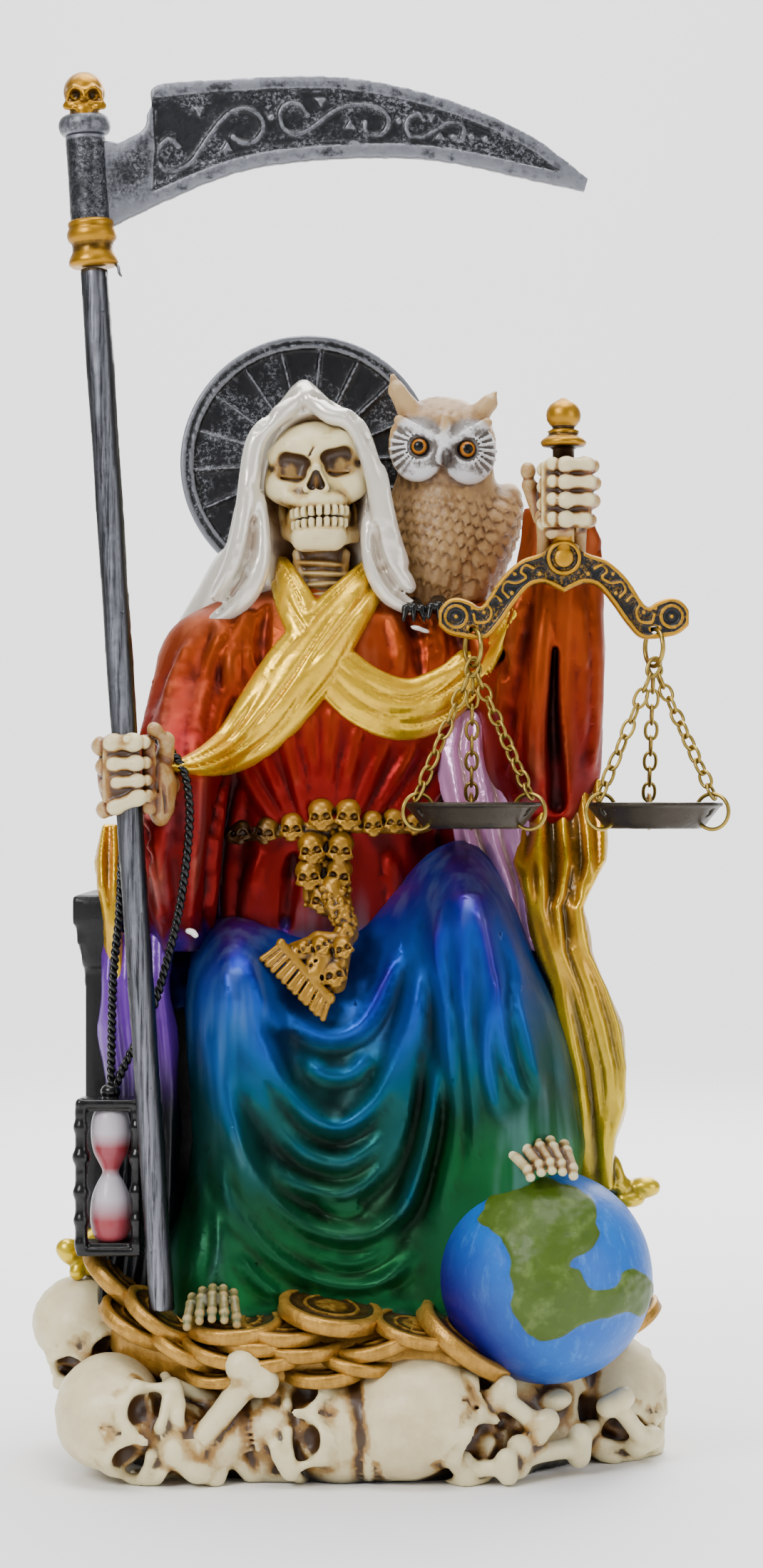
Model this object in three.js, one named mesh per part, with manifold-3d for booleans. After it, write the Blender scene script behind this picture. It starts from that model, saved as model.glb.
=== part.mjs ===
import * as THREE from "three";
import { mergeVertices } from "three/addons/utils/BufferGeometryUtils.js";
import Module from "manifold-3d";

const wasm = await Module();
wasm.setup();

// Driving dimensions, in millimetres. The front of the figure faces -Y and it stands on z = 0.
const height = 301;
const gap = 0.3;
const shaftTopRadius = 3.1;
const shaftFootRadius = 2.8;
const bladeThickness = 3.2;
const beamThickness = 4;
const handleRadius = 2.4;
const panRadius = 14.3;
const panFootRadius = 10.4;
const panDepth = 5.7;
const panWall = 1.2;
const panRingRadius = 3.8;
const panRingWire = 0.45;
const hangerRadius = 4;
const hangerWire = 0.55;
const linkWire = 0.4;
const linkHalfWidth = 1.25;
const linkPitch = 3.3;
const linkSpread = 1.25;

// Pose and carving of the casting are kept as shares of the height they were measured at
const share = height / 301;
const coinRadius = 7 * share;
const coinThickness = 1.9 * share;
const globeRadius = 23.8 * share;
const haloRadius = 29.2 * share;
const haloThickness = 3 * share;
const at = (x, y, z) => new THREE.Vector3(x * share, y * share, z * share);
const flat = ([x, z]) => new THREE.Vector2(x * share, z * share);
const clamp01 = (value) => Math.min(1, Math.max(0, value));
const bump = (value) => Math.exp(-value * value);
const front = new THREE.Vector3(0, -1, 0);
const upward = new THREE.Vector3(0, 0, 1);

// Turns a closed three.js geometry into a solid, facing outwards
function solid(geometry) {
  const bare = geometry.clone();
  bare.deleteAttribute("normal");
  bare.deleteAttribute("uv");
  const merged = mergeVertices(bare, 1e-4);
  const place = merged.attributes.position;
  const index = merged.index.array;
  const faces = [];
  let volume = 0;
  const a = new THREE.Vector3();
  const b = new THREE.Vector3();
  const c = new THREE.Vector3();
  for (let i = 0; i < index.length; i += 3) {
    const [p, q, r] = [index[i], index[i + 1], index[i + 2]];
    if (p === q || q === r || r === p) continue;
    faces.push([p, q, r]);
    a.fromBufferAttribute(place, p);
    b.fromBufferAttribute(place, q);
    c.fromBufferAttribute(place, r);
    volume += a.dot(b.cross(c));
  }
  const ordered = volume > 0 ? faces : faces.map(([p, q, r]) => [p, r, q]);
  return new wasm.Manifold(new wasm.Mesh({
    numProp: 3,
    vertProperties: Float32Array.from(place.array),
    triVerts: Uint32Array.from(ordered.flat()),
  }));
}

// Back from a solid to a geometry for a mesh
function geometryOf(body) {
  const mesh = body.getMesh();
  const geometry = new THREE.BufferGeometry();
  geometry.setAttribute("position", new THREE.Float32BufferAttribute(mesh.vertProperties, 3));
  geometry.setIndex(Array.from(mesh.triVerts));
  geometry.computeVertexNormals();
  return geometry;
}

const joined = (bodies) => bodies.reduce((whole, body) => whole.add(body));

// A closed skin over a stack of rings with the same number of points, with a fan at each end
function skin(rings) {
  const sides = rings[0].length;
  const points = rings.flat();
  const middle = (ring) => ring.reduce((sum, p) => sum.add(p), new THREE.Vector3()).divideScalar(sides);
  const start = points.push(middle(rings[0])) - 1;
  const end = points.push(middle(rings.at(-1))) - 1;
  const top = (rings.length - 1) * sides;
  const faces = [];
  for (let s = 0; s < sides; s += 1) {
    const next = (s + 1) % sides;
    for (let r = 0; r < top; r += sides) {
      faces.push(r + s, r + next, r + sides + next, r + s, r + sides + next, r + sides + s);
    }
    faces.push(start, next, s, end, top + s, top + next);
  }
  const geometry = new THREE.BufferGeometry().setFromPoints(points);
  geometry.setIndex(faces);
  return solid(geometry);
}

// A limb along a smooth path through [x, y, z, half width, half depth], in shares
function limb(stations, sides, steps, facing = front) {
  const path = new THREE.CatmullRomCurve3(stations.map(([x, y, z]) => at(x, y, z)));
  const rings = [];
  for (let i = 0; i <= steps; i += 1) {
    const t = i / steps;
    const where = t * (stations.length - 1);
    const k = Math.min(stations.length - 2, Math.floor(where));
    const mix = where - k;
    const wide = THREE.MathUtils.lerp(stations[k][3], stations[k + 1][3], mix) * share;
    const deep = THREE.MathUtils.lerp(stations[k][4], stations[k + 1][4], mix) * share;
    const centre = path.getPoint(t);
    const across = path.getTangent(t).cross(facing).normalize();
    const out = new THREE.Vector3().crossVectors(across, path.getTangent(t)).normalize();
    rings.push(Array.from({ length: sides }, (_, s) => {
      const angle = (s / sides) * 2 * Math.PI;
      return centre.clone().addScaledVector(across, wide * Math.cos(angle))
        .addScaledVector(out, deep * Math.sin(angle));
    }));
  }
  return skin(rings);
}

// An egg at a place, with three half sizes and turns about x, y and z in degrees
function egg(place, size, columns = 10, rows = 7, turn = [0, 0, 0]) {
  const geometry = new THREE.SphereGeometry(1, columns, rows);
  geometry.rotateX(Math.PI / 2);
  geometry.scale(size[0] * share, size[1] * share, size[2] * share);
  const [x, y, z] = turn.map(THREE.MathUtils.degToRad);
  geometry.applyMatrix4(new THREE.Matrix4().makeRotationFromEuler(new THREE.Euler(x, y, z, "ZYX")));
  const [px, py, pz] = at(...place);
  return solid(geometry.translate(px, py, pz));
}

// A turned form on the z axis, from [radius, z] pairs in millimetres that start and end on the axis
function turned(profile, sides) {
  const geometry = new THREE.LatheGeometry(profile.map(([r, z]) => new THREE.Vector2(r, z)), sides);
  return solid(geometry.rotateX(Math.PI / 2));
}

// A round wire bent to a ring in the xz plane, centred on the origin
function wireRing(radius, wire, around, sides) {
  const geometry = new THREE.TorusGeometry(radius, wire, sides, around);
  return solid(geometry.rotateX(Math.PI / 2));
}

// A flat outline in x and z, given thickness along y and centred on y = 0
function plate(outline, thickness) {
  const shape = new THREE.Shape(outline);
  const geometry = new THREE.ExtrudeGeometry(shape, { depth: thickness, bevelEnabled: false });
  geometry.translate(0, 0, -thickness / 2);
  return solid(geometry.rotateX(Math.PI / 2));
}

// A value read along rows of [z, value, value ...], smoothly between them
function readRows(rows, z) {
  const last = rows.length - 1;
  const k = Math.min(last - 1, Math.max(0, rows.findIndex((row, i) => i < last && z <= rows[i + 1][0])));
  const mix = clamp01((z - rows[k][0]) / (rows[k + 1][0] - rows[k][0]));
  return rows[k].map((value, i) => THREE.MathUtils.lerp(value, rows[k + 1][i], mix));
}

// Base: an oval mound with skulls, bones and coins round it
const baseHalfWidth = 62;
const baseHalfDepth = 45;
// Places on the base are given as shares of its two half sizes, with z at the measured height
const onBase = ([across, along, z]) => [across * baseHalfWidth, along * baseHalfDepth, z];
// The same place in those shares for what leans on the throne, the hem or the globe, in millimetres
const byFigure = ([x, y, z]) => [x / baseHalfWidth, y / baseHalfDepth, z];
function mound() {
  const profile = [[0, 0], [0.98, 0], [1, 3.7], [0.97, 18.6], [0.88, 27.3], [0.7, 31], [0, 32.2]];
  const points = profile.map(([radius, z]) => new THREE.Vector2(radius, z * share));
  const geometry = new THREE.LatheGeometry(points, 12);
  geometry.rotateX(Math.PI / 2);
  geometry.scale(baseHalfWidth * share, baseHalfDepth * share, 1);
  return solid(geometry);
}

// One skull for the base: cranium, face and two sockets. It looks along -Y before it is turned.
function baseSkull(where, radius, yaw, pitch, roll, carved) {
  const place = onBase(where);
  const turns = [pitch, roll, yaw];
  const turn = new THREE.Euler(...turns.map(THREE.MathUtils.degToRad), "ZYX");
  const local = (x, y, z) => {
    const offset = new THREE.Vector3(x, y, z).multiplyScalar(radius).applyEuler(turn);
    return [place[0] + offset.x, place[1] + offset.y, place[2] + offset.z];
  };
  const sized = (x, y, z) => [x * radius, y * radius, z * radius];
  if (!carved) return egg(place, sized(0.88, 1.05, 0.92), 7, 5, turns);
  let skull = egg(place, sized(0.88, 1.05, 0.92), 9, 6, turns);
  skull = skull.add(egg(local(0, -0.62, -0.62), sized(0.5, 0.44, 0.6), 6, 4, turns));
  for (const side of [-1, 1]) {
    skull = skull.subtract(egg(local(side * 0.38, -1.0, -0.2), sized(0.26, 0.34, 0.25), 4, 3, turns));
  }
  return skull;
}
// Rows of place, radius, then yaw, pitch and roll in degrees, and whether the face is carved
const baseSkulls = [
  [[-0.823, -0.556, 14.5], 13.8, 62, 18, -38, true],
  [[-0.952, 0.178, 21], 13.5, -50, 4, 12, true],
  [[-0.089, -0.822, 10.8], 11, -68, 6, 14, true],
  [[0.218, -0.800, 13.2], 13.6, 58, 10, -8, true],
  [[0.927, -0.133, 12.8], 13.2, 40, 12, 8, true],
  [[0.806, 0.467, 13], 12.6, 120, 0, 0, false],
  [[0.387, 0.733, 13], 12.6, 165, 0, 0, false],
  [[-0.113, 0.800, 13], 12.6, 185, 0, 0, false],
  [[-0.613, 0.600, 13], 12.6, 215, 0, 0, false],
];

// Long bones lying between the skulls, from knuckle to knuckle. Radii are shares of the half depth.
function bone(from, to, radius) {
  const start = onBase(from);
  const end = onBase(to);
  const thick = radius * baseHalfDepth;
  const knuckle = thick * 1.5;
  const along = (mix) => start.map((value, i) => THREE.MathUtils.lerp(value, end[i], mix));
  const waist = thick / knuckle;
  const profile = [[-0.12, 0.7], [-0.04, 1], [0.16, waist], [0.84, waist], [1.04, 1], [1.12, 0.7]];
  const stations = profile.map(([mix, size]) => [...along(mix), knuckle * size, knuckle * size]);
  return limb(stations, 5, 5, upward);
}
const bones = [
  [[-0.565, -0.956, 4.2], [-0.323, -0.967, 22.5], 0.06],
  [[0.516, -0.822, 18], [0.645, -0.844, 12], 0.05778],
  [[0.581, -0.867, 5.4], [0.790, -0.667, 6], 0.05778],
];

// Coins of one size, tipped by degrees about x and y, with a pile of smaller ones under them
function coin(where, tipX, tipY) {
  const geometry = new THREE.CylinderGeometry(coinRadius, coinRadius, coinThickness, 8);
  geometry.rotateX(Math.PI / 2 + THREE.MathUtils.degToRad(tipX));
  geometry.rotateY(THREE.MathUtils.degToRad(tipY));
  const [x, y, z] = at(...onBase(where));
  return solid(geometry.translate(x, y, z));
}
const coins = [
  [byFigure([-47.988, -19.98, 38.6]), 18, -22], [byFigure([-45.012, -27, 31]), 14, 16],
  [byFigure([-33.976, -34.02, 29]), 20, 10],
  [[-0.371, -0.800, 30.5], 12, -6], [[-0.129, -0.800, 34], 14, -6], [[0.048, -0.800, 30.5], 12, 12],
  [[-0.161, -0.844, 26.5], 16, 4], [[0.065, -0.867, 25], 18, 8], [[-0.435, -0.856, 23], 26, -10],
  [[0.339, -0.833, 28], 20, 34], [byFigure([59.024, -17.01, 29]), 16, -26],
  [[0.839, 0.200, 31], -14, -10],
];
const coinPile = () => egg(onBase([-0.065, -0.689, 24]), [30, 9, 12], 7, 4);

// Skirt of the robe: the front is a depth worked out from x and z, in millimetres of the measured height
const hemZ = 33;
const kneeLeft = { x: -25, z: 119 };
const kneeRight = { x: 25, z: 136.5 };
// Rows of [z, left edge, right edge]
const skirtEdges = [
  [hemZ, -49, 44], [44, -46, 47], [56, -38, 50], [70, -35.5, 52], [80, -36, 50.5], [90, -37, 49],
  [100, -37.5, 47], [111, -36.5, 41], [118, -33, 38], [125, -28, 35.5], [132, -24, 31.5], [136, -20, 28],
];
function skirtFront(x, z) {
  const low = clamp01((kneeLeft.z - z) / (kneeLeft.z - hemZ));
  const riseLeft = Math.sqrt(clamp01((kneeLeft.z - z) / 12));
  const riseRight = Math.sqrt(clamp01((kneeRight.z - z) / 14));
  const riseLap = Math.sqrt(clamp01((114 - z) / 14));
  const left = (17 - 9 * low) * riseLeft * bump((x - kneeLeft.x + 5 * low) / (10 + 3 * low));
  const right = (19 - 9 * low) * riseRight * bump((x - kneeRight.x - 12 * low) / (11.5 + 4 * low));
  const lap = 8 * riseLap + 8 * low;
  return -12 - lap - Math.max(left, right) - skirtFolds(x, z, low);
}
// Curved folds that hang between the knees, and long folds that fall from each knee
function skirtFolds(x, z, low) {
  const swagMiddle = -3 + 4 * low;
  const sag = z - 0.034 * (x - swagMiddle) * (x - swagMiddle);
  const swagMask = bump((x - swagMiddle) / 20) * clamp01((112 - z) / 10) * clamp01((z - 34) / 12);
  const swags = 2.1 * Math.cos((sag / 14) * 2 * Math.PI) * swagMask;
  const fan = Math.atan2(x - kneeRight.x, kneeRight.z + 14 - z);
  const fanMask = bump((x - kneeRight.x - 12 * low) / 17) * clamp01((126 - z) / 22);
  const long = 2.1 * Math.cos(fan * 26) * fanMask;
  const leftMask = bump((x - kneeLeft.x + 9 * low) / 12) * clamp01((104 - z) / 22);
  const short = 1.8 * Math.cos((x + 6 * low) * 0.95) * leftMask;
  return swags + long + short;
}
function skirt() {
  const columns = 17;
  const levels = [hemZ, 42, 49, 56, 63, 70, 77, 84, 91, 98, 105, 112, 119, 128, 136.3];
  const back = 20;
  const side = 2;
  const rings = levels.map((z) => {
    const [, left, right] = readRows(skirtEdges, z);
    const ring = [];
    for (let i = 0; i <= columns; i += 1) {
      const angle = (i / columns - 0.5) * Math.PI;
      const x = (left + right) / 2 + ((right - left) / 2) * Math.sin(angle);
      const depth = side + (skirtFront(x, z) - side) * Math.pow(Math.max(0, Math.cos(angle)), 0.35);
      ring.push(at(x, depth, z));
    }
    ring.push(at(right * 0.8, back, z), at(left * 0.8, back, z));
    return ring;
  });
  return skin(rings);
}

// Draped forms as stacks of ovals: rows of [z, middle x, middle y, half width, half depth]
function draped(rows, levels, sides, folds, depth) {
  const low = rows[0][0];
  const high = rows.at(-1)[0];
  return skin(Array.from({ length: levels + 1 }, (_, i) => {
    const z = THREE.MathUtils.lerp(low, high, i / levels);
    const [, x, y, wide, deep] = readRows(rows, z);
    return Array.from({ length: sides }, (_, s) => {
      const angle = (s / sides) * 2 * Math.PI;
      const swell = 1 + depth * Math.cos(folds * angle + z * 0.05);
      return at(x + wide * swell * Math.cos(angle), y + deep * swell * Math.sin(angle), z);
    });
  }));
}
const torsoRows = [
  [104, -6, 4, 34, 17], [122, -7, 2, 30, 16], [136, -7, 1, 27, 14.5], [150, -7, 0, 29, 16],
  [165, -7, 0, 34, 17.5], [177, -7, 0, 35, 17], [186, -7, 1, 29, 15], [192, -7, 2, 15, 12],
  [197, -7, 3, 8, 9],
];
const sleeveLeftRows = [
  [112, -38, -8, 6, 10], [120, -38.5, -10, 8, 15], [135, -38.5, -13, 9.5, 19], [150, -38, -13, 10, 19],
  [160, -36.5, -8, 10.5, 15], [172, -33.5, -2, 11, 12], [182, -29, 1, 10, 11], [189, -24, 3, 6, 7],
];
const sleeveRightRows = [
  [137, 46, -4, 5, 5], [142, 43, -5, 10.5, 10], [152, 42, -6, 13, 13], [167, 42.5, -9, 13, 14],
  [180, 44, -11, 12, 13], [192, 45.5, -14, 10, 11], [202, 46, -18, 8.5, 9.5], [209, 44.5, -20, 6.5, 7],
];

// Cape between the robe and the back of the throne
const capeRows = [
  [98, -4, 12, 44, 16], [125, -5, 11, 43, 16], [150, -5, 11, 41, 16], [170, -5, 10, 37, 15],
  [184, -7, 8, 29, 12], [194, -8, 6, 20, 9],
];

// Hood: a tall draped form with an oval face opening, spread over the shoulders
const hoodRows = [
  [176, -38, 6, 5, 8], [181, -26, 6, 15.5, 9], [186, -18, 5, 21.5, 10.5], [192, -7, 4, 25.8, 12],
  [197, -9, 3, 22, 13], [203, -9.6, 2, 19.6, 14.5], [210, -9.4, 1, 17.6, 15.5], [219, -9.4, 1, 15.8, 15.5],
  [226, -9.4, 1, 14, 14.5], [232.5, -9.6, 1, 9.6, 12], [237, -10, 0, 5, 8], [239.3, -10.2, -1, 1.8, 3],
];
function hood() {
  const cloth = draped(hoodRows, 11, 13, 5, 0.025);
  const opening = egg([-8.4, -13, 213], [11.8, 14, 20], 10, 6);
  return cloth.subtract(opening);
}

// Head: cranium, brow, cheeks, upper teeth and jaw, with carved sockets and nose
function head() {
  const turn = [0, -6, 0];
  let skull = joined([
    egg([-8.2, -3, 219.5], [11.6, 12.4, 11.6], 9, 6, turn),
    egg([-8, -9.5, 209.5], [8.6, 6, 8], 7, 5, turn),
    egg([-16.2, -9.5, 212.6], [3.4, 4.4, 2.6], 5, 3, turn),
    egg([0.3, -9.5, 213.6], [3.4, 4.4, 2.6], 5, 3, turn),
    egg([-6.9, -9.8, 203.4], [6.8, 5.4, 3.8], 7, 4, turn),
  ]);
  for (const [x, z] of [[-13.4, 218.2], [-2.8, 219.4]]) {
    skull = skull.subtract(egg([x, -14.6, z], [3.7, 4, 3.3], 6, 4, turn));
  }
  skull = skull.subtract(egg([-7.8, -16, 213.6], [1.8, 3, 2.4], 4, 3, turn));
  return skull.subtract(egg([-7.2, -16.4, 207.6], [5.4, 2, 0.5], 6, 2, turn));
}

// Owl on the shoulder
function owl() {
  return joined([
    egg([20, 2, 208], [12.2, 11, 18.5], 9, 6, [0, 14, 0]),
    egg([20, -1.5, 225.2], [12, 10.5, 10.4], 9, 6),
    egg([29.5, 5, 201], [6.5, 8, 16], 6, 4, [0, 22, 0]),
    limb([[12.6, -3, 230.5, 3, 2.4], [10, -4, 235, 1.9, 1.6], [8.8, -4.4, 239, 0.5, 0.5]], 4, 2),
    limb([[26.4, -3, 229.5, 3, 2.4], [29.2, -4, 233, 1.9, 1.6], [31.5, -4.4, 235.4, 0.5, 0.5]], 4, 2),
    limb([[21, -9, 223.4, 1.8, 1.6], [21, -13, 222, 1.2, 1], [21, -12.6, 219.6, 0.5, 0.5]], 4, 2),
    egg([17.6, -9, 187.5], [5, 4, 3], 6, 3),
  ]);
}

// Sash across the chest and the swag behind it
function sash() {
  return joined([
    limb([[4, -10, 196, 5, 2.2], [-4.5, -15.5, 184, 6, 2.4], [-12, -18.5, 173, 6.5, 2.4],
      [-22, -22.5, 160, 6, 2.2], [-30.5, -27, 154.6, 3.2, 2], [-37, -29, 152.6, 1.2, 1.2]], 5, 6),
    limb([[-5, -16, 174.5, 5.5, 2], [3.5, -17.4, 168, 6.2, 2], [13, -17.6, 164.8, 6, 2],
      [22, -15, 169.6, 6.4, 2], [30.5, -11, 180, 3, 2]], 5, 5),
    limb([[-15, -8, 198, 3.4, 2], [-13.6, -12.5, 190, 4, 2.2], [-11, -15.5, 180, 3, 2]], 5, 3),
    limb([[-6.6, -4, 205, 7, 6.5], [-6.6, -4, 196, 6.6, 6.5], [-6.6, -5, 188, 6, 6.5]], 7, 2),
  ]);
}

// Front depth of a draped form at a place
function ovalFront(rows, x, z) {
  const [, middleX, middleY, wide, deep] = readRows(rows, z);
  const across = (x - middleX) / wide;
  return middleY - deep * Math.sqrt(Math.max(0, 1 - across * across));
}

// Belt of small skulls with a hanging double column and a fan of beads at its end
const beltBall = 2.8;
function belt() {
  const across = Array.from({ length: 7 }, (_, i) => {
    const x = -25.5 + i * 6.3;
    const z = 137.6 + 1.8 * Math.sin(i * 0.7);
    return [x, ovalFront(torsoRows, x, z) - 0.6, z];
  });
  const hanging = [[-8.6, -15.6, 133.6], [-3, -15.6, 133.8], [-8.8, -15.8, 128.4], [-3.2, -15.8, 128.6],
    [-6, -15.4, 123.4], [-3.4, -15.6, 118.2], [-3.8, -19.4, 112.2]];
  const size = [beltBall * 0.95, beltBall * 0.93, beltBall * 1.07];
  const balls = [...across, ...hanging].map((place) => egg(place, size, 5, 3));
  const fan = limb([[-4, -20.5, 111, 4, 3], [-8.5, -22.4, 107, 8, 3], [-12, -25, 101.5, 5.4, 3]], 5, 2);
  return joined([...balls, fan]);
}

// A hand closed round an upright bar: four fingers in front, the palm behind, and the thumb
function hand(middle, bar, spread, turn) {
  const [x, y, z] = middle;
  const pitch = spread / 4;
  const parts = [egg([x, y + bar + 1.6, z], [6.4, 4.2, spread * 0.5], 6, 4)];
  for (let i = 0; i < 4; i += 1) {
    const level = z + (1.5 - i) * pitch;
    const thick = pitch * 0.52;
    parts.push(limb([
      [x - 5.8 * turn, y + 2, level, thick, thick], [x - 5 * turn, y - bar - 1.4, level, thick, thick],
      [x + 4.6 * turn, y - bar - 1.4, level, thick, thick], [x + 5.8 * turn, y + 2, level, thick, thick],
    ], 4, 3, upward));
  }
  parts.push(limb([[x - 5 * turn, y + 4, z + 2, 2.2, 2.2], [x - 7 * turn, y, z + spread * 0.4, 2, 2],
    [x - 3.4 * turn, y - bar - 1, z + spread * 0.5, 1.8, 1.8]], 4, 2, upward));
  return joined(parts);
}
const shaftTop = at(-54.9, -37, 258.6);
const shaftFoot = at(-40.4, -37, 36.4);
const shaftHandZ = 150.4;
const upShaft = (shaftHandZ * share - shaftFoot.z) / (shaftTop.z - shaftFoot.z);
const shaftHandX = THREE.MathUtils.lerp(shaftFoot.x, shaftTop.x, upShaft) / share;
const scaleMiddle = [45.6, -30, 197.3];
function hands() {
  return joined([
    hand([shaftHandX, -37, shaftHandZ], 3.4, 18.4, 1),
    limb([[shaftHandX + 2.8, -30, shaftHandZ - 2.4, 4, 4],
      [shaftHandX + 6.3, -24, shaftHandZ - 2.9, 4.4, 4.4], [-39, -16, 148, 5, 5]], 5, 2, upward),
    hand([45.8, -30, 212.4], 2.9, 17, -1),
    limb([[45.6, -26, 207, 4.4, 4], [45.4, -23.5, 200, 5, 4.4], [45, -20, 190, 6, 5]], 5, 2),
  ]);
}

// Toes in a row, from the inner toe to the outer
function toes(place, width, lift) {
  const count = 5;
  const [middle, y, z] = place;
  return joined(Array.from({ length: count }, (_, i) => {
    const x = middle + (i / (count - 1) - 0.5) * width;
    const thick = 1.7 - 0.12 * i;
    const tip = thick * 0.7;
    return limb([[x, y + 8, z + 3, thick, thick], [x, y + 1, z + 0.6 - lift, thick, thick],
      [x, y - 2, z - 2.6, tip, tip]], 4, 2, upward);
  }));
}

// Halo: a disc with a raised rim behind the head
function halo() {
  const half = haloThickness / 2;
  const rim = 3.2 * share;
  const profile = [[0, -half], [haloRadius, -half], [haloRadius, half], [haloRadius - rim, half],
    [haloRadius - rim, half * 0.4], [0, half * 0.4]];
  const [x, y, z] = at(-10.4, 15, 222.3);
  return turned(profile, 22).rotate([90, 0, 0]).translate([x, y, z]);
}

// Throne: seat, low back and two arms with capitals
function block(low, high) {
  const from = at(...low);
  const size = at(...high).sub(from);
  const geometry = new THREE.BoxGeometry(size.x, size.y, size.z);
  return solid(geometry.translate(from.x + size.x / 2, from.y + size.y / 2, from.z + size.z / 2));
}
function throne() {
  const backOutline = [[-58, 99], [55, 99], [55, 128], [42, 133], [36, 150], [30, 172], [14, 184],
    [-3, 188], [-20, 184], [-36, 172], [-42, 150], [-47, 133], [-58, 128]].map(flat);
  const parts = [
    block([-50, 2, 26], [48, 37, 100]),
    plate(backOutline, 18 * share).translate([...at(0, 28, 0)]),
  ];
  for (const x of [-56.5, 53]) {
    const inward = x < 0 ? 1 : -1;
    const sides = [x - inward * 2.6, x + inward * 12].sort((a, b) => a - b);
    parts.push(block([sides[0], -13, 24], [sides[1], 26, 113.5]));
    parts.push(block([x - 5.2, -16, 113], [x + 5.2, 30, 124.5]));
  }
  return joined(parts);
}

// Loose cloths cast with the throne: gold at both sides, purple and pearl linings
function cloths() {
  return joined([
    limb([[50, -2, 142, 7, 3], [54, -4, 130, 5.4, 3], [49, -4, 118, 5, 3], [53, -4, 104, 5, 3],
      [56.5, -4, 90, 5.6, 3.2], [57, -4, 76, 5, 3.2], [55.5, -5, 64, 5, 3], [62, -6, 57.5, 4.6, 2.6],
      [67, -6, 58, 2.6, 2]], 5, 10),
    limb([[26, -2, 156, 7, 5], [29, -3, 142, 9, 5], [33, -6, 126, 7, 5], [36, -8, 112, 5, 5]], 5, 3),
    limb([[-53, -15, 133, 3, 2.4], [-53.5, -17, 122, 4.4, 2.6], [-52, -16, 106, 3, 3]], 4, 3),
    limb([[-56, -12, 50, 3.4, 3], [-60, -16, 45, 5, 2.4]], 4, 1),
    limb([
      [-50, -13, 110, 4, 4], [-50.5, -14, 97, 4.8, 5], [-48, -14, 84, 5, 5], [-45, -12, 62, 5, 6],
    ], 5, 2),
  ]);
}

// Cast cord from the fist to the hourglass, and the hourglass itself
function cordAndHourglass() {
  const thick = 1;
  const strand = (places) => limb(places.map((p) => [...p, thick, thick]), 4, 8);
  const [x, y, z] = [-52, -29, 65];
  const parts = [
    strand([[shaftHandX + 5.8, -34, shaftHandZ + 6.6], [-37.6, -33, shaftHandZ + 2.6],
      [-35.2, -33, shaftHandZ - 3.4], [-34.8, -33, 139], [-36.4, -32, 125],
      [-39, -31, 113], [-43, -30, 100], [-49, -29, 88], [x, y, z + 15]]),
    strand([[shaftHandX - 0.8, -32, shaftHandZ - 7.4], [-49.4, -32, 130], [-50, -31, 120],
      [-51.4, -30, 106], [x, y, z + 15]]),
  ];
  for (const level of [-17.6, 15.2]) {
    parts.push(block([x - 7.2, y - 5, z + level], [x + 7.2, y + 5, z + level + 3]));
  }
  for (const [across, along] of [[-6, -3.6], [6, -3.6], [0, 4]]) {
    const ends = [-16, 17].map((level) => [x + across, y + along, z + level, 1.3, 1.3]);
    parts.push(limb(ends, 4, 1));
  }
  parts.push(egg([x, y, z + 8], [4.4, 4.2, 8.4], 6, 4), egg([x, y, z - 8], [4.6, 4.2, 8.4], 6, 4));
  parts.push(block([x - 3, y, z - 16], [x + 12, y + 22, z - 4]));
  return joined(parts);
}

function globe() {
  const ball = new THREE.SphereGeometry(globeRadius, 13, 9);
  const centre = at(41.9, -27, 18.5);
  return solid(ball.rotateX(Math.PI / 2).translate(centre.x, centre.y, centre.z + globeRadius));
}

// Scythe: the rod, and the room that its bore in the fist and the robe leaves
function rod(extra) {
  const along = new THREE.Vector3().subVectors(shaftTop, shaftFoot);
  const length = along.length() + extra * 2;
  const geometry = new THREE.CylinderGeometry(shaftTopRadius + extra, shaftFootRadius + extra, length, 8);
  geometry.translate(0, length / 2 - extra, 0);
  const standing = new THREE.Vector3(0, 1, 0);
  geometry.applyQuaternion(new THREE.Quaternion().setFromUnitVectors(standing, along.clone().normalize()));
  return solid(geometry.translate(shaftFoot.x, shaftFoot.y, shaftFoot.z));
}

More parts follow.
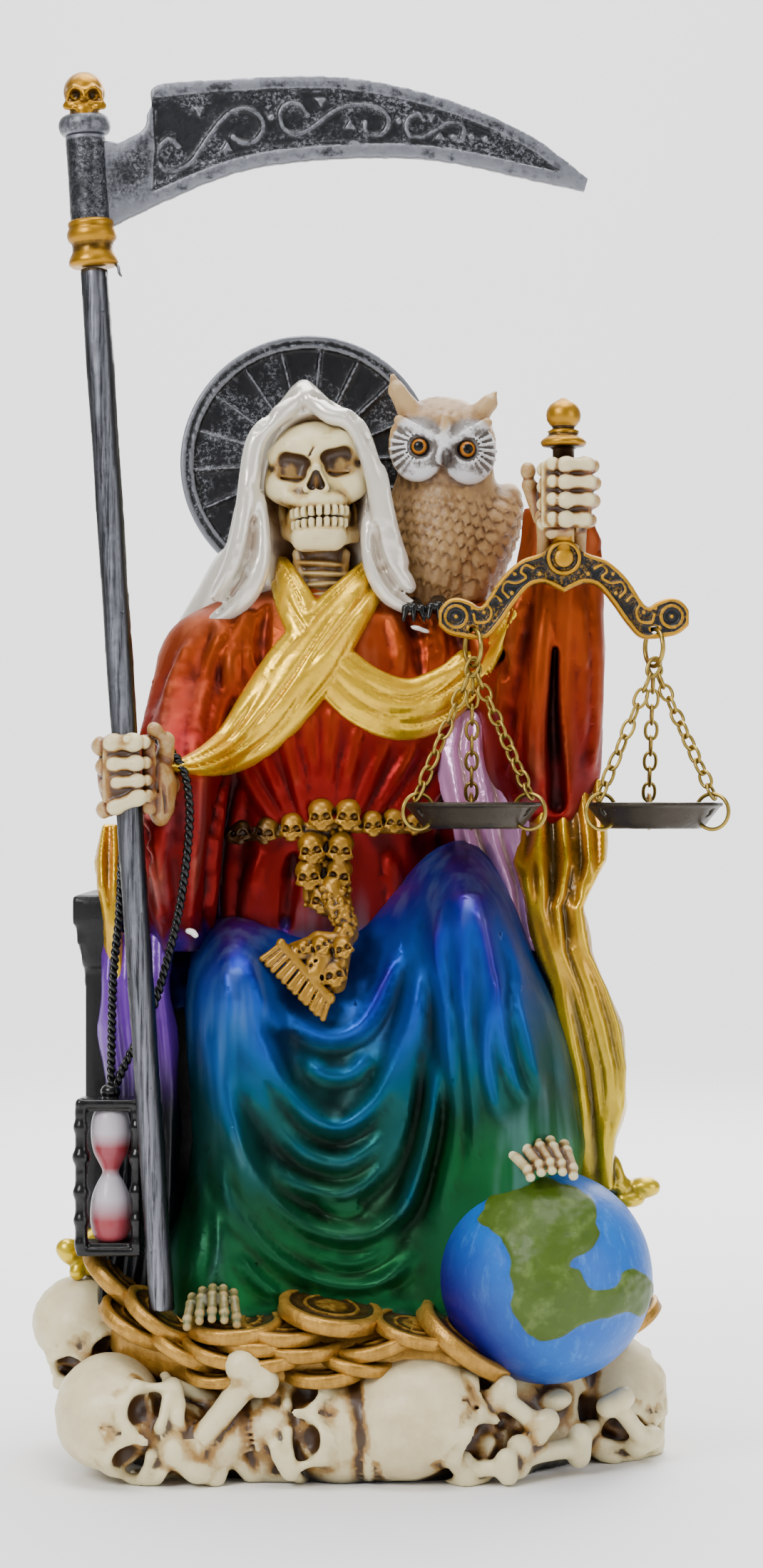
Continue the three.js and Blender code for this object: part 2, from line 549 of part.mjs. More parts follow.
// Scythe head: a blade with a raised border, the socket, the gold collar and a skull on top
function scytheHead() {
  const back = new THREE.SplineCurve([[-41.6, 297.4], [-29, 298.6], [-3.5, 299.3], [18, 295.2],
    [37, 287.4], [50.4, 277.6]].map(flat)).getPoints(8);
  const edge = new THREE.SplineCurve([[49.6, 275], [39.4, 277.2], [17, 281.7], [-5.2, 281.8],
    [-23.1, 279.4], [-38.5, 273.5], [-51.5, 267.2]].map(flat)).getPoints(8);
  const heel = [[-52.6, 285.7], [-47.4, 286.3], [-43.8, 288.8], [-42.4, 293]].map(flat);
  const blade = plate([...back, ...edge, ...heel], bladeThickness).translate([0, shaftTop.y, 0]);
  const border = 2.9 * share;
  const moved = (p, side) => new THREE.Vector2(p.x, p.y + side * border);
  const inner = (points, side) => points.slice(1, -1).map((p) => moved(p, side));
  const panelOutline = [...inner(back, -1).slice(0, -1), ...inner(edge, 1).slice(1)];
  const recess = 0.5;
  const panel = plate(panelOutline, bladeThickness);
  const sunk = bladeThickness - recess;
  const faces = [-1, 1].map((side) => panel.translate([0, shaftTop.y + side * sunk, 0]));
  const plain = faces.reduce((body, face) => body.subtract(face), blade);
  // Collar, socket tube and ring of the fitting: radius, then height above the end of the shaft
  const rise = [[5.3, 0], [5.3, 1.4], [4.4, 3.6], [4.4, 5.4], [5.2, 6.4], [5.2, 9], [4.3, 10.2],
    [4.3, 28.4], [5.6, 29.4], [5.6, 31.6], [4.4, 33]];
  const profile = [[0, 0], ...rise, [0, 33]].map(([radius, z]) => [radius * share, gap + z * share]);
  const along = new THREE.Vector3().subVectors(shaftTop, shaftFoot).normalize();
  const lean = THREE.MathUtils.radToDeg(Math.atan2(along.x, along.z));
  const standing = turned(profile, 9).rotate([0, lean, 0]).translate([shaftTop.x, shaftTop.y, shaftTop.z]);
  let skull = egg([-57, -37, 295.6], [5, 5.2, 5.4], 8, 6);
  skull = skull.add(egg([-56.8, -39.6, 292.8], [3, 2.8, 2.6], 6, 4));
  for (const side of [-1, 1]) {
    skull = skull.subtract(egg([-57 + side * 2, -42, 296], [1.4, 1.6, 1.5], 6, 4));
  }
  return joined([plain, standing, skull]);
}

// Scale: the beam with scrolled ends, the boss, the handle through the fist and its finial
const hangerX = 19.5;
const hangerHoleZ = -15.2;
function scaleBeam(extra) {
  const top = [[0, 3.4], [5.4, 0.9], [9.4, -0.6], [13.6, -4.4], [17.6, -10.2], [20.2, -9.4],
    [24.2, -8.9], [27, -11.6]];
  const under = [[27, -14.4], [23.4, -16.6], [17.2, -17.4], [13.8, -14.4], [10.4, -9.6], [7.4, -6.2],
    [4.6, -5.4], [0, -7]];
  const right = [...top, ...under.slice(0, -1)];
  const left = right.slice(1).map(([x, z]) => [-x, z]).reverse();
  const outline = [...top, ...under, ...left].map(flat);
  const thickness = beamThickness + 2 * extra;
  const scroll = (x) => {
    const round = new THREE.CylinderGeometry(3.9 * share + extra, 3.9 * share + extra, thickness, 9);
    return solid(round.translate(x * share, 0, -12.6 * share));
  };
  const bossRadius = 4 * share + extra;
  const boss = new THREE.CylinderGeometry(bossRadius, bossRadius, beamThickness * 1.5 + 2 * extra, 10);
  // Radius and height of the finial above the handle, at the measured height
  const finial = [[4.6, 24], [5, 25], [2.6, 27.6], [3.7, 30], [3.7, 32], [0, 34.6]];
  const profile = [[0, 0], [handleRadius, 0], [handleRadius, 24 * share],
    ...finial.map(([radius, z]) => [radius * share, z * share])];
  const handle = turned(profile.map(([radius, z]) => [radius > 0 ? radius + extra : 0, z]), 8);
  return joined([plate(outline, thickness), scroll(-23), scroll(23), solid(boss), handle])
    .translate([...at(...scaleMiddle)]);
}

// Chains: each link a flat loop of three-sided wire, turned a quarter from link to link
const linkOutline = [[1, -0.5], [1, 0.5], [0, 1], [-1, 0.5], [-1, -0.5], [0, -1]];
function link(centre, along, flat, halfLength, wire) {
  const across = new THREE.Vector3().crossVectors(flat, along).normalize();
  const corners = linkOutline.map(([a, b]) => centre.clone()
    .addScaledVector(along, a * halfLength).addScaledVector(across, b * linkHalfWidth));
  const sides = 3;
  const points = [];
  corners.forEach((corner) => {
    const out = corner.clone().sub(centre).normalize();
    for (let s = 0; s < sides; s += 1) {
      const angle = (s / sides) * 2 * Math.PI;
      points.push(corner.clone().addScaledVector(out, -wire * Math.cos(angle))
        .addScaledVector(flat, wire * Math.sin(angle)));
    }
  });
  const faces = [];
  for (let k = 0; k < corners.length; k += 1) {
    const here = k * sides;
    const there = ((k + 1) % corners.length) * sides;
    for (let s = 0; s < sides; s += 1) {
      const next = (s + 1) % sides;
      faces.push(here + s, here + next, there + next, here + s, there + next, there + s);
    }
  }
  const geometry = new THREE.BufferGeometry().setFromPoints(points);
  geometry.setIndex(faces);
  return solid(geometry);
}
function chain(from, to, firstFlat, lastFlat) {
  const along = new THREE.Vector3().subVectors(to, from);
  const span = along.length();
  along.normalize();
  const inset = 0.5;
  const count = Math.round((span - 2 * inset) / linkPitch / 2) * 2 + 1;
  const pitch = (span - 2 * inset) / (count - 1);
  const halfLength = (pitch + linkWire * 1.5) / 2;
  const flattened = (v) => v.clone().addScaledVector(along, -v.dot(along)).normalize();
  const first = flattened(firstFlat);
  const last = flattened(lastFlat);
  let twist = Math.atan2(new THREE.Vector3().crossVectors(first, last).dot(along), first.dot(last));
  twist -= Math.round(twist / Math.PI) * Math.PI;
  return joined(Array.from({ length: count }, (_, i) => {
    const angle = (i * Math.PI) / 2 + (twist * i) / (count - 1);
    const flat = first.clone().applyAxisAngle(along, angle);
    const centre = from.clone().addScaledVector(along, inset + i * pitch);
    return link(centre, along, flat, halfLength, linkWire);
  }));
}

// Pans: shallow dishes, bored where each ring passes through the wall
const panRimZ = 144.8;
const chainAngles = [90, 210, 330];
const panRingReach = panRadius - 0.6;
const panRingDrop = 2;
function panBody() {
  return turned([[0, -panDepth], [panFootRadius, -panDepth], [panRadius, -0.9], [panRadius + 0.5, -0.9],
    [panRadius + 0.5, 0], [panRadius - panWall, 0], [panFootRadius - panWall * 0.4, -panDepth + panWall],
    [0, -panDepth + panWall]], 14);
}
function panRing(angle, extra) {
  const ring = wireRing(panRingRadius, panRingWire + extra, 9, 4);
  return ring.translate([panRingReach, 0, -panRingDrop]).rotate([0, 0, angle]);
}

// Assembly
function paint(color, roughness, metalness) {
  return new THREE.MeshStandardMaterial({ color, roughness, metalness });
}
const paints = {
  figure: paint(0x8a4a3a, 0.35, 0.05),
  scythe: paint(0x3c3e42, 0.4, 0.6),
  beam: paint(0x4a3c24, 0.4, 0.7),
  wire: paint(0x9a7b3c, 0.35, 0.9),
  pan: paint(0x3a3127, 0.4, 0.8),
};
const group = new THREE.Group();
function addPiece(name, body, material) {
  const mesh = new THREE.Mesh(geometryOf(body), material);
  mesh.name = name;
  group.add(mesh);
}

const scaleCentre = at(...scaleMiddle);
const hangers = [-1, 1].map((side) => {
  const x = scaleCentre.x + side * hangerX * share;
  const topZ = scaleCentre.z + hangerHoleZ * share;
  const centre = new THREE.Vector3(x, scaleCentre.y, topZ - hangerRadius);
  const ring = (extra) => wireRing(hangerRadius, hangerWire + extra, 9, 4).rotate([0, 0, 90])
    .translate([centre.x, centre.y, centre.z]);
  return { side, centre, ring };
});

let figure = joined([
  mound(), ...baseSkulls.map((skull) => baseSkull(...skull)), ...bones.map((b) => bone(...b)),
  ...coins.map((c) => coin(...c)), coinPile(), globe(), throne(), skirt(),
  draped(torsoRows, 8, 16, 7, 0.03), draped(sleeveLeftRows, 6, 11, 4, 0.05),
  draped(sleeveRightRows, 6, 12, 5, 0.07), draped(capeRows, 5, 10, 3, 0), halo(), hood(), head(), owl(),
  sash(), belt(), hands(),
  toes([-30.5, -40, 38.4], 11, 0), toes([40.5, -35, 65.6], 12, 1), cloths(), cordAndHourglass(),
]);
const underground = block([-100, -100, -30], [100, 100, 0]);
figure = figure.subtract(rod(gap)).subtract(scaleBeam(gap)).subtract(underground);
addPiece("figure", figure, paints.figure);
addPiece("scythe_shaft", rod(0), paints.scythe);
addPiece("scythe_head", scytheHead(), paints.scythe);

let bored = scaleBeam(0);
for (const hanger of hangers) bored = bored.subtract(hanger.ring(gap));
addPiece("scale_beam", bored, paints.beam);
for (const hanger of hangers) {
  const name = hanger.side < 0 ? "left" : "right";
  addPiece(`hanger_ring_${name}`, hanger.ring(0), paints.wire);
  const rim = new THREE.Vector3(hanger.centre.x, hanger.centre.y, panRimZ * share);
  let pan = panBody();
  for (const angle of chainAngles) pan = pan.subtract(panRing(angle, gap));
  addPiece(`pan_${name}`, pan.translate([rim.x, rim.y, rim.z]), paints.pan);
  chainAngles.forEach((angle, i) => {
    addPiece(`pan_ring_${name}_${i + 1}`, panRing(angle, 0).translate([rim.x, rim.y, rim.z]), paints.wire);
    const outward = new THREE.Vector3(1, 0, 0).applyAxisAngle(upward, THREE.MathUtils.degToRad(angle));
    const to = rim.clone().addScaledVector(outward, panRingReach);
    to.z += panRingRadius - panRingDrop;
    const slot = [1, -1, 0][i] * linkSpread;
    const from = hanger.centre.clone();
    from.y += slot;
    from.z -= Math.sqrt(hangerRadius * hangerRadius - slot * slot);
    addPiece(`chain_${name}_${i + 1}`, chain(from, to, new THREE.Vector3(0, 1, 0), outward), paints.wire);
  });
}

export default group;
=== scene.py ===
"""Santa muerte figure: the painted look of the cast figure, its scythe and its hanging scales.

Lengths in this script are millimetres in the frame of the CAD model, and become metres in make_mesh.
The cast forms are sculpted as distance fields in Clay, which are then skinned. A form is a low corner,
a high corner and a function that gives the distance to its surface. A path is a list of points that a
smooth curve goes through.
"""
import math

import bpy
import numpy as np
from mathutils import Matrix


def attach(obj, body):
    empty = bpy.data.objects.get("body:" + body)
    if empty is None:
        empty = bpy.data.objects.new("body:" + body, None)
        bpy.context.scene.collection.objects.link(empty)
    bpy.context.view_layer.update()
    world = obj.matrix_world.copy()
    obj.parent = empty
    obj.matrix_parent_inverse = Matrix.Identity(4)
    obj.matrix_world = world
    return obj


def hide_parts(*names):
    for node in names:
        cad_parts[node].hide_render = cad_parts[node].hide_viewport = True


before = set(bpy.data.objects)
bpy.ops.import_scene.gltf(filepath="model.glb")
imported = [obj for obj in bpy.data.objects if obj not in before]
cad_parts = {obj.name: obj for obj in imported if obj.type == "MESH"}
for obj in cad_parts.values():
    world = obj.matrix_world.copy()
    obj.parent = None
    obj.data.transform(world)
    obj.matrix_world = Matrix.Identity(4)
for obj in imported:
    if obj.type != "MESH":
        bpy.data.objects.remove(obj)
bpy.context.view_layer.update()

import openvdb
from mathutils import Vector

MM = 0.001
FAR = 9.0
TINY = 1e-9
NEAREST_START = 1e9
SPECK_POINTS = 130


# Numbers and curves

def smooth_min(a, b, blend):
    if blend <= 0:
        return np.minimum(a, b)
    h = np.maximum(blend - np.abs(a - b), 0) / blend
    return np.minimum(a, b) - h * h * blend * 0.25


def clamp01(value):
    return np.clip(value, 0, 1)


def bell(value):
    return np.exp(-value * value)


def plateau(value):
    """A bell with a flat top and steep sides."""
    return np.exp(-value ** 4)


def ridge(turns, power=1.5):
    return (0.5 + 0.5 * np.cos(2 * math.pi * turns)) ** power


def turned(yaw=0, pitch=0, roll=0):
    """Rotation by roll about Y, then pitch about X, then yaw about Z, in degrees."""
    a, b, c = (math.radians(v) for v in (yaw, pitch, roll))
    about_z = np.array([[math.cos(a), -math.sin(a), 0], [math.sin(a), math.cos(a), 0], [0, 0, 1]])
    about_x = np.array([[1, 0, 0], [0, math.cos(b), -math.sin(b)], [0, math.sin(b), math.cos(b)]])
    about_y = np.array([[math.cos(c), 0, math.sin(c)], [0, 1, 0], [-math.sin(c), 0, math.cos(c)]])
    return about_z @ about_x @ about_y


def smooth_path(points, steps):
    """Points on a smooth curve through the given ones, with any further values carried along."""
    p = np.asarray(points, float)
    p = np.vstack([2 * p[0] - p[1], p, 2 * p[-1] - p[-2]])
    t = np.linspace(0, len(p) - 3, steps + 1)
    k = np.minimum(t.astype(int), len(p) - 4)
    s = (t - k)[:, None]
    a, b, c, d = (p[k + i] for i in range(4))
    square, cube = 2 * a - 5 * b + 4 * c - d, 3 * b - a - 3 * c + d
    return 0.5 * (2 * b + (c - a) * s + square * s ** 2 + cube * s ** 3)


def path_measure(path, x, z, steps=40):
    """Distance across a smooth path in x and z, the share along it, and the half width there."""
    line = smooth_path(path, steps)
    best = np.full(np.broadcast(x, z).shape, NEAREST_START)
    across, along, wide = np.zeros(best.shape), np.zeros(best.shape), np.ones(best.shape)
    for i, (a, b) in enumerate(zip(line, line[1:])):
        ex, ez = b[0] - a[0], b[1] - a[1]
        t = np.clip(((x - a[0]) * ex + (z - a[1]) * ez) / max(ex * ex + ez * ez, TINY), 0, 1)
        dx, dz = x - a[0] - ex * t, z - a[1] - ez * t
        d = dx * dx + dz * dz
        near = d < best
        best = np.where(near, d, best)
        across = np.where(near, np.sign(ex * dz - ez * dx) * np.sqrt(d), across)
        along = np.where(near, (i + t) / steps, along)
        wide = np.where(near, a[2] + (b[2] - a[2]) * t, wide)
    return across, along, wide


def line_distance(x, z, path, steps=48):
    line = smooth_path(path, steps)
    best = np.full(np.broadcast(x, z).shape, NEAREST_START)
    for a, b in zip(line, line[1:]):
        ex, ez = b[0] - a[0], b[1] - a[1]
        t = np.clip(((x - a[0]) * ex + (z - a[1]) * ez) / max(ex * ex + ez * ez, TINY), 0, 1)
        best = np.minimum(best, (x - a[0] - ex * t) ** 2 + (z - a[1] - ez * t) ** 2)
    return np.sqrt(best)


def outline_distance(x, z, corners):
    """Distance to a closed outline in a plane, negative inside."""
    corners = np.asarray(corners, float)
    best = np.full(np.broadcast(x, z).shape, NEAREST_START)
    inside = np.zeros(best.shape, bool)
    for a, b in zip(corners, np.roll(corners, -1, axis=0)):
        ex, ez = b - a
        wx, wz = x - a[0], z - a[1]
        t = np.clip((wx * ex + wz * ez) / max(ex * ex + ez * ez, TINY), 0, 1)
        best = np.minimum(best, (wx - ex * t) ** 2 + (wz - ez * t) ** 2)
        crosses = ((a[1] <= z) & (z < b[1])) | ((b[1] <= z) & (z < a[1]))
        inside ^= crosses & (x < a[0] + (z - a[1]) * ex / (ez if ez else TINY))
    return np.where(inside, -1, 1) * np.sqrt(best)


def hammered(x, z, size, seed):
    """Uneven relief in steps of about size millimetres, from -1 to 1."""
    rng = np.random.default_rng(seed)
    total, weight = 0.0, 0.0
    for octave in range(4):
        for _ in range(5):
            angle, phase = rng.uniform(0, math.pi), rng.uniform(0, 2 * math.pi)
            wave = 2 * math.pi / size * 1.7 ** octave
            turn = (x * math.cos(angle) + z * math.sin(angle)) * wave
            total = total + np.sin(turn + phase + 0.9 * np.sin(turn * 0.37 + phase * 3)) * 0.75 ** octave
            weight += 0.75 ** octave
    return total / weight * 2.2


# Forms

def own_axes(x, y, z, centre, turn):
    p = [x - centre[0], y - centre[1], z - centre[2]]
    if turn is None:
        return p
    return [p[0] * turn[0, i] + p[1] * turn[1, i] + p[2] * turn[2, i] for i in range(3)]


def ball(centre, size, turn=None):
    """An egg with three half sizes."""
    c = np.asarray(centre, float)
    r = np.asarray(size, float) * np.ones(3)
    reach = np.full(3, r.max()) if turn is not None else r

    def distance(x, y, z):
        p = own_axes(x, y, z, c, turn)
        near = np.sqrt(sum((v / s) ** 2 for v, s in zip(p, r)))
        far = np.sqrt(sum((v / (s * s)) ** 2 for v, s in zip(p, r)))
        return near * (near - 1) / np.maximum(far, 1e-6)

    return c - reach, c + reach, distance


def rod(a, b, ra, rb=None):
    """A rod with round ends whose radius changes evenly from a to b."""
    rb = ra if rb is None else rb
    a, b = np.asarray(a, float), np.asarray(b, float)
    along = b - a
    square = max(float(along @ along), TINY)
    reach = max(ra, rb)

    def distance(x, y, z):
        px, py, pz = x - a[0], y - a[1], z - a[2]
        t = np.clip((px * along[0] + py * along[1] + pz * along[2]) / square, 0, 1)
        gap = np.sqrt((px - t * along[0]) ** 2 + (py - t * along[1]) ** 2 + (pz - t * along[2]) ** 2)
        return gap - (ra + (rb - ra) * t)

    return np.minimum(a, b) - reach, np.maximum(a, b) + reach, distance


def block(low, high, corner, turn=None):
    """A box with rounded edges, turned about its own middle."""
    low, high = np.asarray(low, float), np.asarray(high, float)
    c, half = (low + high) / 2, (high - low) / 2 - corner
    reach = np.full(3, np.linalg.norm(half) + corner) if turn is not None else half + corner

    def distance(x, y, z):
        q = [np.abs(v) - h for v, h in zip(own_axes(x, y, z, c, turn), half)]
        outside = np.sqrt(sum(np.maximum(v, 0) ** 2 for v in q))
        inside = np.minimum(np.maximum(np.maximum(q[0], q[1]), q[2]), 0)
        return outside + inside - corner

    return c - reach, c + reach, distance


def read_rows(rows, z):
    """Values of rows of [z, value ...] at the heights z."""
    rows = np.asarray(rows, float)
    return [np.interp(z, rows[:, 0], rows[:, i]) for i in range(1, rows.shape[1])]


def draped(rows, folds=None):
    """A stack of ovals: rows of [z, middle x, middle y, half width, half depth]."""
    rows = np.asarray(rows, float)
    low = np.array([(rows[:, 1] - rows[:, 3]).min(), (rows[:, 2] - rows[:, 4]).min(), rows[0, 0]])
    high = np.array([(rows[:, 1] + rows[:, 3]).max(), (rows[:, 2] + rows[:, 4]).max(), rows[-1, 0]])

    def distance(x, y, z):
        cx, cy, wide, deep = read_rows(rows, z)
        px, py = (x - cx) / wide, (y - cy) / deep
        d = (np.sqrt(px * px + py * py) - 1) * np.minimum(wide, deep)
        if folds is not None:
            d = d - folds(np.arctan2(py, px), z)
        return np.maximum(d, np.maximum(rows[0, 0] - z, z - rows[-1, 0]))

    return low - 1.5, high + 1.5, distance


class Clay:
    """A block of cells that holds the distance to a surface: forms are put in, blended and cut."""

    def __init__(self, low, high, cell):
        self.cell = cell
        self.low = np.asarray(low, float) - 3 * cell
        count = np.ceil((np.asarray(high, float) - np.asarray(low, float)) / cell).astype(int) + 7
        self.axes = [(self.low[i] + cell * np.arange(count[i])).astype(np.float32) for i in range(3)]
        self.field = np.full(count, FAR, np.float32)

    def window(self, low, high):
        cuts, grids = [], []
        for i, axis in enumerate(self.axes):
            start = max(0, int(np.searchsorted(axis, low[i])) - 1)
            stop = max(start, min(len(axis), int(np.searchsorted(axis, high[i])) + 1))
            cuts.append(slice(start, stop))
            shape = [1, 1, 1]
            shape[i] = -1
            grids.append(axis[start:stop].reshape(shape))
        return tuple(cuts), grids

    def plane(self):
        """The cells' x and z, as a column and a row."""
        return self.axes[0][:, None], self.axes[2][None, :]

    def put(self, form, blend=0.0, cut=False):
        low, high, distance = form
        reach = blend + 2.5
        cuts, grids = self.window(np.asarray(low, float) - reach, np.asarray(high, float) + reach)
        here = self.field[cuts]
        if here.size:
            d = distance(*grids).astype(np.float32)
            self.field[cuts] = -smooth_min(-here, d, blend) if cut else smooth_min(here, d, blend)
        return self

    def egg(self, centre, size, blend=0.0, cut=False, turn=None):
        return self.put(ball(centre, size, turn), blend, cut)

    def bar(self, a, b, ra, rb=None, blend=0.0, cut=False):
        return self.put(rod(a, b, ra, rb), blend, cut)

    def box(self, low, high, corner, blend=0.0, cut=False, turn=None):
        return self.put(block(low, high, corner, turn), blend, cut)

    def eggs(self, rows):
        for row in rows:
            self.egg(*row)

    def bars(self, rows):
        for row in rows:
            self.bar(*row)

    def string(self, line, blend, radius=None):
        """Rods from point to point: rows of [x, y, z, radius], or of [x, y, z] with one radius."""
        for a, b in zip(line, line[1:]):
            self.bar(a[:3], b[:3], radius or a[3], radius or b[3], blend)

    def plate(self, middle, half, flat):
        """A flat form across y: its half thickness and the distance to its outline over x and z."""
        y = self.axes[1][None, :, None]
        body = np.maximum(np.abs(y - middle) - half[:, None, :], flat[:, None, :])
        self.field = np.minimum(self.field, body.astype(np.float32))

    def keep(self, low, high):
        """Cuts away everything outside a box."""
        for axis, lowest, highest in zip(np.ix_(*self.axes), low, high):
            self.field = np.maximum(self.field, np.maximum(lowest - axis, axis - highest))

    def swell(self, amount):
        """Adds amount(x, y, z) millimetres of clay to the surface."""
        grown = np.broadcast_to(amount(*np.ix_(*self.axes)), self.field.shape)
        near = np.abs(self.field) < 3
        self.field = np.where(near, self.field - grown, self.field).astype(np.float32)

    def depth_at(self, x, z):
        """The y where a line from the front first meets the clay."""
        i = int(np.clip(round((x - self.low[0]) / self.cell), 0, len(self.axes[0]) - 1))
        k = int(np.clip(round((z - self.low[2]) / self.cell), 0, len(self.axes[2]) - 1))
        column = self.field[i, :, k] < 0
        return float(self.axes[1][int(np.argmax(column))]) if column.any() else None

    def stroke(self, path, radius, lift, cut=False, blend=1.2, steps=22, ends=0.25):
        """A fold drawn in x and z on the front: a ridge that stands lift proud, or a groove that deep."""
        marks = []
        for i, (x, z) in enumerate(smooth_path(path, steps)[:, :2]):
            y = self.depth_at(x, z)
            if y is not None:
                size = ends + (1 - ends) * math.sin(math.pi * (i / steps)) ** 0.6
                r, h = radius * size, lift * size
                marks.append((x, y - r + h if cut else y + r - h, z, r))
        for a, b in zip(marks, marks[1:]):
            if abs(a[1] - b[1]) < 6:
                self.bar(a[:3], b[:3], a[3], b[3], blend, cut)

    def hollows(self, points, reach):
        """The share of clay round each point, less a half: above 0 in a hollow, below 0 on an edge."""
        solid = (self.field < 0).astype(np.float32)
        half = max(1, int(round(reach / self.cell / 2)))
        for _ in range(2):
            for axis in range(3):
                sides = [(half + 1, half) if i == axis else (0, 0) for i in range(3)]
                total = np.cumsum(np.pad(solid, sides, mode="edge"), axis=axis, dtype=np.float32)
                total = np.moveaxis(total, axis, 0)
                solid = np.moveaxis((total[2 * half + 1:] - total[:-2 * half - 1]) / (2 * half + 1), 0, axis)
        spots = np.clip((points - self.low) / self.cell, 0, np.array(self.field.shape) - 1.001)
        whole = spots.astype(int)
        part = spots - whole
        share = 0.0
        for corner in np.ndindex(2, 2, 2):
            weight = np.prod(np.where(corner, part, 1 - part), axis=1)
            i, j, k = (whole + corner).T
            share = share + weight * solid[i, j, k]
        return share - 0.5

    def skin(self, adaptivity=0.0):
        """The surface at distance 0, without loose specks and small closed pockets."""
        grid = openvdb.FloatGrid(FAR)
        grid.copyFromArray(np.ascontiguousarray(self.field, dtype=np.float32))
        points, triangles, quads = grid.convertToPolygons(0.0, adaptivity)
        points = points.astype(float) * self.cell + self.low
        return without_specks(points, triangles.astype(int), quads.astype(int))


# Meshes: points, triangles and quads, which become pieces of the figure

def without_specks(points, triangles, quads):
    """Gives all points that hang together one number, and drops groups of few points."""
    links = np.concatenate([triangles[:, :2], triangles[:, 1:], quads[:, :2], quads[:, 1:3], quads[:, 2:]])
    label = np.arange(len(points))
    while True:
        lowest = np.minimum(label[links[:, 0]], label[links[:, 1]])
        new = label.copy()
        np.minimum.at(new, label[links[:, 0]], lowest)
        np.minimum.at(new, label[links[:, 1]], lowest)
        new = new[new]
        new = new[new]
        if (new == label).all():
            break
        label = new
    kept = np.bincount(label, minlength=len(points))[label] >= SPECK_POINTS
    number = np.cumsum(kept) - 1
    return points[kept], number[triangles[kept[triangles[:, 0]]]], number[quads[kept[quads[:, 0]]]]


def ring_quads(rows, sides, closed=False):
    """Quads between rings of points, where a closed run also joins the last ring to the first."""
    i, k = np.meshgrid(np.arange(rows if closed else rows - 1), np.arange(sides), indexing="ij")
    j, n = (i + 1) % rows, (k + 1) % sides
    return np.stack([i * sides + k, i * sides + n, j * sides + n, j * sides + k], -1).reshape(-1, 4)


def end_fans(rows, sides):
    """Triangles that close the first and last ring on the two points that follow all rings."""
    k = np.arange(sides)
    n = (k + 1) % sides
    last = (rows - 1) * sides
    start = np.stack([np.full(sides, rows * sides), n, k], 1)
    return np.vstack([start, np.stack([np.full(sides, rows * sides + 1), last + k, last + n], 1)])


def turned_mesh(profile, sides):
    """A turned form on z from [radius, z] pairs, closed at both ends on the axis."""
    profile = np.asarray(profile, float)
    t = np.arange(sides) / sides * 2 * math.pi
    inner = profile[1:-1]
    ring = np.stack([inner[:, None, 0] * np.cos(t), inner[:, None, 0] * np.sin(t),
                     np.repeat(inner[:, 1:2], sides, 1)], -1).reshape(-1, 3)
    points = np.vstack([ring, [0, 0, profile[0, 1]], [0, 0, profile[-1, 1]]])
    return points, end_fans(len(inner), sides), ring_quads(len(inner), sides)


def tube(line, radius, sides=10, normal=None):
    """A round tube along a line of points: closed on itself with a normal, otherwise with fans."""
    line = np.asarray(line, float)
    closed = normal is not None
    tangent = np.roll(line, -1, 0) - np.roll(line, 1, 0) if closed else np.gradient(line, axis=0)
    tangent /= np.linalg.norm(tangent, axis=1, keepdims=True)
    if closed:
        up = np.repeat(np.asarray(normal, float)[None], len(line), 0)
    else:
        first = np.cross(tangent[0], (0.3, 0.2, 1.0))
        up = [first / np.linalg.norm(first)]
        for t in tangent[1:]:
            v = up[-1] - t * (up[-1] @ t)
            up.append(v / np.linalg.norm(v))
        up = np.array(up)
    side = np.cross(tangent, up)
    a = np.arange(sides) / sides * 2 * math.pi
    radii = np.broadcast_to(np.asarray(radius, float), len(line))[:, None, None]
    ring = line[:,
                None] + radii * (up[:, None] * np.cos(a)[None, :, None] + side[:, None] * np.sin(a)[None, :,
                                                                                                    None])
    points, quads = ring.reshape(-1, 3), ring_quads(len(line), sides, closed)
    if closed:
        return points, np.zeros((0, 3), int), quads
    return np.vstack([points, line[0], line[-1]]), end_fans(len(line), sides), quads


def loop(centre, along, across, long_half, wide_half, wire, steps=26, sides=10, square=1.0):
    """A ring or link of wire."""
    t = np.arange(steps) / steps * 2 * math.pi
    c, s = (np.sign(v) * np.abs(v) ** square for v in (np.cos(t), np.sin(t)))
    line = np.asarray(centre) + np.outer(c * long_half, along) + np.outer(s * wide_half, across)
    return tube(line, wire, sides, np.cross(along, across))


def make_mesh(name, points, triangles, quads):
    triangles = np.asarray(triangles, np.int32).reshape(-1, 3)
    quads = np.asarray(quads, np.int32).reshape(-1, 4)
    mesh = bpy.data.meshes.new(name)
    corners = np.concatenate([triangles.ravel(), quads.ravel()])
    starts = np.concatenate([np.arange(len(triangles)) * 3, len(triangles) * 3 + np.arange(len(quads)) * 4])
    mesh.vertices.add(len(points))
    mesh.vertices.foreach_set("co", (np.asarray(points) * MM).astype(np.float32).ravel())
    mesh.loops.add(len(corners))
    mesh.loops.foreach_set("vertex_index", corners.astype(np.int32))
    mesh.polygons.add(len(starts))
    mesh.polygons.foreach_set("loop_start", starts.astype(np.int32))
    mesh.update(calc_edges=True)
    mesh.validate()
    mesh.polygons.foreach_set("use_smooth", np.ones(len(mesh.polygons), bool))
    return mesh


def read(things, key, width, kind=np.float32):
    """One property of all vertices or edges, a row for each."""
    values = np.empty(len(things) * width, kind)
    things.foreach_get(key, values)
    return values.reshape(-1, width)


def positions(mesh):
    return read(mesh.vertices, "co", 3).astype(float) / MM


def store(mesh, name, values):
    layer = mesh.attributes.new(name, "FLOAT", "POINT")
    layer.data.foreach_set("value", np.asarray(values, np.float32))


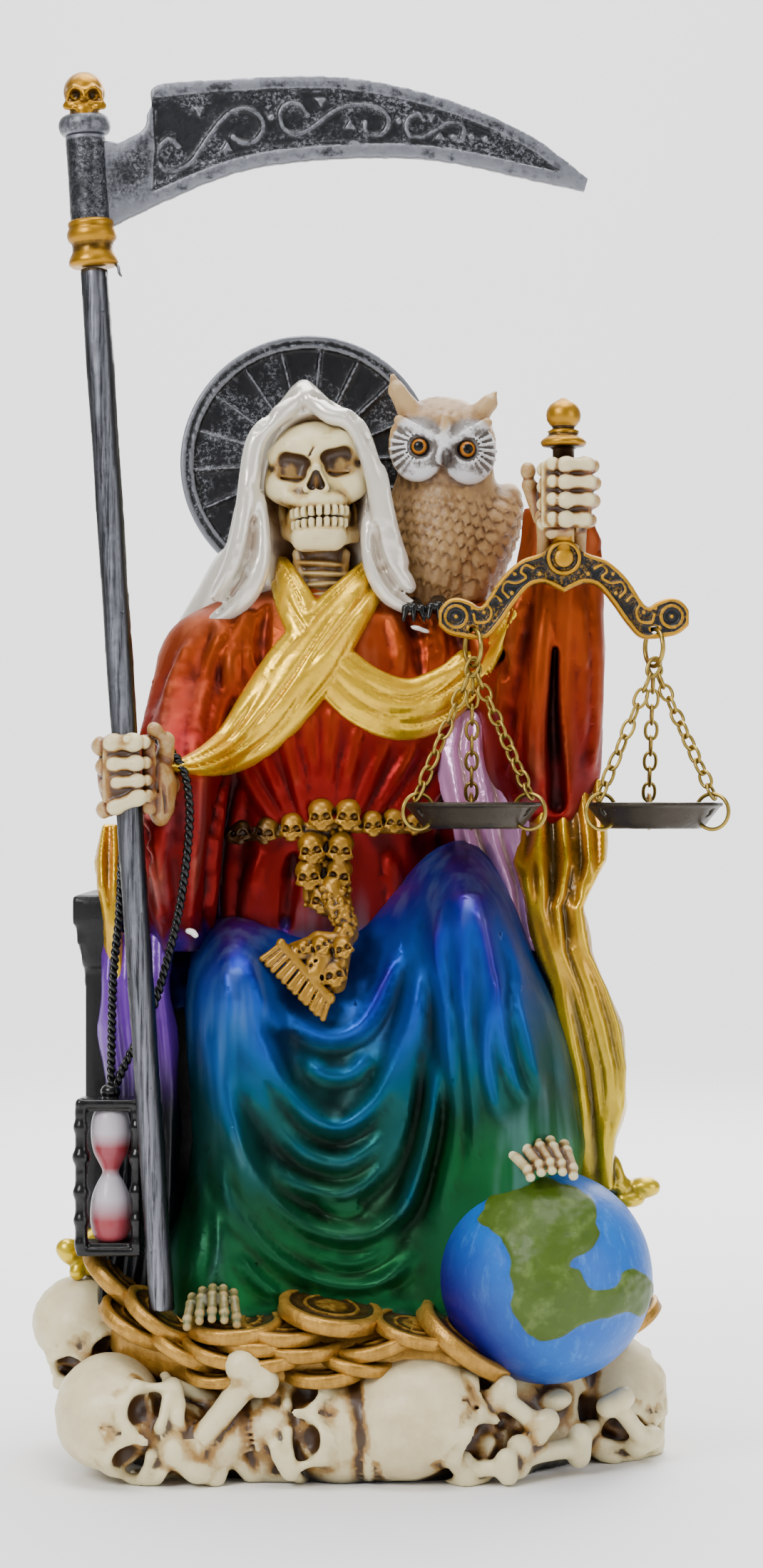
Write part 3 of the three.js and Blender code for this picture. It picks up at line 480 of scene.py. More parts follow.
def store_relief(mesh, cell, reach=2.6):
    """Stores how far each point stands above its smoothed surroundings, in millimetres: fine and wide."""
    count = len(mesh.vertices)
    spots, normals = positions(mesh), read(mesh.vertices, "normal", 3)
    a, b = read(mesh.edges, "vertices", 2, np.int32).T
    degree = np.maximum(np.bincount(a, minlength=count) + np.bincount(b, minlength=count), 1)
    smooth = spots.copy()
    fine_rounds = max(3, int((0.9 / cell) ** 2))
    for i in range(int(np.clip((reach / cell) ** 2, 10, 70))):
        for axis in range(3):
            column = smooth[:, axis]
            smooth[:, axis] = (np.bincount(a, column[b], count) + np.bincount(b, column[a], count)) / degree
        if i == fine_rounds - 1:
            store(mesh, "fine", ((spots - smooth) * normals).sum(1))
    store(mesh, "wide", ((spots - smooth) * normals).sum(1))


def add_piece(name, mesh, material, replaces):
    thing = bpy.data.objects.new(name, mesh)
    bpy.context.scene.collection.objects.link(thing)
    mesh.materials.append(material)
    if replaces:
        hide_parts(*replaces)
    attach(thing, "root")


def clay_piece(name, clay, material, slot="painted_resin", replaces=(), adaptivity=0.0, relief=2.6,
               reach=3.0, **fields):
    """Skins the clay and stores its relief, its hollows and each field(x, y, z) for the paint."""
    mesh = make_mesh(name, *clay.skin(adaptivity))
    store_relief(mesh, clay.cell, relief)
    spots = positions(mesh)
    if reach:
        store(mesh, "hollow", clay.hollows(spots, reach))
    for key, field in fields.items():
        store(mesh, key, field(*spots.T))
    add_piece(name, mesh, material, replaces)


def mesh_piece(name, parts, material, slot="painted_resin", replaces=(), cell=0.5, **values):
    """Joins parts of points, triangles and quads into one piece, with any values for the paint."""
    counts = np.cumsum([0] + [len(points) for points, _, _ in parts])
    joined = [np.vstack([part[0] for part in parts])]
    for kind, width in ((1, 3), (2, 4)):
        joined.append(np.vstack([np.asarray(part[kind], int).reshape(-1, width) + count
                                 for part, count in zip(parts, counts)]))
    mesh = make_mesh(name, *joined)
    if cell:
        store_relief(mesh, cell)
    for key, row in values.items():
        store(mesh, key, row)
    add_piece(name, mesh, material, replaces)


# Paints: layers of colour. Bone and gold have a dark wash in the hollows and worn or brushed ridges;
# the robe, the pearl and the satin have painted shade in the hollows, and the robe and the satin painted
# highlights on the ridges

def srgb(red, green, blue, strength=1.25):
    """A colour given as 0 to 255 values, made linear, and mixed a little stronger than it is given."""
    values = [v / 255 for v in (red, green, blue)]
    values = [v / 12.92 if v <= 0.04045 else ((v + 0.055) / 1.055) ** 2.4 for v in values]
    grey = 0.3 * values[0] + 0.59 * values[1] + 0.11 * values[2]
    return tuple(min(1.0, max(0.002, grey + (v - grey) * strength)) for v in values) + (1.0,)


class Paint:
    """A node material that is built up in layers of colour."""

    def __init__(self, name):
        self.material = bpy.data.materials.new(name)
        self.material.use_nodes = True
        self.nodes = self.material.node_tree.nodes
        self.shader = self.nodes["Principled BSDF"]
        self.place = self.node("ShaderNodeTexCoord").outputs["Object"]

    def put(self, node, inputs):
        for key, value in inputs.items():
            if isinstance(value, bpy.types.NodeSocket):
                self.material.node_tree.links.new(value, node.inputs[key])
            else:
                node.inputs[key].default_value = value

    def node(self, kind, inputs=None, **settings):
        made = self.nodes.new(kind)
        for key, value in settings.items():
            setattr(made, key, value)
        self.put(made, inputs or {})
        return made

    def math(self, operation, a, b, clamp=False):
        return self.node("ShaderNodeMath", {0: a, 1: b}, operation=operation, use_clamp=clamp).outputs[0]

    def times(self, a, b):
        return self.math("MULTIPLY", a, b)

    def plus(self, a, b):
        return self.math("ADD", a, b)

    def around_zero(self, value, span):
        """Spreads values of 0 to 1 over span, half of it below 0."""
        inputs = {0: value, 1: span, 2: -span / 2}
        return self.node("ShaderNodeMath", inputs, operation="MULTIPLY_ADD").outputs[0]

    def scaled(self, value, low, high, to_low=0.0, to_high=1.0, kind="SMOOTHSTEP"):
        inputs = {"Value": value, "From Min": low, "From Max": high, "To Min": to_low, "To Max": to_high}
        return self.node("ShaderNodeMapRange", inputs, interpolation_type=kind).outputs["Result"]

    def mix(self, factor, a, b, mode="MIX"):
        return self.node("ShaderNodeMix", {0: factor, 6: a, 7: b}, data_type="RGBA",
                         blend_type=mode).outputs[2]

    def over(self, base, colour, mask, share):
        return self.mix(self.times(mask, share), base, colour)

    def shaded(self, base, colour, mask):
        return self.mix(mask, base, self.mix(1.0, base, colour, "MULTIPLY"))

    def noise(self, size, detail=4.0, rough=0.55, stretch=None):
        """Noise with features of about size millimetres, drawn out in z where it is stretched."""
        place = self.place
        if stretch:
            place = self.node("ShaderNodeMapping",
                              {"Scale": (1, 1, stretch), "Vector": place}).outputs["Vector"]
        inputs = {"Vector": place, "Scale": 1 / (size * MM), "Detail": detail, "Roughness": rough}
        return self.node("ShaderNodeTexNoise", inputs).outputs["Fac"]

    def patches(self, size, low, high):
        return self.scaled(self.noise(size), 0.3, 0.7, low, high)

    def stored(self, name):
        return self.node("ShaderNodeAttribute", attribute_name=name).outputs["Fac"]

    def hollow(self, key="fine", deep=-0.3, level=-0.02, speckle=0.12, size=1.6):
        """1 in the hollows of the surface, with a broken edge."""
        broken = self.around_zero(self.noise(size), speckle)
        return self.scaled(self.plus(self.stored(key), broken), level, deep)

    def crest(self, key="fine", level=0.05, high=0.25, speckle=0.2, size=1.2):
        """1 on the ridges of the surface, with a broken edge."""
        broken = self.around_zero(self.noise(size, rough=0.7), speckle)
        return self.scaled(self.plus(self.stored(key), broken), level, high)

    def axis(self, index):
        return self.node("ShaderNodeSeparateXYZ", {0: self.place}).outputs[index]

    def ramp(self, value, stops):
        made = self.node("ShaderNodeValToRGB", {0: value})
        marks = made.color_ramp.elements
        while len(marks) < len(stops):
            marks.new(0.5)
        for mark, (at, colour) in zip(marks, stops):
            mark.position = at
            mark.color = srgb(*colour)
        return made.outputs[0]

    def bump(self, height, depth):
        """Fine relief of depth millimetres."""
        made = self.node("ShaderNodeBump", {"Strength": 1.0, "Distance": depth * MM, "Height": height})
        self.put(self.shader, {"Normal": made.outputs["Normal"]})

    def finish(self, colour, rough, metal=0.0, coat=0.0, coat_rough=0.08, specular=0.5):
        self.put(self.shader,
                 {"Base Color": colour, "Roughness": rough, "Metallic": metal, "Coat Weight": coat,
                               "Coat Roughness": coat_rough, "Specular IOR Level": specular})
        return self.material


def bone_paint(name, shift, deep=srgb(104, 70, 34), tan=srgb(136, 100, 54), ivory=srgb(208, 195, 152),
               dull=srgb(192, 173, 122)):
    """Ivory with ochre and umber wash gathered in the hollows."""
    p = Paint(name)
    base = p.mix(p.noise(7, 3), ivory, dull)
    base = p.mix(p.scaled(p.noise(9, 5, 0.6), 0.46, 0.74, 0, 0.5), base, srgb(162, 126, 72))
    hollow = p.plus(p.stored("hollow"), p.around_zero(p.noise(4.5, 6, 0.62), 0.34))
    base = p.mix(p.scaled(hollow, shift - 0.12, shift + 0.08, 0, 0.85), base, srgb(146, 106, 54))
    base = p.mix(p.scaled(hollow, shift - 0.01, shift + 0.19, 0, 0.92), base, srgb(78, 48, 22))
    # Patchy brown from the stored field: painted shade where hands, feet and face sit back or lie under
    # something, and brown in the face's sockets and nose.
    patchy = p.times(p.stored("stain"), p.scaled(p.noise(2.6, 5, 0.65), 0.3, 0.62, 0.66, 1.0))
    base = p.mix(patchy, base, p.mix(p.noise(3.4, 4), deep, tan))
    base = p.over(base, srgb(48, 29, 13), p.hollow("fine", -0.17, 0.01, 0.1), 0.92)
    proud = p.mix(patchy, srgb(226, 217, 184), srgb(166, 130, 80))
    base = p.over(base, proud, p.crest("fine", 0.06, 0.24, 0.12), 0.6)
    base = p.mix(p.stored("under"), base, srgb(16, 13, 11))
    p.bump(p.noise(1.4, 6, 0.6), 0.09)
    return p.finish(base, p.patches(3, 0.36, 0.52), coat=0.12, coat_rough=0.3)


def gold_paint(name, bright, middle, dark, metal=0.75, rough=0.34, wash=0.85, coat=0.15, grain=0.05):
    """Gold with a dark wash, and brushed where its grain is coarse."""
    p = Paint(name)
    brushed = p.scaled(p.noise(1.8, 5, 0.65, stretch=0.3), 0.36, 0.62) if grain > 0.1 else p.noise(5, 4)
    base = p.over(p.mix(brushed, bright, middle), dark, p.hollow("wide", -0.9, 0.05, 0.3, 3), wash * 0.75)
    base = p.over(base, dark, p.scaled(p.stored("hollow"), 0.0, 0.22), wash)
    base = p.over(base, dark, p.hollow("fine", -0.25, 0.0, 0.1), wash)
    base = p.over(base, bright, p.crest("fine", 0.03, 0.25), 0.6)
    # The stored field darkens the belt's left end as painted shade.
    base = p.mix(p.stored("stain"), base, dark)
    p.bump(p.noise(0.9, 4), grain)
    return p.finish(base, p.patches(2.5, rough - 0.05, rough + 0.1), metal, coat, 0.2)


def robe_paint():
    """Copper, red, violet, blue, teal and green down the robe, in pearl paint under gloss, with painted shade
    and highlights.
    """
    p = Paint("rainbow robe")
    height = p.times(p.axis(2), 1 / (250 * MM))
    drift = p.around_zero(p.noise(15, 3, stretch=0.22), 0.075)
    # The stored hollow moves the colour down the ramp in the hollows and up it on the ridges: painted shade
    # and painted highlight.
    level = p.plus(p.plus(p.plus(height, drift), p.stored("tint")), p.times(p.stored("hollow"), -0.26))
    base = p.ramp(level, [
        (0.10, (38, 104, 48)), (0.15, (16, 76, 42)), (0.25, (6, 56, 40)), (0.32, (5, 68, 70)),
        (0.38, (6, 70, 116)), (0.43, (10, 68, 140)), (0.475, (28, 36, 122)), (0.515, (62, 20, 104)),
        (0.555, (84, 4, 24)), (0.62, (104, 4, 16)), (0.665, (110, 18, 14)), (0.71, (122, 46, 18)),
        (0.80, (132, 64, 34))])
    # Painted highlight: a pale colour, warm on the copper top and cool lower down, laid in broken streaks on
    # the robe's ridges.
    painted_highlight = p.mix(p.scaled(level, 0.6, 0.68), srgb(170, 206, 226), srgb(244, 176, 138))
    streaks = p.scaled(p.noise(4.5, 2, 0.5, stretch=0.12), 0.4, 0.64)
    crest = p.times(p.crest("wide", 0.7, 2.2, 0.3, 8), streaks)
    base = p.over(base, p.mix(0.5, base, painted_highlight), crest, 0.2)
    # Painted shade: the robe's hollows and folds darkened by a greyish violet, in three layers.
    base = p.shaded(base, srgb(92, 78, 104), p.times(p.hollow("wide", -1.5, 0.0, 0.35, 5), 0.5))
    base = p.shaded(base, srgb(84, 70, 96), p.scaled(p.stored("hollow"), 0.04, 0.26, 0.0, 0.75))
    base = p.shaded(base, srgb(70, 56, 80), p.times(p.hollow("fine", -0.3, -0.02, 0.05, 3), 0.5))
    p.bump(p.noise(2.4, 5, 0.6), 0.04)
    return p.finish(base, p.patches(6, 0.36, 0.48), 0.66, 0.06, 0.4, 0.16)


def pearl_paint(name, bright, middle):
    p = Paint(name)
    # Painted shade: brown in the hollows of the pearl cloth.
    base = p.over(p.mix(p.noise(12, 3), bright, middle), srgb(150, 126, 98),
                  p.hollow("wide", -1.2, 0.0, 0.4, 4), 0.6)
    base = p.over(base, srgb(104, 78, 54), p.hollow("fine", -0.3, -0.02, 0.1), 0.6)
    base = p.mix(p.scaled(p.stored("hollow"), 0.0, 0.25, 0.0, 0.55), base, srgb(136, 114, 92))
    # The stored tint is painted shade: brown inside the hood, round the face.
    base = p.mix(p.stored("tint"), base, srgb(92, 64, 40))
    p.bump(p.noise(3, 4), 0.05)
    return p.finish(base, 0.26, 0.35, 0.6, 0.1)


def brushed_black(name, metal_colour, level, speckled):
    """Black paint with a metal colour rubbed over what stands proud."""
    p = Paint(name)
    black = p.mix(p.noise(2.2, 5), srgb(20, 20, 22), srgb(36, 37, 40))
    rubbed = p.crest("fine", level, level + 0.18, 0.28, 0.9)
    speck = p.scaled(p.noise(0.7, 6, 0.75), 0.48, 0.62)
    loose = p.times(p.times(speck, p.scaled(p.noise(8, 4), 0.43, 0.58)), speckled)
    base = p.mix(p.math("MAXIMUM", rubbed, loose, clamp=True), black, metal_colour)
    p.bump(p.noise(0.8, 6, 0.7), 0.12)
    return p.finish(base, p.patches(1.5, 0.3, 0.5), 0.75, 0.2, 0.25)


def shaft_paint():
    """Black stick, with silver streaks down its front: brushed silver, placed as a painted highlight."""
    p = Paint("blackened stick")
    black = p.mix(p.noise(2.2, 5), srgb(12, 12, 14), srgb(26, 27, 30))
    streaks = p.scaled(p.noise(0.9, 7, 0.7, stretch=0.04), 0.34, 0.6)
    nicks = p.scaled(p.noise(1.6, 5, 0.7), 0.22, 0.36)
    # Silver in broken streaks, only where the stored streak is high: a painted highlight on brushed silver.
    base = p.mix(p.times(p.times(streaks, nicks), p.stored("streak")), black, srgb(138, 140, 148))
    p.bump(p.noise(0.9, 6, 0.7, stretch=0.15), 0.05)
    return p.finish(base, p.patches(1.5, 0.28, 0.46), 0.7, 0.15, 0.25)


def violet_paint():
    """Violet satin that sinks to black near the coins."""
    p = Paint("violet cloth")
    base = p.mix(p.noise(6, 3, stretch=0.3), srgb(104, 56, 150), srgb(78, 40, 122))
    base = p.over(base, srgb(34, 14, 56), p.hollow("wide", -0.9, 0.0, 0.4, 3), 0.7)
    sunk = p.mix(p.noise(5), srgb(8, 14, 14), srgb(10, 8, 20))
    base = p.mix(p.scaled(p.axis(2), 76 * MM, 94 * MM), sunk, base)
    p.bump(p.noise(1.2, 5), 0.05)
    return p.finish(base, 0.34, 0.2, 0.3, 0.2)


def cloth_paint():
    """Satin gold, amber at the top and olive lower down, with painted shade and painted highlights."""
    p = Paint("gold satin")
    bright, middle = (p.mix(p.scaled(p.axis(2), 70 * MM, 150 * MM), low, high) for low, high in (
        (srgb(196, 170, 44), srgb(206, 146, 44)), (srgb(134, 118, 20), srgb(140, 90, 20))))
    base = p.mix(p.noise(6, 3, stretch=0.3), bright, middle)
    # Painted shade in the folds, and a painted highlight on their crests.
    base = p.over(base, srgb(74, 62, 8), p.hollow("wide", -0.9, 0.1, 0.1, 3), 0.7)
    base = p.mix(p.scaled(p.stored("hollow"), -0.05, 0.16, 0, 0.8), base, srgb(48, 38, 6))
    base = p.over(base, srgb(232, 204, 96), p.crest("wide", 0.1, 0.9, 0.2, 3), 0.5)
    p.bump(p.noise(2.0, 4, stretch=0.3), 0.05)
    return p.finish(base, p.patches(4, 0.24, 0.36), 0.6, 0.35, 0.12)


def globe_paint():
    """Blue sea with a violet limb below as painted shade, and green land with pale patches."""
    p = Paint("globe sea and land")
    sea = p.mix(p.noise(9, 4), srgb(20, 76, 156), srgb(44, 104, 176))
    sea = p.mix(p.scaled(p.noise(2.2, 5, 0.7, stretch=0.25), 0.5, 0.72, 0, 0.4), sea, srgb(96, 146, 206))
    # Painted shade: the sea turns deep violet towards the lower left limb.
    low = p.scaled(p.plus(p.axis(0), p.times(p.axis(2), 0.55)), 41 * MM, 60 * MM)
    sea = p.mix(low, srgb(30, 16, 96), sea)
    land = p.mix(p.noise(5, 5), srgb(54, 72, 28), srgb(74, 92, 42))
    land = p.mix(p.scaled(p.noise(4, 4), 0.5, 0.75, 0, 0.4), land, srgb(118, 136, 88))
    base = p.mix(p.scaled(p.stored("land"), 0.35, 0.65), sea, land)
    base = p.over(base, srgb(34, 44, 60), p.hollow("fine", -0.25, 0.0, 0.15), 0.4)
    p.bump(p.noise(2, 5, 0.6), 0.12)
    return p.finish(base, 0.42, coat=0.06, coat_rough=0.3, specular=0.3)


def owl_paint():
    """Brown feathers with pale tips, grey streaks round the eyes and a dark beak."""
    p = Paint("owl plumage")
    base = p.mix(p.noise(5, 4), srgb(166, 134, 92, 1.1), srgb(138, 106, 68, 1.1))
    base = p.mix(p.scaled(p.noise(7, 5, 0.7), 0.48, 0.66, 0, 0.55), base, srgb(98, 68, 42))
    base = p.over(base, srgb(192, 164, 120, 1.1), p.crest("fine", 0.04, 0.3, 0.1), 0.45)
    base = p.over(base, srgb(70, 44, 24), p.hollow("fine", -0.2, 0.0, 0.1), 0.85)
    streak = p.mix(p.crest("fine", -0.04, 0.2, 0.5, 0.9), srgb(92, 86, 82), srgb(206, 206, 208))
    base = p.mix(p.stored("beak"), p.mix(p.stored("face"), base, streak), srgb(50, 42, 38))
    p.bump(p.noise(1.0, 5), 0.08)
    return p.finish(base, 0.5, coat=0.1, coat_rough=0.3)


def eye_paint():
    p = Paint("owl eye")
    base = p.ramp(p.stored("iris"), [(0.0, (2, 2, 2)), (0.5, (3, 2, 2)), (0.54, (160, 108, 2)),
                                     (0.76, (136, 84, 0)), (0.82, (22, 12, 4)), (1.0, (14, 9, 5))])
    return p.finish(base, 0.3, coat=0.12, coat_rough=0.05, specular=0.2)


def hourglass_paint():
    """Red sand in both bulbs, below white glass."""
    p = Paint("hourglass sand")
    white, red = (186, 180, 186), (132, 2, 8)
    base = p.ramp(p.scaled(p.axis(2), 48 * MM, 82 * MM, kind="LINEAR"), [
        (0.0, red), (0.2, red), (0.34, white), (0.47, white), (0.53, red), (0.66, red), (0.76, white),
        (1.0, white)])
    base = p.over(base, srgb(178, 172, 190), p.noise(4, 3), 0.2)
    return p.finish(base, 0.4, coat=0.25, coat_rough=0.1, specular=0.3)


def simple_paint(name, bright, dark, rough, metal, coat, wash, grain, specular=0.5):
    p = Paint(name)
    base = p.mix(p.noise(4, 5), bright, p.mix(0.35, bright, dark))
    base = p.over(base, dark, p.hollow("wide", -0.9, 0.0, 0.4, 3), wash)
    base = p.over(base, dark, p.hollow("fine", -0.25, -0.01, 0.12), wash)
    p.bump(p.noise(1.2, 5), grain)
    return p.finish(base, p.patches(2.5, rough - 0.06, rough + 0.1), metal, coat, 0.2, specular)


# Skulls: the unit is half the width of the cranium, the face looks along -Y, and z = 0 is the line
# through the sockets

def skull(clay, centre, size, turn, jaw=True, teeth=True, crack=False):
    centre = np.asarray(centre, float)

    def spot(point):
        return centre + size * (turn @ np.array(point, float))

    def egg(at, half, blend=0.12, cut=False, tilt=0):
        spin = turn @ turned(roll=tilt) if tilt else turn
        clay.egg(spot(at), np.array(half) * size, blend * size, cut, spin)

    def bar(a, b, ra, rb=None, blend=0.1, cut=False):
        clay.bar(spot(a), spot(b), ra * size, (ra if rb is None else rb) * size, blend * size, cut)

    egg((0, 0.25, 0.42), (0.98, 1.12, 0.92))
    egg((0, -0.35, 0.38), (0.8, 0.55, 0.62), 0.2)
    egg((0, -0.60, -0.68), (0.46, 0.36, 0.42), 0.3)
    for s in (-1, 1):
        brow_end, brow, cheek = (s * 0.80, -0.52, 0.14), (s * 0.45, -0.82, 0.30), (s * 0.84, -0.42, -0.42)
        bar(brow_end, brow, 0.12, blend=0.16)
        bar(brow, (s * 0.12, -0.92, 0.16), 0.12, blend=0.16)
        bar(cheek, (s * 0.5, -0.78, -0.62), 0.17, 0.15, blend=0.16)
        bar(cheek, (s * 0.88, 0.1, -0.3), 0.12, 0.08, blend=0.12)
        bar(brow_end, (s * 0.84, -0.5, -0.42), 0.1, blend=0.12)
        bar((s * 0.72, -0.66, -0.36), (s * 0.25, -0.86, -0.34), 0.09, blend=0.12)
        egg((s * 1.05, -0.42, 0.1), (0.2, 0.36, 0.32), 0.16, True)
        egg((s * 0.47, -0.92, -0.02), (0.32, 0.42, 0.28), 0.05, True, tilt=s * 12)
        egg((s * 0.56, -0.80, -0.90), (0.15, 0.2, 0.2), 0.12, True)
    if size > 6:
        egg((0, -0.28, -0.8), (0.62, 0.46, 0.6), 0.12)
    bar((0, -0.93, 0.12), (0, -1.04, -0.16), 0.10, 0.08, blend=0.1)
    for s in (-1, 1):
        bar((s * 0.09, -1.0, -0.42), (s * 0.03, -1.02, -0.2), 0.10, 0.05, blend=0.03, cut=True)
    if crack:
        marks = [(0.03, -0.95, 0.22), (-0.03, -0.98, 0.36), (0.06, -0.93, 0.46), (-0.01, -0.9, 0.6)]
        for a, b in zip(marks, marks[1:]):
            bar(a, b, 0.035, 0.03, blend=0.03, cut=True)
    if jaw:
        egg((0, -0.72, -1.50), (0.4, 0.22, 0.2), 0.15)
        for s in (-1, 1):
            bar((s * 0.36, -0.74, -1.5), (s * 0.66, -0.1, -1.24), 0.18, 0.17, blend=0.15)
            bar((s * 0.68, -0.05, -1.2), (s * 0.80, 0.05, -0.5), 0.15, 0.1, blend=0.12)
    # Rows of teeth: level, radius of the arch, half width of a tooth, and the way its root points
    rows = [(-0.93, 0.46, 0.075, -1)] + ([(-1.13, 0.44, 0.068, 1)] if jaw else [])
    for z, radius, half, root in rows if teeth else ():
        for i in range(10):
            t = math.radians(-64 + 128 * i / 9)
            x, y = math.sin(t) * radius, -0.42 - math.cos(t) * radius
            egg((x, y, z), (half * 0.92, half * 0.9, 0.11 if abs(i - 4.5) < 3 else 0.09), 0.015)
            bar((x, y + 0.02, z - root * 0.1), (x * 0.93, y + 0.08, z - root * 0.3), half * 0.8, half * 0.5,
                0.06)
    if jaw:
        for i in range(8):
            t = [math.radians(-62 + 124 * (i + j) / 8) for j in (0, 1)]
            a, b = [(math.sin(v) * 0.40, -0.42 - math.cos(v) * 0.40, -1.32) for v in t]
            bar(a, b, 0.14, blend=0.1)


def facing(forward, crown):
    """The turn that points a skull's face along forward and the top of its head along crown."""
    forward = np.array(forward, float) / np.linalg.norm(forward)
    crown = np.array(crown, float) - forward * float(np.dot(crown, forward))
    crown /= np.linalg.norm(crown)
    return np.stack([np.cross(crown, forward), -forward, crown], 1)


# Base: skulls and bones round a mound

# Each front skull's middle, size, and where its face and its crown point
FRONT_SKULLS = [
    ((-46.8, -35.5, 12.4), 12.7, (0.12, -0.98, -0.1), (-0.94, -0.16, 0.28)),
    ((-58.6, -15, 26.4), 10.2, (0.1, -0.92, -0.25), (-0.42, -0.3, 0.85)),
    ((-7.6, -35.6, 10.2), 11.7, (-0.2, -0.85, 0.5), (0.95, -0.12, 0.12)),
    ((17.2, -34.0, 10.8), 13.9, (0.8, -0.45, 0.25), (-0.55, -0.45, 0.45)),
]
# Each rear skull's middle, size, and yaw, pitch and roll
REAR_SKULLS = [
    ((57.5, -6, 13.4), 12.6, (40, 12, 8)), ((50, 21, 13.4), 12.2, (120, 6, -6)),
    ((24, 33, 13.4), 12.0, (165, 4, 10)),
    ((-7, 36, 13.2), 12.0, (190, 8, -8)), ((-38, 27, 13.6), 12.2, (222, 6, 6)),
]
# Each long bone's two ends and its radius
LONG_BONES = [
    ((-34.8, -43.4, 5.8), (-21, -43.6, 24), 3.1), ((31.5, -37.5, 18.5), (40.5, -38, 11.5), 2.3),
    ((35.5, -39.5, 5.6), (49, -31, 6.4), 2.4), ((64, -19, 5), (57, -27, 15), 2.2),
    ((38, 30, 4.6), (47, 26, 19), 2.4), ((5, 42, 4.6), (14, 41, 20), 2.4),
    ((-23, 37, 4.6), (-20, 39, 20), 2.4),
    ((-55, 20, 5), (-60, 15, 14), 2.2), ((62, 8, 5), (63, 4, 20), 2.2), ((24, -42, 3.4), (33, -43, 4.2), 2.0),
]


def long_bone(clay, a, b, r):
    a, b = np.array(a, float), np.array(b, float)
    along = (b - a) / np.linalg.norm(b - a)
    side = np.cross(along, (0, 1, 0.2))
    side /= np.linalg.norm(side)
    clay.bar(a, (a + b) / 2, r * 1.05, r * 0.82, 0.6)
    clay.bar((a + b) / 2, b, r * 0.82, r * 1.05, 0.6)
    for end in (a, b):
        for s in (-1, 1):
            clay.egg(end + side * s * r * 0.95, (r * 1.12, r * 1.2, r * 1.12), 1.2)


def build_base(material):
    clay = Clay((-74, -51, 0), (72, 49, 46), 0.58)
    clay.egg((0, 0, 9), (59, 42, 24), 2)
    clay.egg((0, 0, 16), (57, 39, 22), 3)
    for middle, size, forward, crown in FRONT_SKULLS:
        skull(clay, middle, size, facing(forward, crown), crack=True)
    for middle, size, turn in REAR_SKULLS:
        spin = turned(*turn)
        skull(clay, np.array(middle) - spin @ np.array([0, 0.1, 0.3]) * size, size, spin)
    for ends in LONG_BONES:
        long_bone(clay, *ends)
    clay.egg((-62.6, -11.5, 20.5), (4.4, 4.6, 4.6), 1.2)
    clay.egg((3.8, -36.0, 8.8), (3.4, 10.4, 9.2), 0.5)
    pebbles = np.random.default_rng(5)
    for _ in range(60):
        t = pebbles.uniform(0, 2 * math.pi)
        where = (58 * math.cos(t), 41 * math.sin(t), pebbles.uniform(4, 27))
        stone = ball(where, pebbles.uniform(2, 4.2, 3), turned(*pebbles.uniform(0, 180, 3)))
        if where[1] > -30 or where[2] < 17:
            clay.put(stone, 1.4)
    clay.keep((-72, -50.2, 0.0), (69.6, 48, 60))

    def under(x, y, z):
        inside = clamp01((1.0 - np.hypot(x / 60, y / 43)) * 14)
        return np.maximum(inside * clamp01((3.4 - z) / 1.2), clamp01(0.35 - z))

    clay_piece("base_bones", clay, material, replaces=["figure"], adaptivity=0.14, reach=5.0, under=under)


# Front edge of each coin's rim in x, y and z, its radius, and how far it tips to the side and to the front
FRONT_COINS = [
    ((-4.9, -44.2, 33.4), 11.4, 9, 11), ((-41.6, -40.6, 33.0), 9.4, 34, 10),
    ((-24.8, -45.0, 31.4), 10.4, -2, 8),
    ((-27.6, -45.2, 26.4), 9.4, 13, 8), ((-11.0, -45.0, 27.4), 9.6, 1, 10),
    ((5.2, -44.2, 28.0), 9.6, -14, 10),
    ((-5.7, -45.6, 22.2), 8.8, -3, 8), ((-28.0, -45.6, 22.0), 7.4, -2, 10),
    ((23.6, -43.2, 27.6), 12.4, 36, 8),
    ((-50.6, -31.5, 39.4), 11.0, 42, 6), ((-46.4, -39.6, 31.2), 9.6, 28, 10),
    ((60.6, -27.0, 30.4), 8.4, -30, 10),
    ((-15.4, -44.4, 30.8), 9.6, 5, 10), ((-17.6, -45.4, 25.4), 9.0, -6, 9), ((1.0, -44.6, 24.6), 8.6, 10, 9),
    ((-35.6, -43.6, 27.0), 8.8, 26, 8), ((13.0, -43.4, 30.4), 9.0, 14, 10), ((-20.8, -44.8, 28.8), 9.6, 4, 9),
]
# Middle of each coin at the sides, and how far it tips to the front and to the side
SIDE_COINS = [((52, 9, 31), -14, -10), ((56, -8, 32), 10, -20), ((-52, 4, 35), 4, -22),
              ((-50, 16, 34.4), -12, -12), ((54, 0, 32.5), 0, -22)]


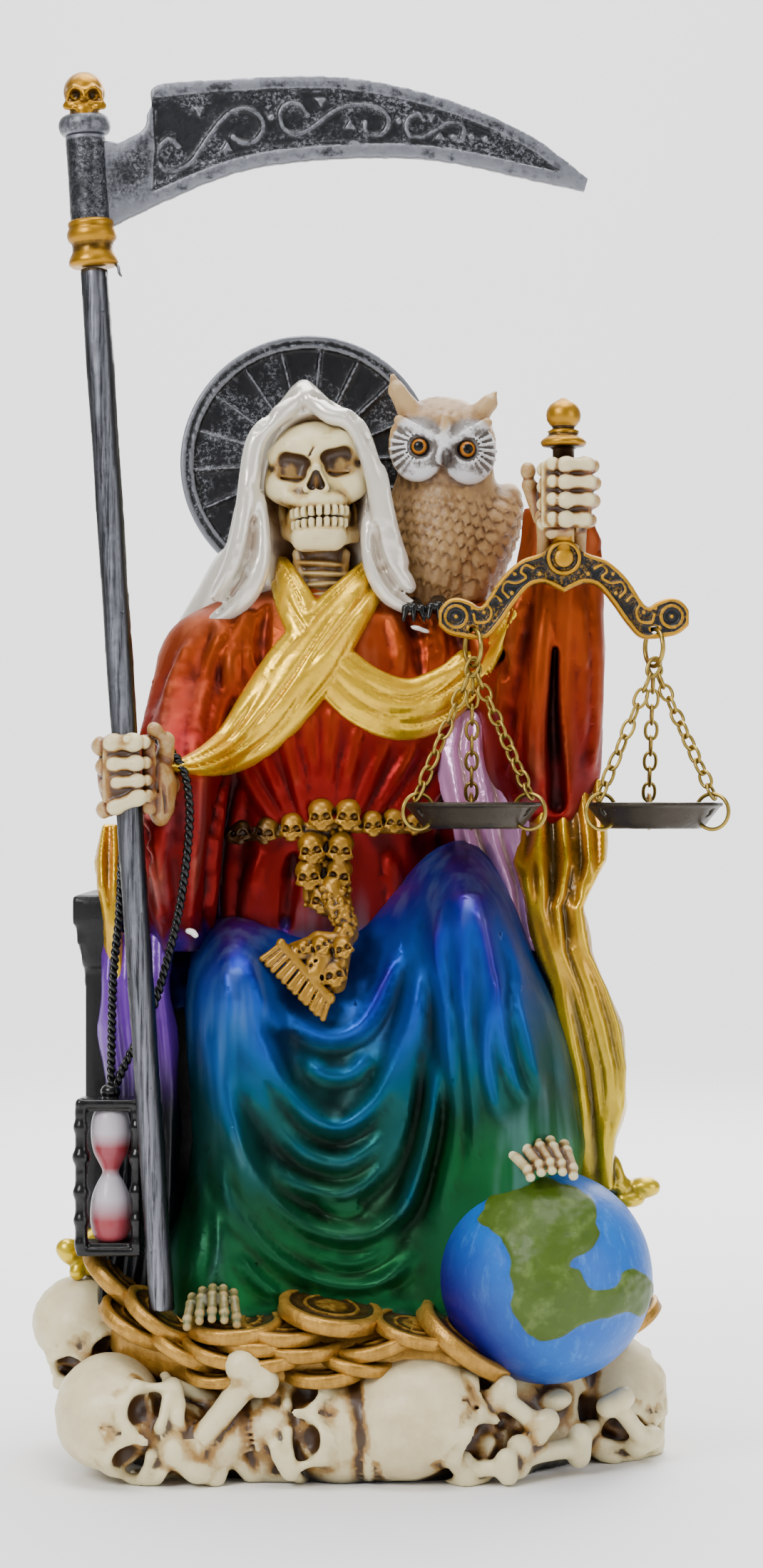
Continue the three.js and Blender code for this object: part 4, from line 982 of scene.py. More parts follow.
def build_coins(material):
    """Thick struck coins that stick out from under the hem, seen on their rims."""
    rng = np.random.default_rng(11)
    half = 0.16
    rim = [(0, -half), (0.78, -half + 0.03), (0.82, -half), (0.93, -half), (1, -half + 0.05), (0.985, 0),
           (1, half - 0.05), (0.93, half), (0.82, half), (0.78, half - 0.05)]
    face = [(0.56, half - 0.05), (0.5, half - 0.01), (0.44, half - 0.05), (0.2, half - 0.02),
            (0, half - 0.02)]
    points, triangles, quads = turned_mesh(rim + face, 64)
    parts = []
    for place, radius, tip_y, tip_x in FRONT_COINS:
        tilt = turned(roll=tip_y) @ turned(pitch=tip_x)
        spin = tilt @ turned(rng.uniform(0, 360))
        middle = np.array(place) - tilt @ np.array([0, -radius, 0])
        parts.append(((points * radius) @ spin.T + middle, triangles, quads))
    for place, tip_x, tip_y in SIDE_COINS:
        spin = turned(rng.uniform(0, 360), tip_x, tip_y)
        parts.append(((points * 8.0) @ spin.T + place, triangles, quads))
    clay = Clay((-58, -48, 20), (66, 26, 42), 0.9)
    clay.eggs([((-8, -30, 25), (36, 9.5, 9), 2), ((-40, -22, 28), (13, 12, 9), 3),
               ((52, -2, 27), (8, 18, 5.5), 3),
               ((14, -32, 26), (14, 7, 8), 3)])
    parts.append(clay.skin(0.2))
    mesh_piece("coins", parts, material)


# Coasts of the front and of the back of the globe, in x and z from its middle
FRONT_COAST = [
    (-15, 14), (-9, 8.6), (-8.4, 1), (-7.8, -5.6), (-2.6, -10.6), (2.4, -9.6), (6.4, -7.6), (12, -6),
    (15, -5.4),
    (21, -7), (23, -1.6), (19, 3.8), (16, 3.2), (13.8, 0.4), (8.6, 0.2), (6.4, 4.4), (4.4, 6), (10.2, 10.2),
    (10.6, 13.4), (8, 20), (-4, 23), (-12, 20), (-15, 14),
]
REAR_COAST = [(-16, 12), (-4, 17), (10, 14), (15, 4), (9, -3), (12, -12), (3, -17), (-3, -9), (-11, -3)]


def build_globe(material):
    radius, middle = 23.8, np.array([41.9, -27.0, 42.3])
    rows, columns = 116, 190
    lat = np.linspace(-math.pi / 2, math.pi / 2, rows + 2)[1:-1]
    lon = np.arange(columns) / columns * 2 * math.pi
    grid = np.stack([np.outer(np.cos(lat), np.cos(lon)), np.outer(np.cos(lat), np.sin(lon)),
                     np.outer(np.sin(lat), np.ones(columns))], -1)
    x, y, z = grid[..., 0] * radius, grid[..., 1] * radius, grid[..., 2] * radius
    waves = ((6, 0.4), (11, 1.7), (17, 2.9), (29, 0.8))
    ragged = sum(np.sin(k * (lon[None, :] + 0.3 * np.sin(5 * lat[:, None])))
                 * np.cos(k * lat[:, None] * 1.3 + 2 * s) / k for k, s in waves) * 5.0
    land = np.where(y < 0, outline_distance(x, z, smooth_path(FRONT_COAST, 150)) + ragged * 0.55, 9)
    land = np.minimum(land, np.where(y > 0, outline_distance(x, z, REAR_COAST) + ragged, 9))
    mask = 1 / (1 + np.exp(np.clip(land * 3.2, -30, 30)))
    bumps = hammered(x, z, 7.0, 4) + 0.5 * hammered(x + y, z, 3.4, 9)
    size = radius - 0.75 + mask * (0.62 + 0.22 * bumps) + 0.03 * (1 - mask) * bumps
    points = (grid * np.minimum(size, radius + 0.3)[..., None]).reshape(-1, 3)
    points = np.vstack([points, [0, 0, -radius], [0, 0, radius]]) + middle
    mesh_piece("globe", [(points, end_fans(rows, columns), ring_quads(rows, columns))], material, cell=0.6,
               land=np.concatenate([mask.ravel(), [0, 0]]))


# Robe: a deep skirt over two knees, and a bodice with wide sleeves

# Left and right edge of the skirt at heights z
SKIRT_EDGES = [
    (33, -49, 44), (44, -46, 47), (56, -38, 50), (70, -35.5, 52), (80, -36, 50.5), (90, -37, 49),
    (100, -37.5, 47), (111, -36.5, 41), (118, -33, 38), (125, -28, 35.5), (132, -24, 31.5), (136, -20, 28),
]
# Folds of the skirt: a path in x and z, then the radius and height of the ridge
SKIRT_FOLDS = [
    ([(-15.8, 100.6), (-10.2, 96), (-4.2, 94), (1.1, 96), (5.1, 101.3), (7.7, 107.9), (10.4, 116.5)], 2.0,
     2.0),
    ([(-24.4, 109.9), (-20.8, 99.3), (-16.8, 87.4), (-12.2, 80.1), (-7.5, 76.1), (-2.6, 74.8), (2.4, 77.4),
      (6.4, 82.1), (10.4, 91.4), (13, 99.3), (14.3, 108.6), (15.6, 118)], 2.5, 3.0),
    ([(-24.1, 98), (-20.5, 84.7), (-16, 76.3), (-10.8, 70), (-5.5, 67.4), (-0.9, 67.4), (5.0, 71.5),
      (9.0, 78.4), (12.6, 88), (15.0, 96.7)], 2.2, 2.4),
    ([(-18.8, 68.5), (-13.5, 63.4), (-7.5, 60.9), (-1.6, 60.4), (4.2, 63.8), (9.8, 71.8), (12.6, 81.4),
      (14.6, 90)], 2.0, 2.2),
    ([(-28.7, 96.4), (-27.2, 82.1), (-24, 70.8), (-19, 62.3), (-12.8, 55.4), (-6.9, 52.0), (0.4, 51.0),
      (6.4, 53), (12.2, 60), (15.9, 71.8), (17.6, 83.4), (17.9, 94.3)], 2.2, 2.7),
    ([(-26.6, 73.4), (-22.6, 61.5), (-17, 53.5), (-10.8, 48.8), (-4.2, 46.2), (1.1, 45.8), (7, 48.4),
      (12.0, 53)], 1.7, 1.7),
    ([(-26, 62.5), (-23.3, 56), (-17, 47.9), (-9.5, 42.6), (-1.6, 40.4), (4.7, 40.9), (9.5, 43.6),
      (14.3, 48.3)], 1.8, 1.9),
    ([(-9.6, 88.5), (-5.0, 85.6), (0.0, 86.2), (3.6, 90.5)], 1.5, 1.2),
    ([(-7.6, 58.4), (-2.4, 56.6), (2.6, 57.6)], 1.3, 1.1),
    ([(-32.4, 113), (-33.6, 107.3), (-33.2, 99.3), (-31.4, 90.7), (-29.9, 80.1), (-28.1, 70.2), (-26.6, 60.2),
      (-25, 50)], 1.9, 1.8),
    ([(-22.4, 113.6), (-20.6, 106.5), (-17.4, 99.6), (-13.4, 94.0)], 1.7, 1.5),
    ([(-36.4, 84), (-36, 76), (-33.8, 67), (-32.4, 57), (-33, 47), (-36, 40)], 1.8, 1.7),
    ([(-29.6, 60), (-28.6, 50), (-29.6, 42)], 1.5, 1.3), ([(-38, 62), (-40, 52), (-44, 42)], 1.7, 1.6),
    ([(-24, 48), (-20, 42), (-15, 38)], 1.5, 1.2), ([(-10, 38.6), (0, 36.8), (10, 38.6)], 1.3, 1.0),
    ([(19.6, 129.4), (18.3, 122), (17.9, 113.5), (19.4, 104.6), (20.7, 94), (21.8, 86.1), (22.5, 78.1),
      (21.6, 70.2), (19.6, 60.9), (17.6, 50)], 1.6, 1.9),
    ([(22.9, 114.9), (23.5, 104.6), (24.5, 96.7), (25.3, 86.7), (26.2, 76.8), (25.4, 66)], 1.3, 1.5),
    ([(18.4, 90), (17.8, 82), (16.8, 75), (15.4, 68), (12.6, 59.5), (9.4, 53)], 1.5, 1.6),
    ([(27.0, 129.5), (28.4, 119.8), (29.8, 111.2), (30.2, 103.6), (29.0, 95.7), (28.9, 88), (30.6, 80.4),
      (33.6, 75)], 1.6, 1.7),
    ([(32.4, 124), (34.8, 115.3), (36.4, 108.5), (36.2, 102.3), (37.6, 95.9), (39.6, 87.2), (41.9, 79.6)],
     1.5, 1.8),
    ([(31.4, 110.6), (31.9, 102.3), (32.6, 93.6), (35.2, 85.2), (38.4, 80)], 1.2, 1.3),
    ([(37, 124), (40.0, 114.4), (42.6, 104.3), (44.8, 94.9), (46.6, 85.2), (48.6, 75.5)], 1.6, 1.9),
    ([(43.4, 107), (46.4, 96), (48.8, 86), (50.4, 77)], 1.2, 1.3),
]
# Top outline of the skirt in x and z: the low knee, the lap and the high knee
SKIRT_TOP = [
    (-50, 112), (-38, 113), (-34, 117), (-30, 119), (-26, 119.6), (-21, 118.8), (-15, 116.6), (-8, 115.4),
    (-2, 115.8), (2, 117.6), (6, 121.4), (11, 127.4), (15, 131.8), (20, 135.4), (25, 136.6), (29, 135.6),
    (33, 131.6), (36.6, 125), (40, 116), (44, 107), (54, 90),
]


def skirt_top(x):
    line = smooth_path(SKIRT_TOP, 120)
    return np.interp(x, line[:, 0], line[:, 1])


def skirt_front(x, z):
    """The y of the skirt's front over x and z: lap, two knees, folds, hem and a faint ripple."""
    low = clamp01((119 - z) / 86)
    under = skirt_top(x) - z
    rise = np.sqrt(clamp01((under + 0.4) / 12))
    lap = 12 * np.sqrt(clamp01((under + 0.4) / 17)) + 7 * low
    left = (17 - 8 * low) * rise * bell((x + 26.5 + 4 * low) / (9.5 + 4 * low))
    shin = 25 + 0.2 * np.clip(136 - z, 0, 66)
    thigh = 10.5 + 5.5 * clamp01((134 - z) / 40)
    right = (23 - 7 * clamp01((120 - z) / 60)) * rise * bell((x - shin) / thigh)
    knees = -smooth_min(-left, -right, 3.0)
    relief = 0.0
    for path, radius, height in SKIRT_FOLDS:
        across, along, _ = path_measure([(px, pz, 1.0) for px, pz in path], x, z, 26)
        fade = clamp01(along / 0.16) * clamp01((1 - along) / 0.16)
        crease = bell(across / radius) - 0.42 * bell((across + 2.0 * radius) / radius)
        relief = relief + height * fade * crease
    hem = 1.4 * bell((z - 34.6) / 2.2) * (0.6 + 0.4 * np.sin(x / 4.2))
    ripple = 0.25 * np.sin(x / 3.1 + z / 7) + 0.2 * np.sin(x / 1.9 - z / 11 + 1)
    return -9 - lap - knees - relief - hem - ripple


def build_skirt(material):
    clay = Clay((-51, -50, 31), (55, 21.5, 138), 0.62)

    def form(x, y, z):
        left, right = read_rows(SKIRT_EDGES, z)
        middle, half = (left + right) / 2, (right - left) / 2
        u = (x - middle) / half
        side = 2.0
        face = side + (skirt_front(x, z) - side) * np.sqrt(clamp01(1 - u * u)) ** 0.35
        gx, gz = np.gradient(face[:, 0, :], float(x.ravel()[1] - x.ravel()[0]))
        slope = np.sqrt(1 + np.minimum(gx * gx + gz * gz, 12))[:, None, :]
        d = np.maximum((face - y) / slope, (np.abs(u) - 1) * half)
        d = -smooth_min(-d, -(y - 20), 2.0)
        hem = 33.2 + 0.9 * np.sin(x / 3.1) + 0.6 * np.sin(x / 1.7 + 1)
        return np.maximum(d, np.maximum(hem - z, z - skirt_top(x)))

    def tint(x, y, z):
        knee = -0.066 * clamp01((z - 108) / 28) * clamp01((x - 4) / 14)
        violet = 0.016 * bell((x - 7) / 6) * clamp01((z - 98) / 16)
        violet = violet + 0.036 * clamp01((z - 113) / 6) * clamp01((0 - x) / 8)
        bands = 0.016 * np.sin(z / 5.0 + ((x + 3) / 12) ** 2) * bell((x + 2) / 20)
        side = 0.055 * clamp01((x - 30) / 14) * clamp01((122 - z) / 26)
        hem = 0.11 * bell((z - 68) / 12) * clamp01((x - 12) / 10)
        return knee + violet + bands - side - hem

    clay.put(((-50, -49, 32.0), (54, 21, 137.0), form))
    clay.keep((-50.6, -49.4, 32), (54.6, 21, 136.7))
    clay_piece("skirt", clay, material, replaces=["figure"], adaptivity=0.07, relief=4.0, reach=4.5,
               tint=tint)


# Stacks of ovals: rows of [z, middle x, middle y, half width, half depth]
TORSO = [(104, -6, 4, 34, 17), (122, -7, 2, 30, 16), (136, -7, 1, 27, 14.5), (150, -7, 0, 29, 16),
         (165, -7, 0, 34, 17.5), (177, -7, 0, 35, 17), (186, -7, 1, 29, 15), (192, -7, 2, 15, 12),
         (197, -7, 3, 8, 9)]
SLEEVE_LEFT = [(112, -38, -8, 6, 10), (120, -38.5, -10, 8, 15), (135, -38.5, -13, 9.5, 19),
               (150, -38, -13, 10, 19),
               (160, -36.5, -8, 10.5, 15), (172, -33.5, -2, 11, 12), (182, -29, 1, 10, 11),
               (189, -24, 3, 6, 7)]
SLEEVE_RIGHT = [(137, 46, -4, 5, 5), (142, 43, -5, 10.5, 10), (152, 42, -6, 13, 13), (167, 42.5, -9, 13, 14),
                (180, 44, -11, 12, 13), (192, 45.5, -14, 10, 11), (202, 46, -18, 8.5, 9.5),
                (209, 44.5, -20, 6.5, 7)]
CAPE = [(98, -4, 12, 44, 16), (125, -5, 11, 43, 16), (150, -5, 11, 41, 16), (170, -5, 10, 37, 15),
        (184, -7, 8, 29, 12), (194, -8, 6, 20, 9)]
HOOD = [(184, -20, 7, 13, 7), (188, -14, 6.5, 19, 9), (192, -8.0, 5, 24.6, 11), (196.1, -8.6, 4, 22.4, 13),
        (202.1, -9.2, 2.5, 19.4, 14.5), (211.4, -9.1, 1.4, 17.1, 15.6), (220.8, -8.9, 1, 15.4, 15.6),
        (226.8, -8.8, 1, 13.2, 14.8), (231.9, -9.4, 1, 9.6, 12.4), (235.0, -10.6, 0, 5.4, 9.4),
        (237.4, -10.9, -2.4, 3.0, 6.4), (238.8, -10.9, -3.6, 1.2, 3.4)]

# Strokes on the bodice in the order they are made: a path in x and z, the radius, how far the ridge
# stands out or the groove goes in, and whether it is a groove
BODICE_STROKES = [
    ([(41.6, 184), (41.4, 172), (41.2, 158), (42, 146)], 1.7, 1.5, False),
    ([(40, 198), (37, 182), (34.4, 166), (33.4, 152)], 1.6, 0.7, True),
    ([(43, 199), (41.6, 180), (40, 160), (39.6, 145)], 1.8, 1.0, False),
    ([(37, 192), (34.6, 178), (32.4, 164)], 1.4, 0.8, False),
    ([(52, 192), (52.8, 172), (52.4, 152)], 1.8, 1.0, False),
    ([(49.4, 190), (50, 174), (50, 156)], 1.2, 0.7, False),
    ([(-27, 152), (-29.6, 140), (-31, 128), (-31.6, 114)], 1.9, 1.3, True),
    ([(-24, 148), (-26, 138), (-27, 126), (-27.4, 116)], 1.4, 0.9, False),
    ([(-42, 166), (-43, 150), (-42, 134), (-40, 120)], 2.0, 1.4, False),
    ([(-46, 160), (-46, 146), (-44, 130)], 1.6, 1.1, True),
    ([(-24, 152), (-20, 145.4), (-16.4, 140.6)], 1.0, 0.9, False),
    ([(-20, 156), (-16.4, 148), (-13.4, 141)], 0.9, 0.8, False),
    ([(-15, 162), (-12.4, 151), (-10.2, 141)], 1.1, 0.9, False),
    ([(-9.6, 165), (-8.4, 153), (-7.2, 141)], 0.8, 0.7, False),
    ([(-4.4, 165), (-5.2, 153), (-5.0, 141)], 1.0, 0.9, False),
    ([(1.4, 161), (-1.2, 150), (-2.8, 141)], 1.1, 0.9, False),
    ([(7.4, 158), (3.4, 149), (0.2, 141)], 0.9, 0.8, False),
    ([(13.4, 157), (8.4, 148.4), (3.6, 141)], 1.1, 0.9, False),
    ([(19.6, 157), (13.4, 148), (8, 141)], 1.0, 0.8, False),
    ([(25, 160), (19, 149), (13, 141)], 1.2, 0.9, False),
    ([(-20, 133), (-22, 126), (-24, 118)], 1.5, 0.7, False),
    ([(-13, 133), (-14, 126), (-15, 117)], 1.2, 0.6, True),
    ([(8, 133), (9, 127), (9, 121)], 1.6, 1.1, False),
    ([(14, 180), (21, 184), (27, 188)], 1.6, 1.0, False),
    ([(-30, 185), (-28, 178), (-24, 168)], 1.5, 0.7, False),
    ([(-27, 186), (-31, 176), (-34, 163), (-35, 150)], 1.5, 0.9, False),
    ([(-23, 187), (-26, 179), (-27.6, 168)], 1.1, 0.7, False),
    ([(-19, 188), (-20, 182), (-20, 174)], 1.0, 0.7, True),
    ([(-36, 180), (-40, 168), (-41, 154)], 1.4, 1.1, False),
    ([(8, 186), (10, 180), (10.5, 173)], 1.0, 0.8, False),
    ([(12, 187), (14.5, 181), (15, 173)], 1.0, 0.7, True),
    ([(17, 186), (19, 180), (19.4, 174)], 1.0, 0.8, False),
    ([(22, 186), (24, 181), (24.6, 176)], 0.9, 0.7, True),
    ([(26, 185), (28, 180), (29, 175)], 0.9, 0.7, False),
    ([(30, 184), (32, 178), (33, 172)], 1.0, 0.7, True),
]


def build_bodice(material):
    """Cape, chest and both sleeves. The clay is handed on, because the belt lies on it."""
    clay = Clay((-52, -36, 97), (58, 30, 212), 0.66)

    def chest(angle, z):
        turns = angle * 2.4 + 0.10 * np.sin(z / 11)
        return (0.7 * ridge(turns, 1.4) - 0.3) * (0.3 + 0.7 * bell((z - 136) / 13)) - 0.2

    def hanging(count, phase, depth):
        def folds(angle, z):
            turns = angle * count / (2 * math.pi) + phase + 0.12 * np.sin(z / 14 + phase)
            return depth * (ridge(turns, 1.4) - 0.4)
        return folds

    clay.put(draped(CAPE, hanging(16, 0.3, 1.2)))
    clay.put(draped(TORSO, chest), 2.5)
    clay.put(draped(SLEEVE_LEFT, hanging(7, 0.15, 1.1)), 3.0)
    clay.put(draped(SLEEVE_RIGHT, hanging(7, 0.45, 1.1)), 2.5)
    clay.egg((35, -3, 176), (13, 10, 15), 5, turn=turned(roll=-24))
    clay.egg((-31, 0, 176), (12, 10, 12), 4, turn=turned(roll=20))
    for stroke in BODICE_STROKES:
        clay.stroke(*stroke, blend=1.6)
    # The slot down the hanging sleeve: rows of [x, z, half width]
    slot = smooth_path([(44.2, 178, 0.7), (44.0, 172, 1.0), (43.9, 165, 1.4), (44.2, 158, 1.9),
                        (44.8, 150, 2.4), (45.0, 144, 2.6)], 40)
    fronts = [clay.depth_at(x, z) or -22.0 for x, z, _ in slot]
    fronts = np.convolve([fronts[0]] * 2 + fronts + [fronts[-1]] * 2, np.full(5, 0.2), "valid")
    for (x, z, wide), front in zip(slot, fronts):
        deep = 0.8 + 1.6 * clamp01((z - 152) / 6)
        clay.bar((x, front - 2, z), (x, front + deep, z), wide * 1.1, wide * 0.7, 0.6, True)
    clay.egg((-43.5, -31, 149), (5.5, 5, 7.5), 1.0, True, turned(yaw=30))
    clay.egg((45.6, -25, 207), (5.2, 6, 6), 1.0, True)
    clay.keep((-72, -50, 98), (69, 31, 211))

    def tint(x, y, z):
        return 0.045 + 0.07 * clamp01((142 - z) / 14) - 0.07 * clamp01((120 - z) / 5)

    clay_piece("bodice", clay, material, adaptivity=0.1, relief=4.0, reach=4.5, tint=tint)
    return clay


def lay_band(clay, field, path, thick, creases, seed):
    """Lays a band of creased cloth along a path on the front of a body, whose field has the same cells."""
    across, along, wide = path_measure(path, *clay.plane())
    share = across / np.maximum(wide, 0.5)
    rounded = np.sqrt(clamp01(1.03 - np.abs(share) ** 2.6))
    lift = thick * rounded * (0.84 + 0.16 * np.sin(share * 2.3 + seed * 3 + along * 3))
    for k in range(creases):
        middle = -0.86 + 1.72 * (k + 0.5) / creases + 0.10 * np.sin(along * (5 + k) + k * 2.1 + seed * 7)
        strong = clamp01(0.55 + 0.7 * np.sin(along * (7 + 1.3 * k) + k * 1.7 + seed * 5))
        width = 0.085 + 0.03 * math.sin(k * 2.2 + seed)
        lift = lift - (0.30 + 0.18 * thick) * strong * bell((share - middle) / width) * rounded
        lift = lift + 0.16 * strong * bell((share - middle - 2.2 * width) / width) * rounded
    sink, behind = 1.4, -1
    d = np.maximum(field - lift[:, None, :], -sink - field)
    d = -smooth_min(-d, -(np.abs(across) - wide)[:, None, :], 0.8)
    d = np.maximum(d, clay.axes[1][None, :, None] - behind)
    clay.field = smooth_min(clay.field, d.astype(np.float32), 0.3)


def build_sash(material):
    """Three bands of cloth laid over the chest, the shoulders and the neck."""
    clay = Clay((-44, -38, 146), (38, 4, 200), 0.5)
    clay.put(draped(TORSO))
    clay.put(draped(SLEEVE_LEFT), 7)
    clay.put(draped(SLEEVE_RIGHT), 7)
    clay.egg((-6.6, -3, 192), (9, 10, 12), 4)
    body, clay.field = clay.field, np.full(clay.field.shape, FAR, np.float32)
    lay_band(clay, body, [(34, 186, 2.5), (30, 180, 3.8), (25, 173, 5.2), (20, 168.4, 6.2), (14, 165.5, 6.8),
                          (8, 165.8, 7.0), (1.5, 169, 6.6), (-4.5, 174.5, 5.8), (-9, 178, 4.5)], 1.9, 6, 0.3)
    lay_band(clay, body, [(-18.4, 201, 2.2), (-16.0, 196, 3.2), (-12.8, 189, 4.4), (-9.5, 182.5, 4.6),
                          (-5, 176, 3.6)], 2.4, 4, 0.1)
    lay_band(clay, body, [(5.8, 200.5, 3.0), (3.6, 194.2, 4.4), (-4.5, 183.5, 6.8), (-11, 174.5, 8.0),
                          (-18, 165, 7.6), (-24.5, 157.8, 5.8), (-31, 154.0, 3.8), (-39, 152.2, 0.9)], 3.4,
                          6, 0.0)
    clay_piece("sash", clay, material, adaptivity=0.03, relief=3.0, reach=None)


# Edges of the hood and veil: rows of [x, y, z, radius]
HOOD_RIMS = [
    [(-10.9, -8.6, 236.2, 1.5), (-13.6, -11.6, 232.4, 1.5), (-17.4, -12.8, 229.2, 1.6),
     (-21.2, -12.8, 224.6, 1.8),
     (-22.6, -12.6, 217, 2.0), (-23.4, -12.4, 209, 2.1), (-24.6, -12.0, 202, 2.2), (-26.6, -11, 196, 2.1),
     (-29.6, -8.6, 191, 1.8)],
    [(-10.9, -8.6, 236.2, 1.5), (-7.6, -11.8, 232.4, 1.5), (-4.6, -13.0, 230.0, 1.5),
     (-1.2, -13.4, 229.4, 1.6),
     (1.4, -13.6, 226.6, 1.7), (3.2, -13.6, 222.0, 1.7), (5.0, -13.4, 216, 1.8), (6.0, -13.2, 210, 1.9),
     (7.0, -12.8, 204, 1.9), (9.0, -12.2, 197.6, 1.8), (12.6, -11.6, 192.4, 1.5)],
    [(-20.8, -11.6, 212, 1.1), (-20.2, -12.2, 204, 1.5), (-20.6, -12.4, 197, 1.9), (-23.4, -11.8, 190.6, 1.9),
     (-28.4, -8.6, 186.4, 1.6), (-33.6, -4.0, 182.6, 1.1)],
    [(3.6, -11.4, 208, 1.0), (3.8, -11.8, 202, 1.4), (5.0, -12.0, 196, 1.7), (8.0, -12.0, 190.8, 1.7),
     (13, -11, 187.6, 1.2)],
]
VEIL_POINT = [(-25, 2.5, 197, 6.2), (-29.5, 6, 190.5, 5.2), (-34.6, 8.4, 184.8, 3.9),
              (-38.6, 9.2, 180.4, 2.6),
              (-41.6, 9.4, 177.0, 1.2)]
HOOD_STROKES = [
    ([(-23, 216), (-24.5, 204), (-27, 196), (-31, 190)], 1.3, 0.7, False),
    ([(-21.6, 208), (-22.4, 200), (-25, 193), (-30, 187)], 1.1, 0.9, True),
    ([(6.4, 220), (8, 208), (10.6, 199), (15, 192.6)], 1.3, 0.9, False),
    ([(5.0, 206), (5.8, 199), (9, 192.6), (13, 189)], 1.0, 0.9, True),
    ([(-9, 235), (-3, 233.4), (2, 228.6), (5, 222)], 1.1, 0.7, True),
    ([(-12.6, 236), (-17.6, 231.8), (-21.6, 226.4)], 1.0, 0.5, True),
]


def build_hood(material):
    clay = Clay((-46, -20, 172), (26, 20, 241), 0.5)

    def folds(angle, z):
        turns = angle * 9 / (2 * math.pi) + 0.02 * (z - 200) + 0.12 * np.sin(z / 7)
        return (1.3 * ridge(turns, 1.5) - 0.6) * clamp01((225 - z) / 16)

    clay.put(draped(HOOD, folds))
    clay.egg((-8.3, -15, 213.5), (11.7, 15.5, 17.6), 1.2, True)
    clay.egg((-7.5, -13, 197), (11.5, 13, 12), 2.5, True)
    # The veil goes on behind the shoulder in a long point
    clay.string(smooth_path(VEIL_POINT, 24), 2.0)
    for rim in HOOD_RIMS:
        clay.string(smooth_path(rim, 40), 1.3)
    for stroke in HOOD_STROKES:
        clay.stroke(*stroke, blend=1.1)
    clay.keep((-43, -19.6, 172), (25.6, 19.6, 241))

    # Painted shade: brown on the inside of the hood, round the face.
    def tint(x, y, z):
        inner = ((x + 8.4) / 12.4) ** 2 + ((z - 213) / 19) ** 2
        return 0.9 * clamp01((1.12 - inner) * 5) * clamp01((y + 12.4) / 5)

    clay_piece("hood", clay, material, adaptivity=0.05, relief=3.2, tint=tint)


# Rods of the head in the order they are set: two ends, two radii and the blend
FACE_BARS = [
    ((-18.2, -8.4, 217), (-17.6, -9.6, 214), 1.6, None, 1.2),
    ((2.2, -8.4, 218), (1.8, -9.6, 215), 1.5, None, 1.2),
    ((-14.2, -13.0, 212.0), (-11.6, -13.6, 211.4), 1.5, 1.0, 1.0),
    # Brow and the bridge of the nose
    ((-17.4, -10.0, 221.4), (-13.8, -12.8, 223.0), 1.5, 1.5, 2.6),
    ((-13.8, -12.8, 223.0), (-9.4, -13.8, 221.4), 1.5, 1.3, 2.6),
    ((1.4, -10.0, 223.0), (-2.4, -12.8, 224.4), 1.5, 1.5, 2.6),
    ((-2.4, -12.8, 224.4), (-6.8, -13.8, 222.0), 1.5, 1.3, 2.6),
    ((-8.2, -13.8, 221.4), (-7.9, -15.4, 218.2), 1.2, 1.0, 1.0),
]
# A pale slab of a chin, and sides set back
JAW_BARS = [
    ((-10.8, -12.2, 202.4), (-4.2, -12.2, 202.6), 2.3, 2.3, 1.0),
    ((-10.6, -12.6, 203.8), (-4.4, -12.6, 204.0), 2.4, 2.4, 2.0),
    ((-11.4, -11.2, 203.0), (-14.2, -5.6, 205), 1.9, 1.7, 1.2),
    ((-14.2, -5.6, 205), (-16.4, -2.4, 212), 1.7, 1.5, 1.0),
    ((-3.6, -11.2, 203.2), (0.4, -6.4, 204.6), 1.9, 1.9, 1.2),
    ((0.4, -6.4, 204.6), (1.6, -3.0, 212.4), 1.9, 1.6, 1.0),
]
# Fine cracks over brow and cheeks: two ends and the radius
FACE_CRACKS = [
    ((-9.0, -15.3, 224.4), (-8.6, -15.6, 222.8), 0.16), ((-8.6, -15.6, 222.8), (-9.2, -15.4, 221.4), 0.3),
    ((-9.2, -15.4, 221.4), (-10.2, -14.9, 220.4), 0.3), ((-6.1, -15.2, 218.8), (-4.6, -14.9, 216.2), 0.32),
    ((-10.1, -15.1, 218.2), (-11.2, -14.7, 216.0), 0.32),
    ((-14.6, -14.8, 212.0), (-13.4, -15.0, 211.8), 0.24),
]


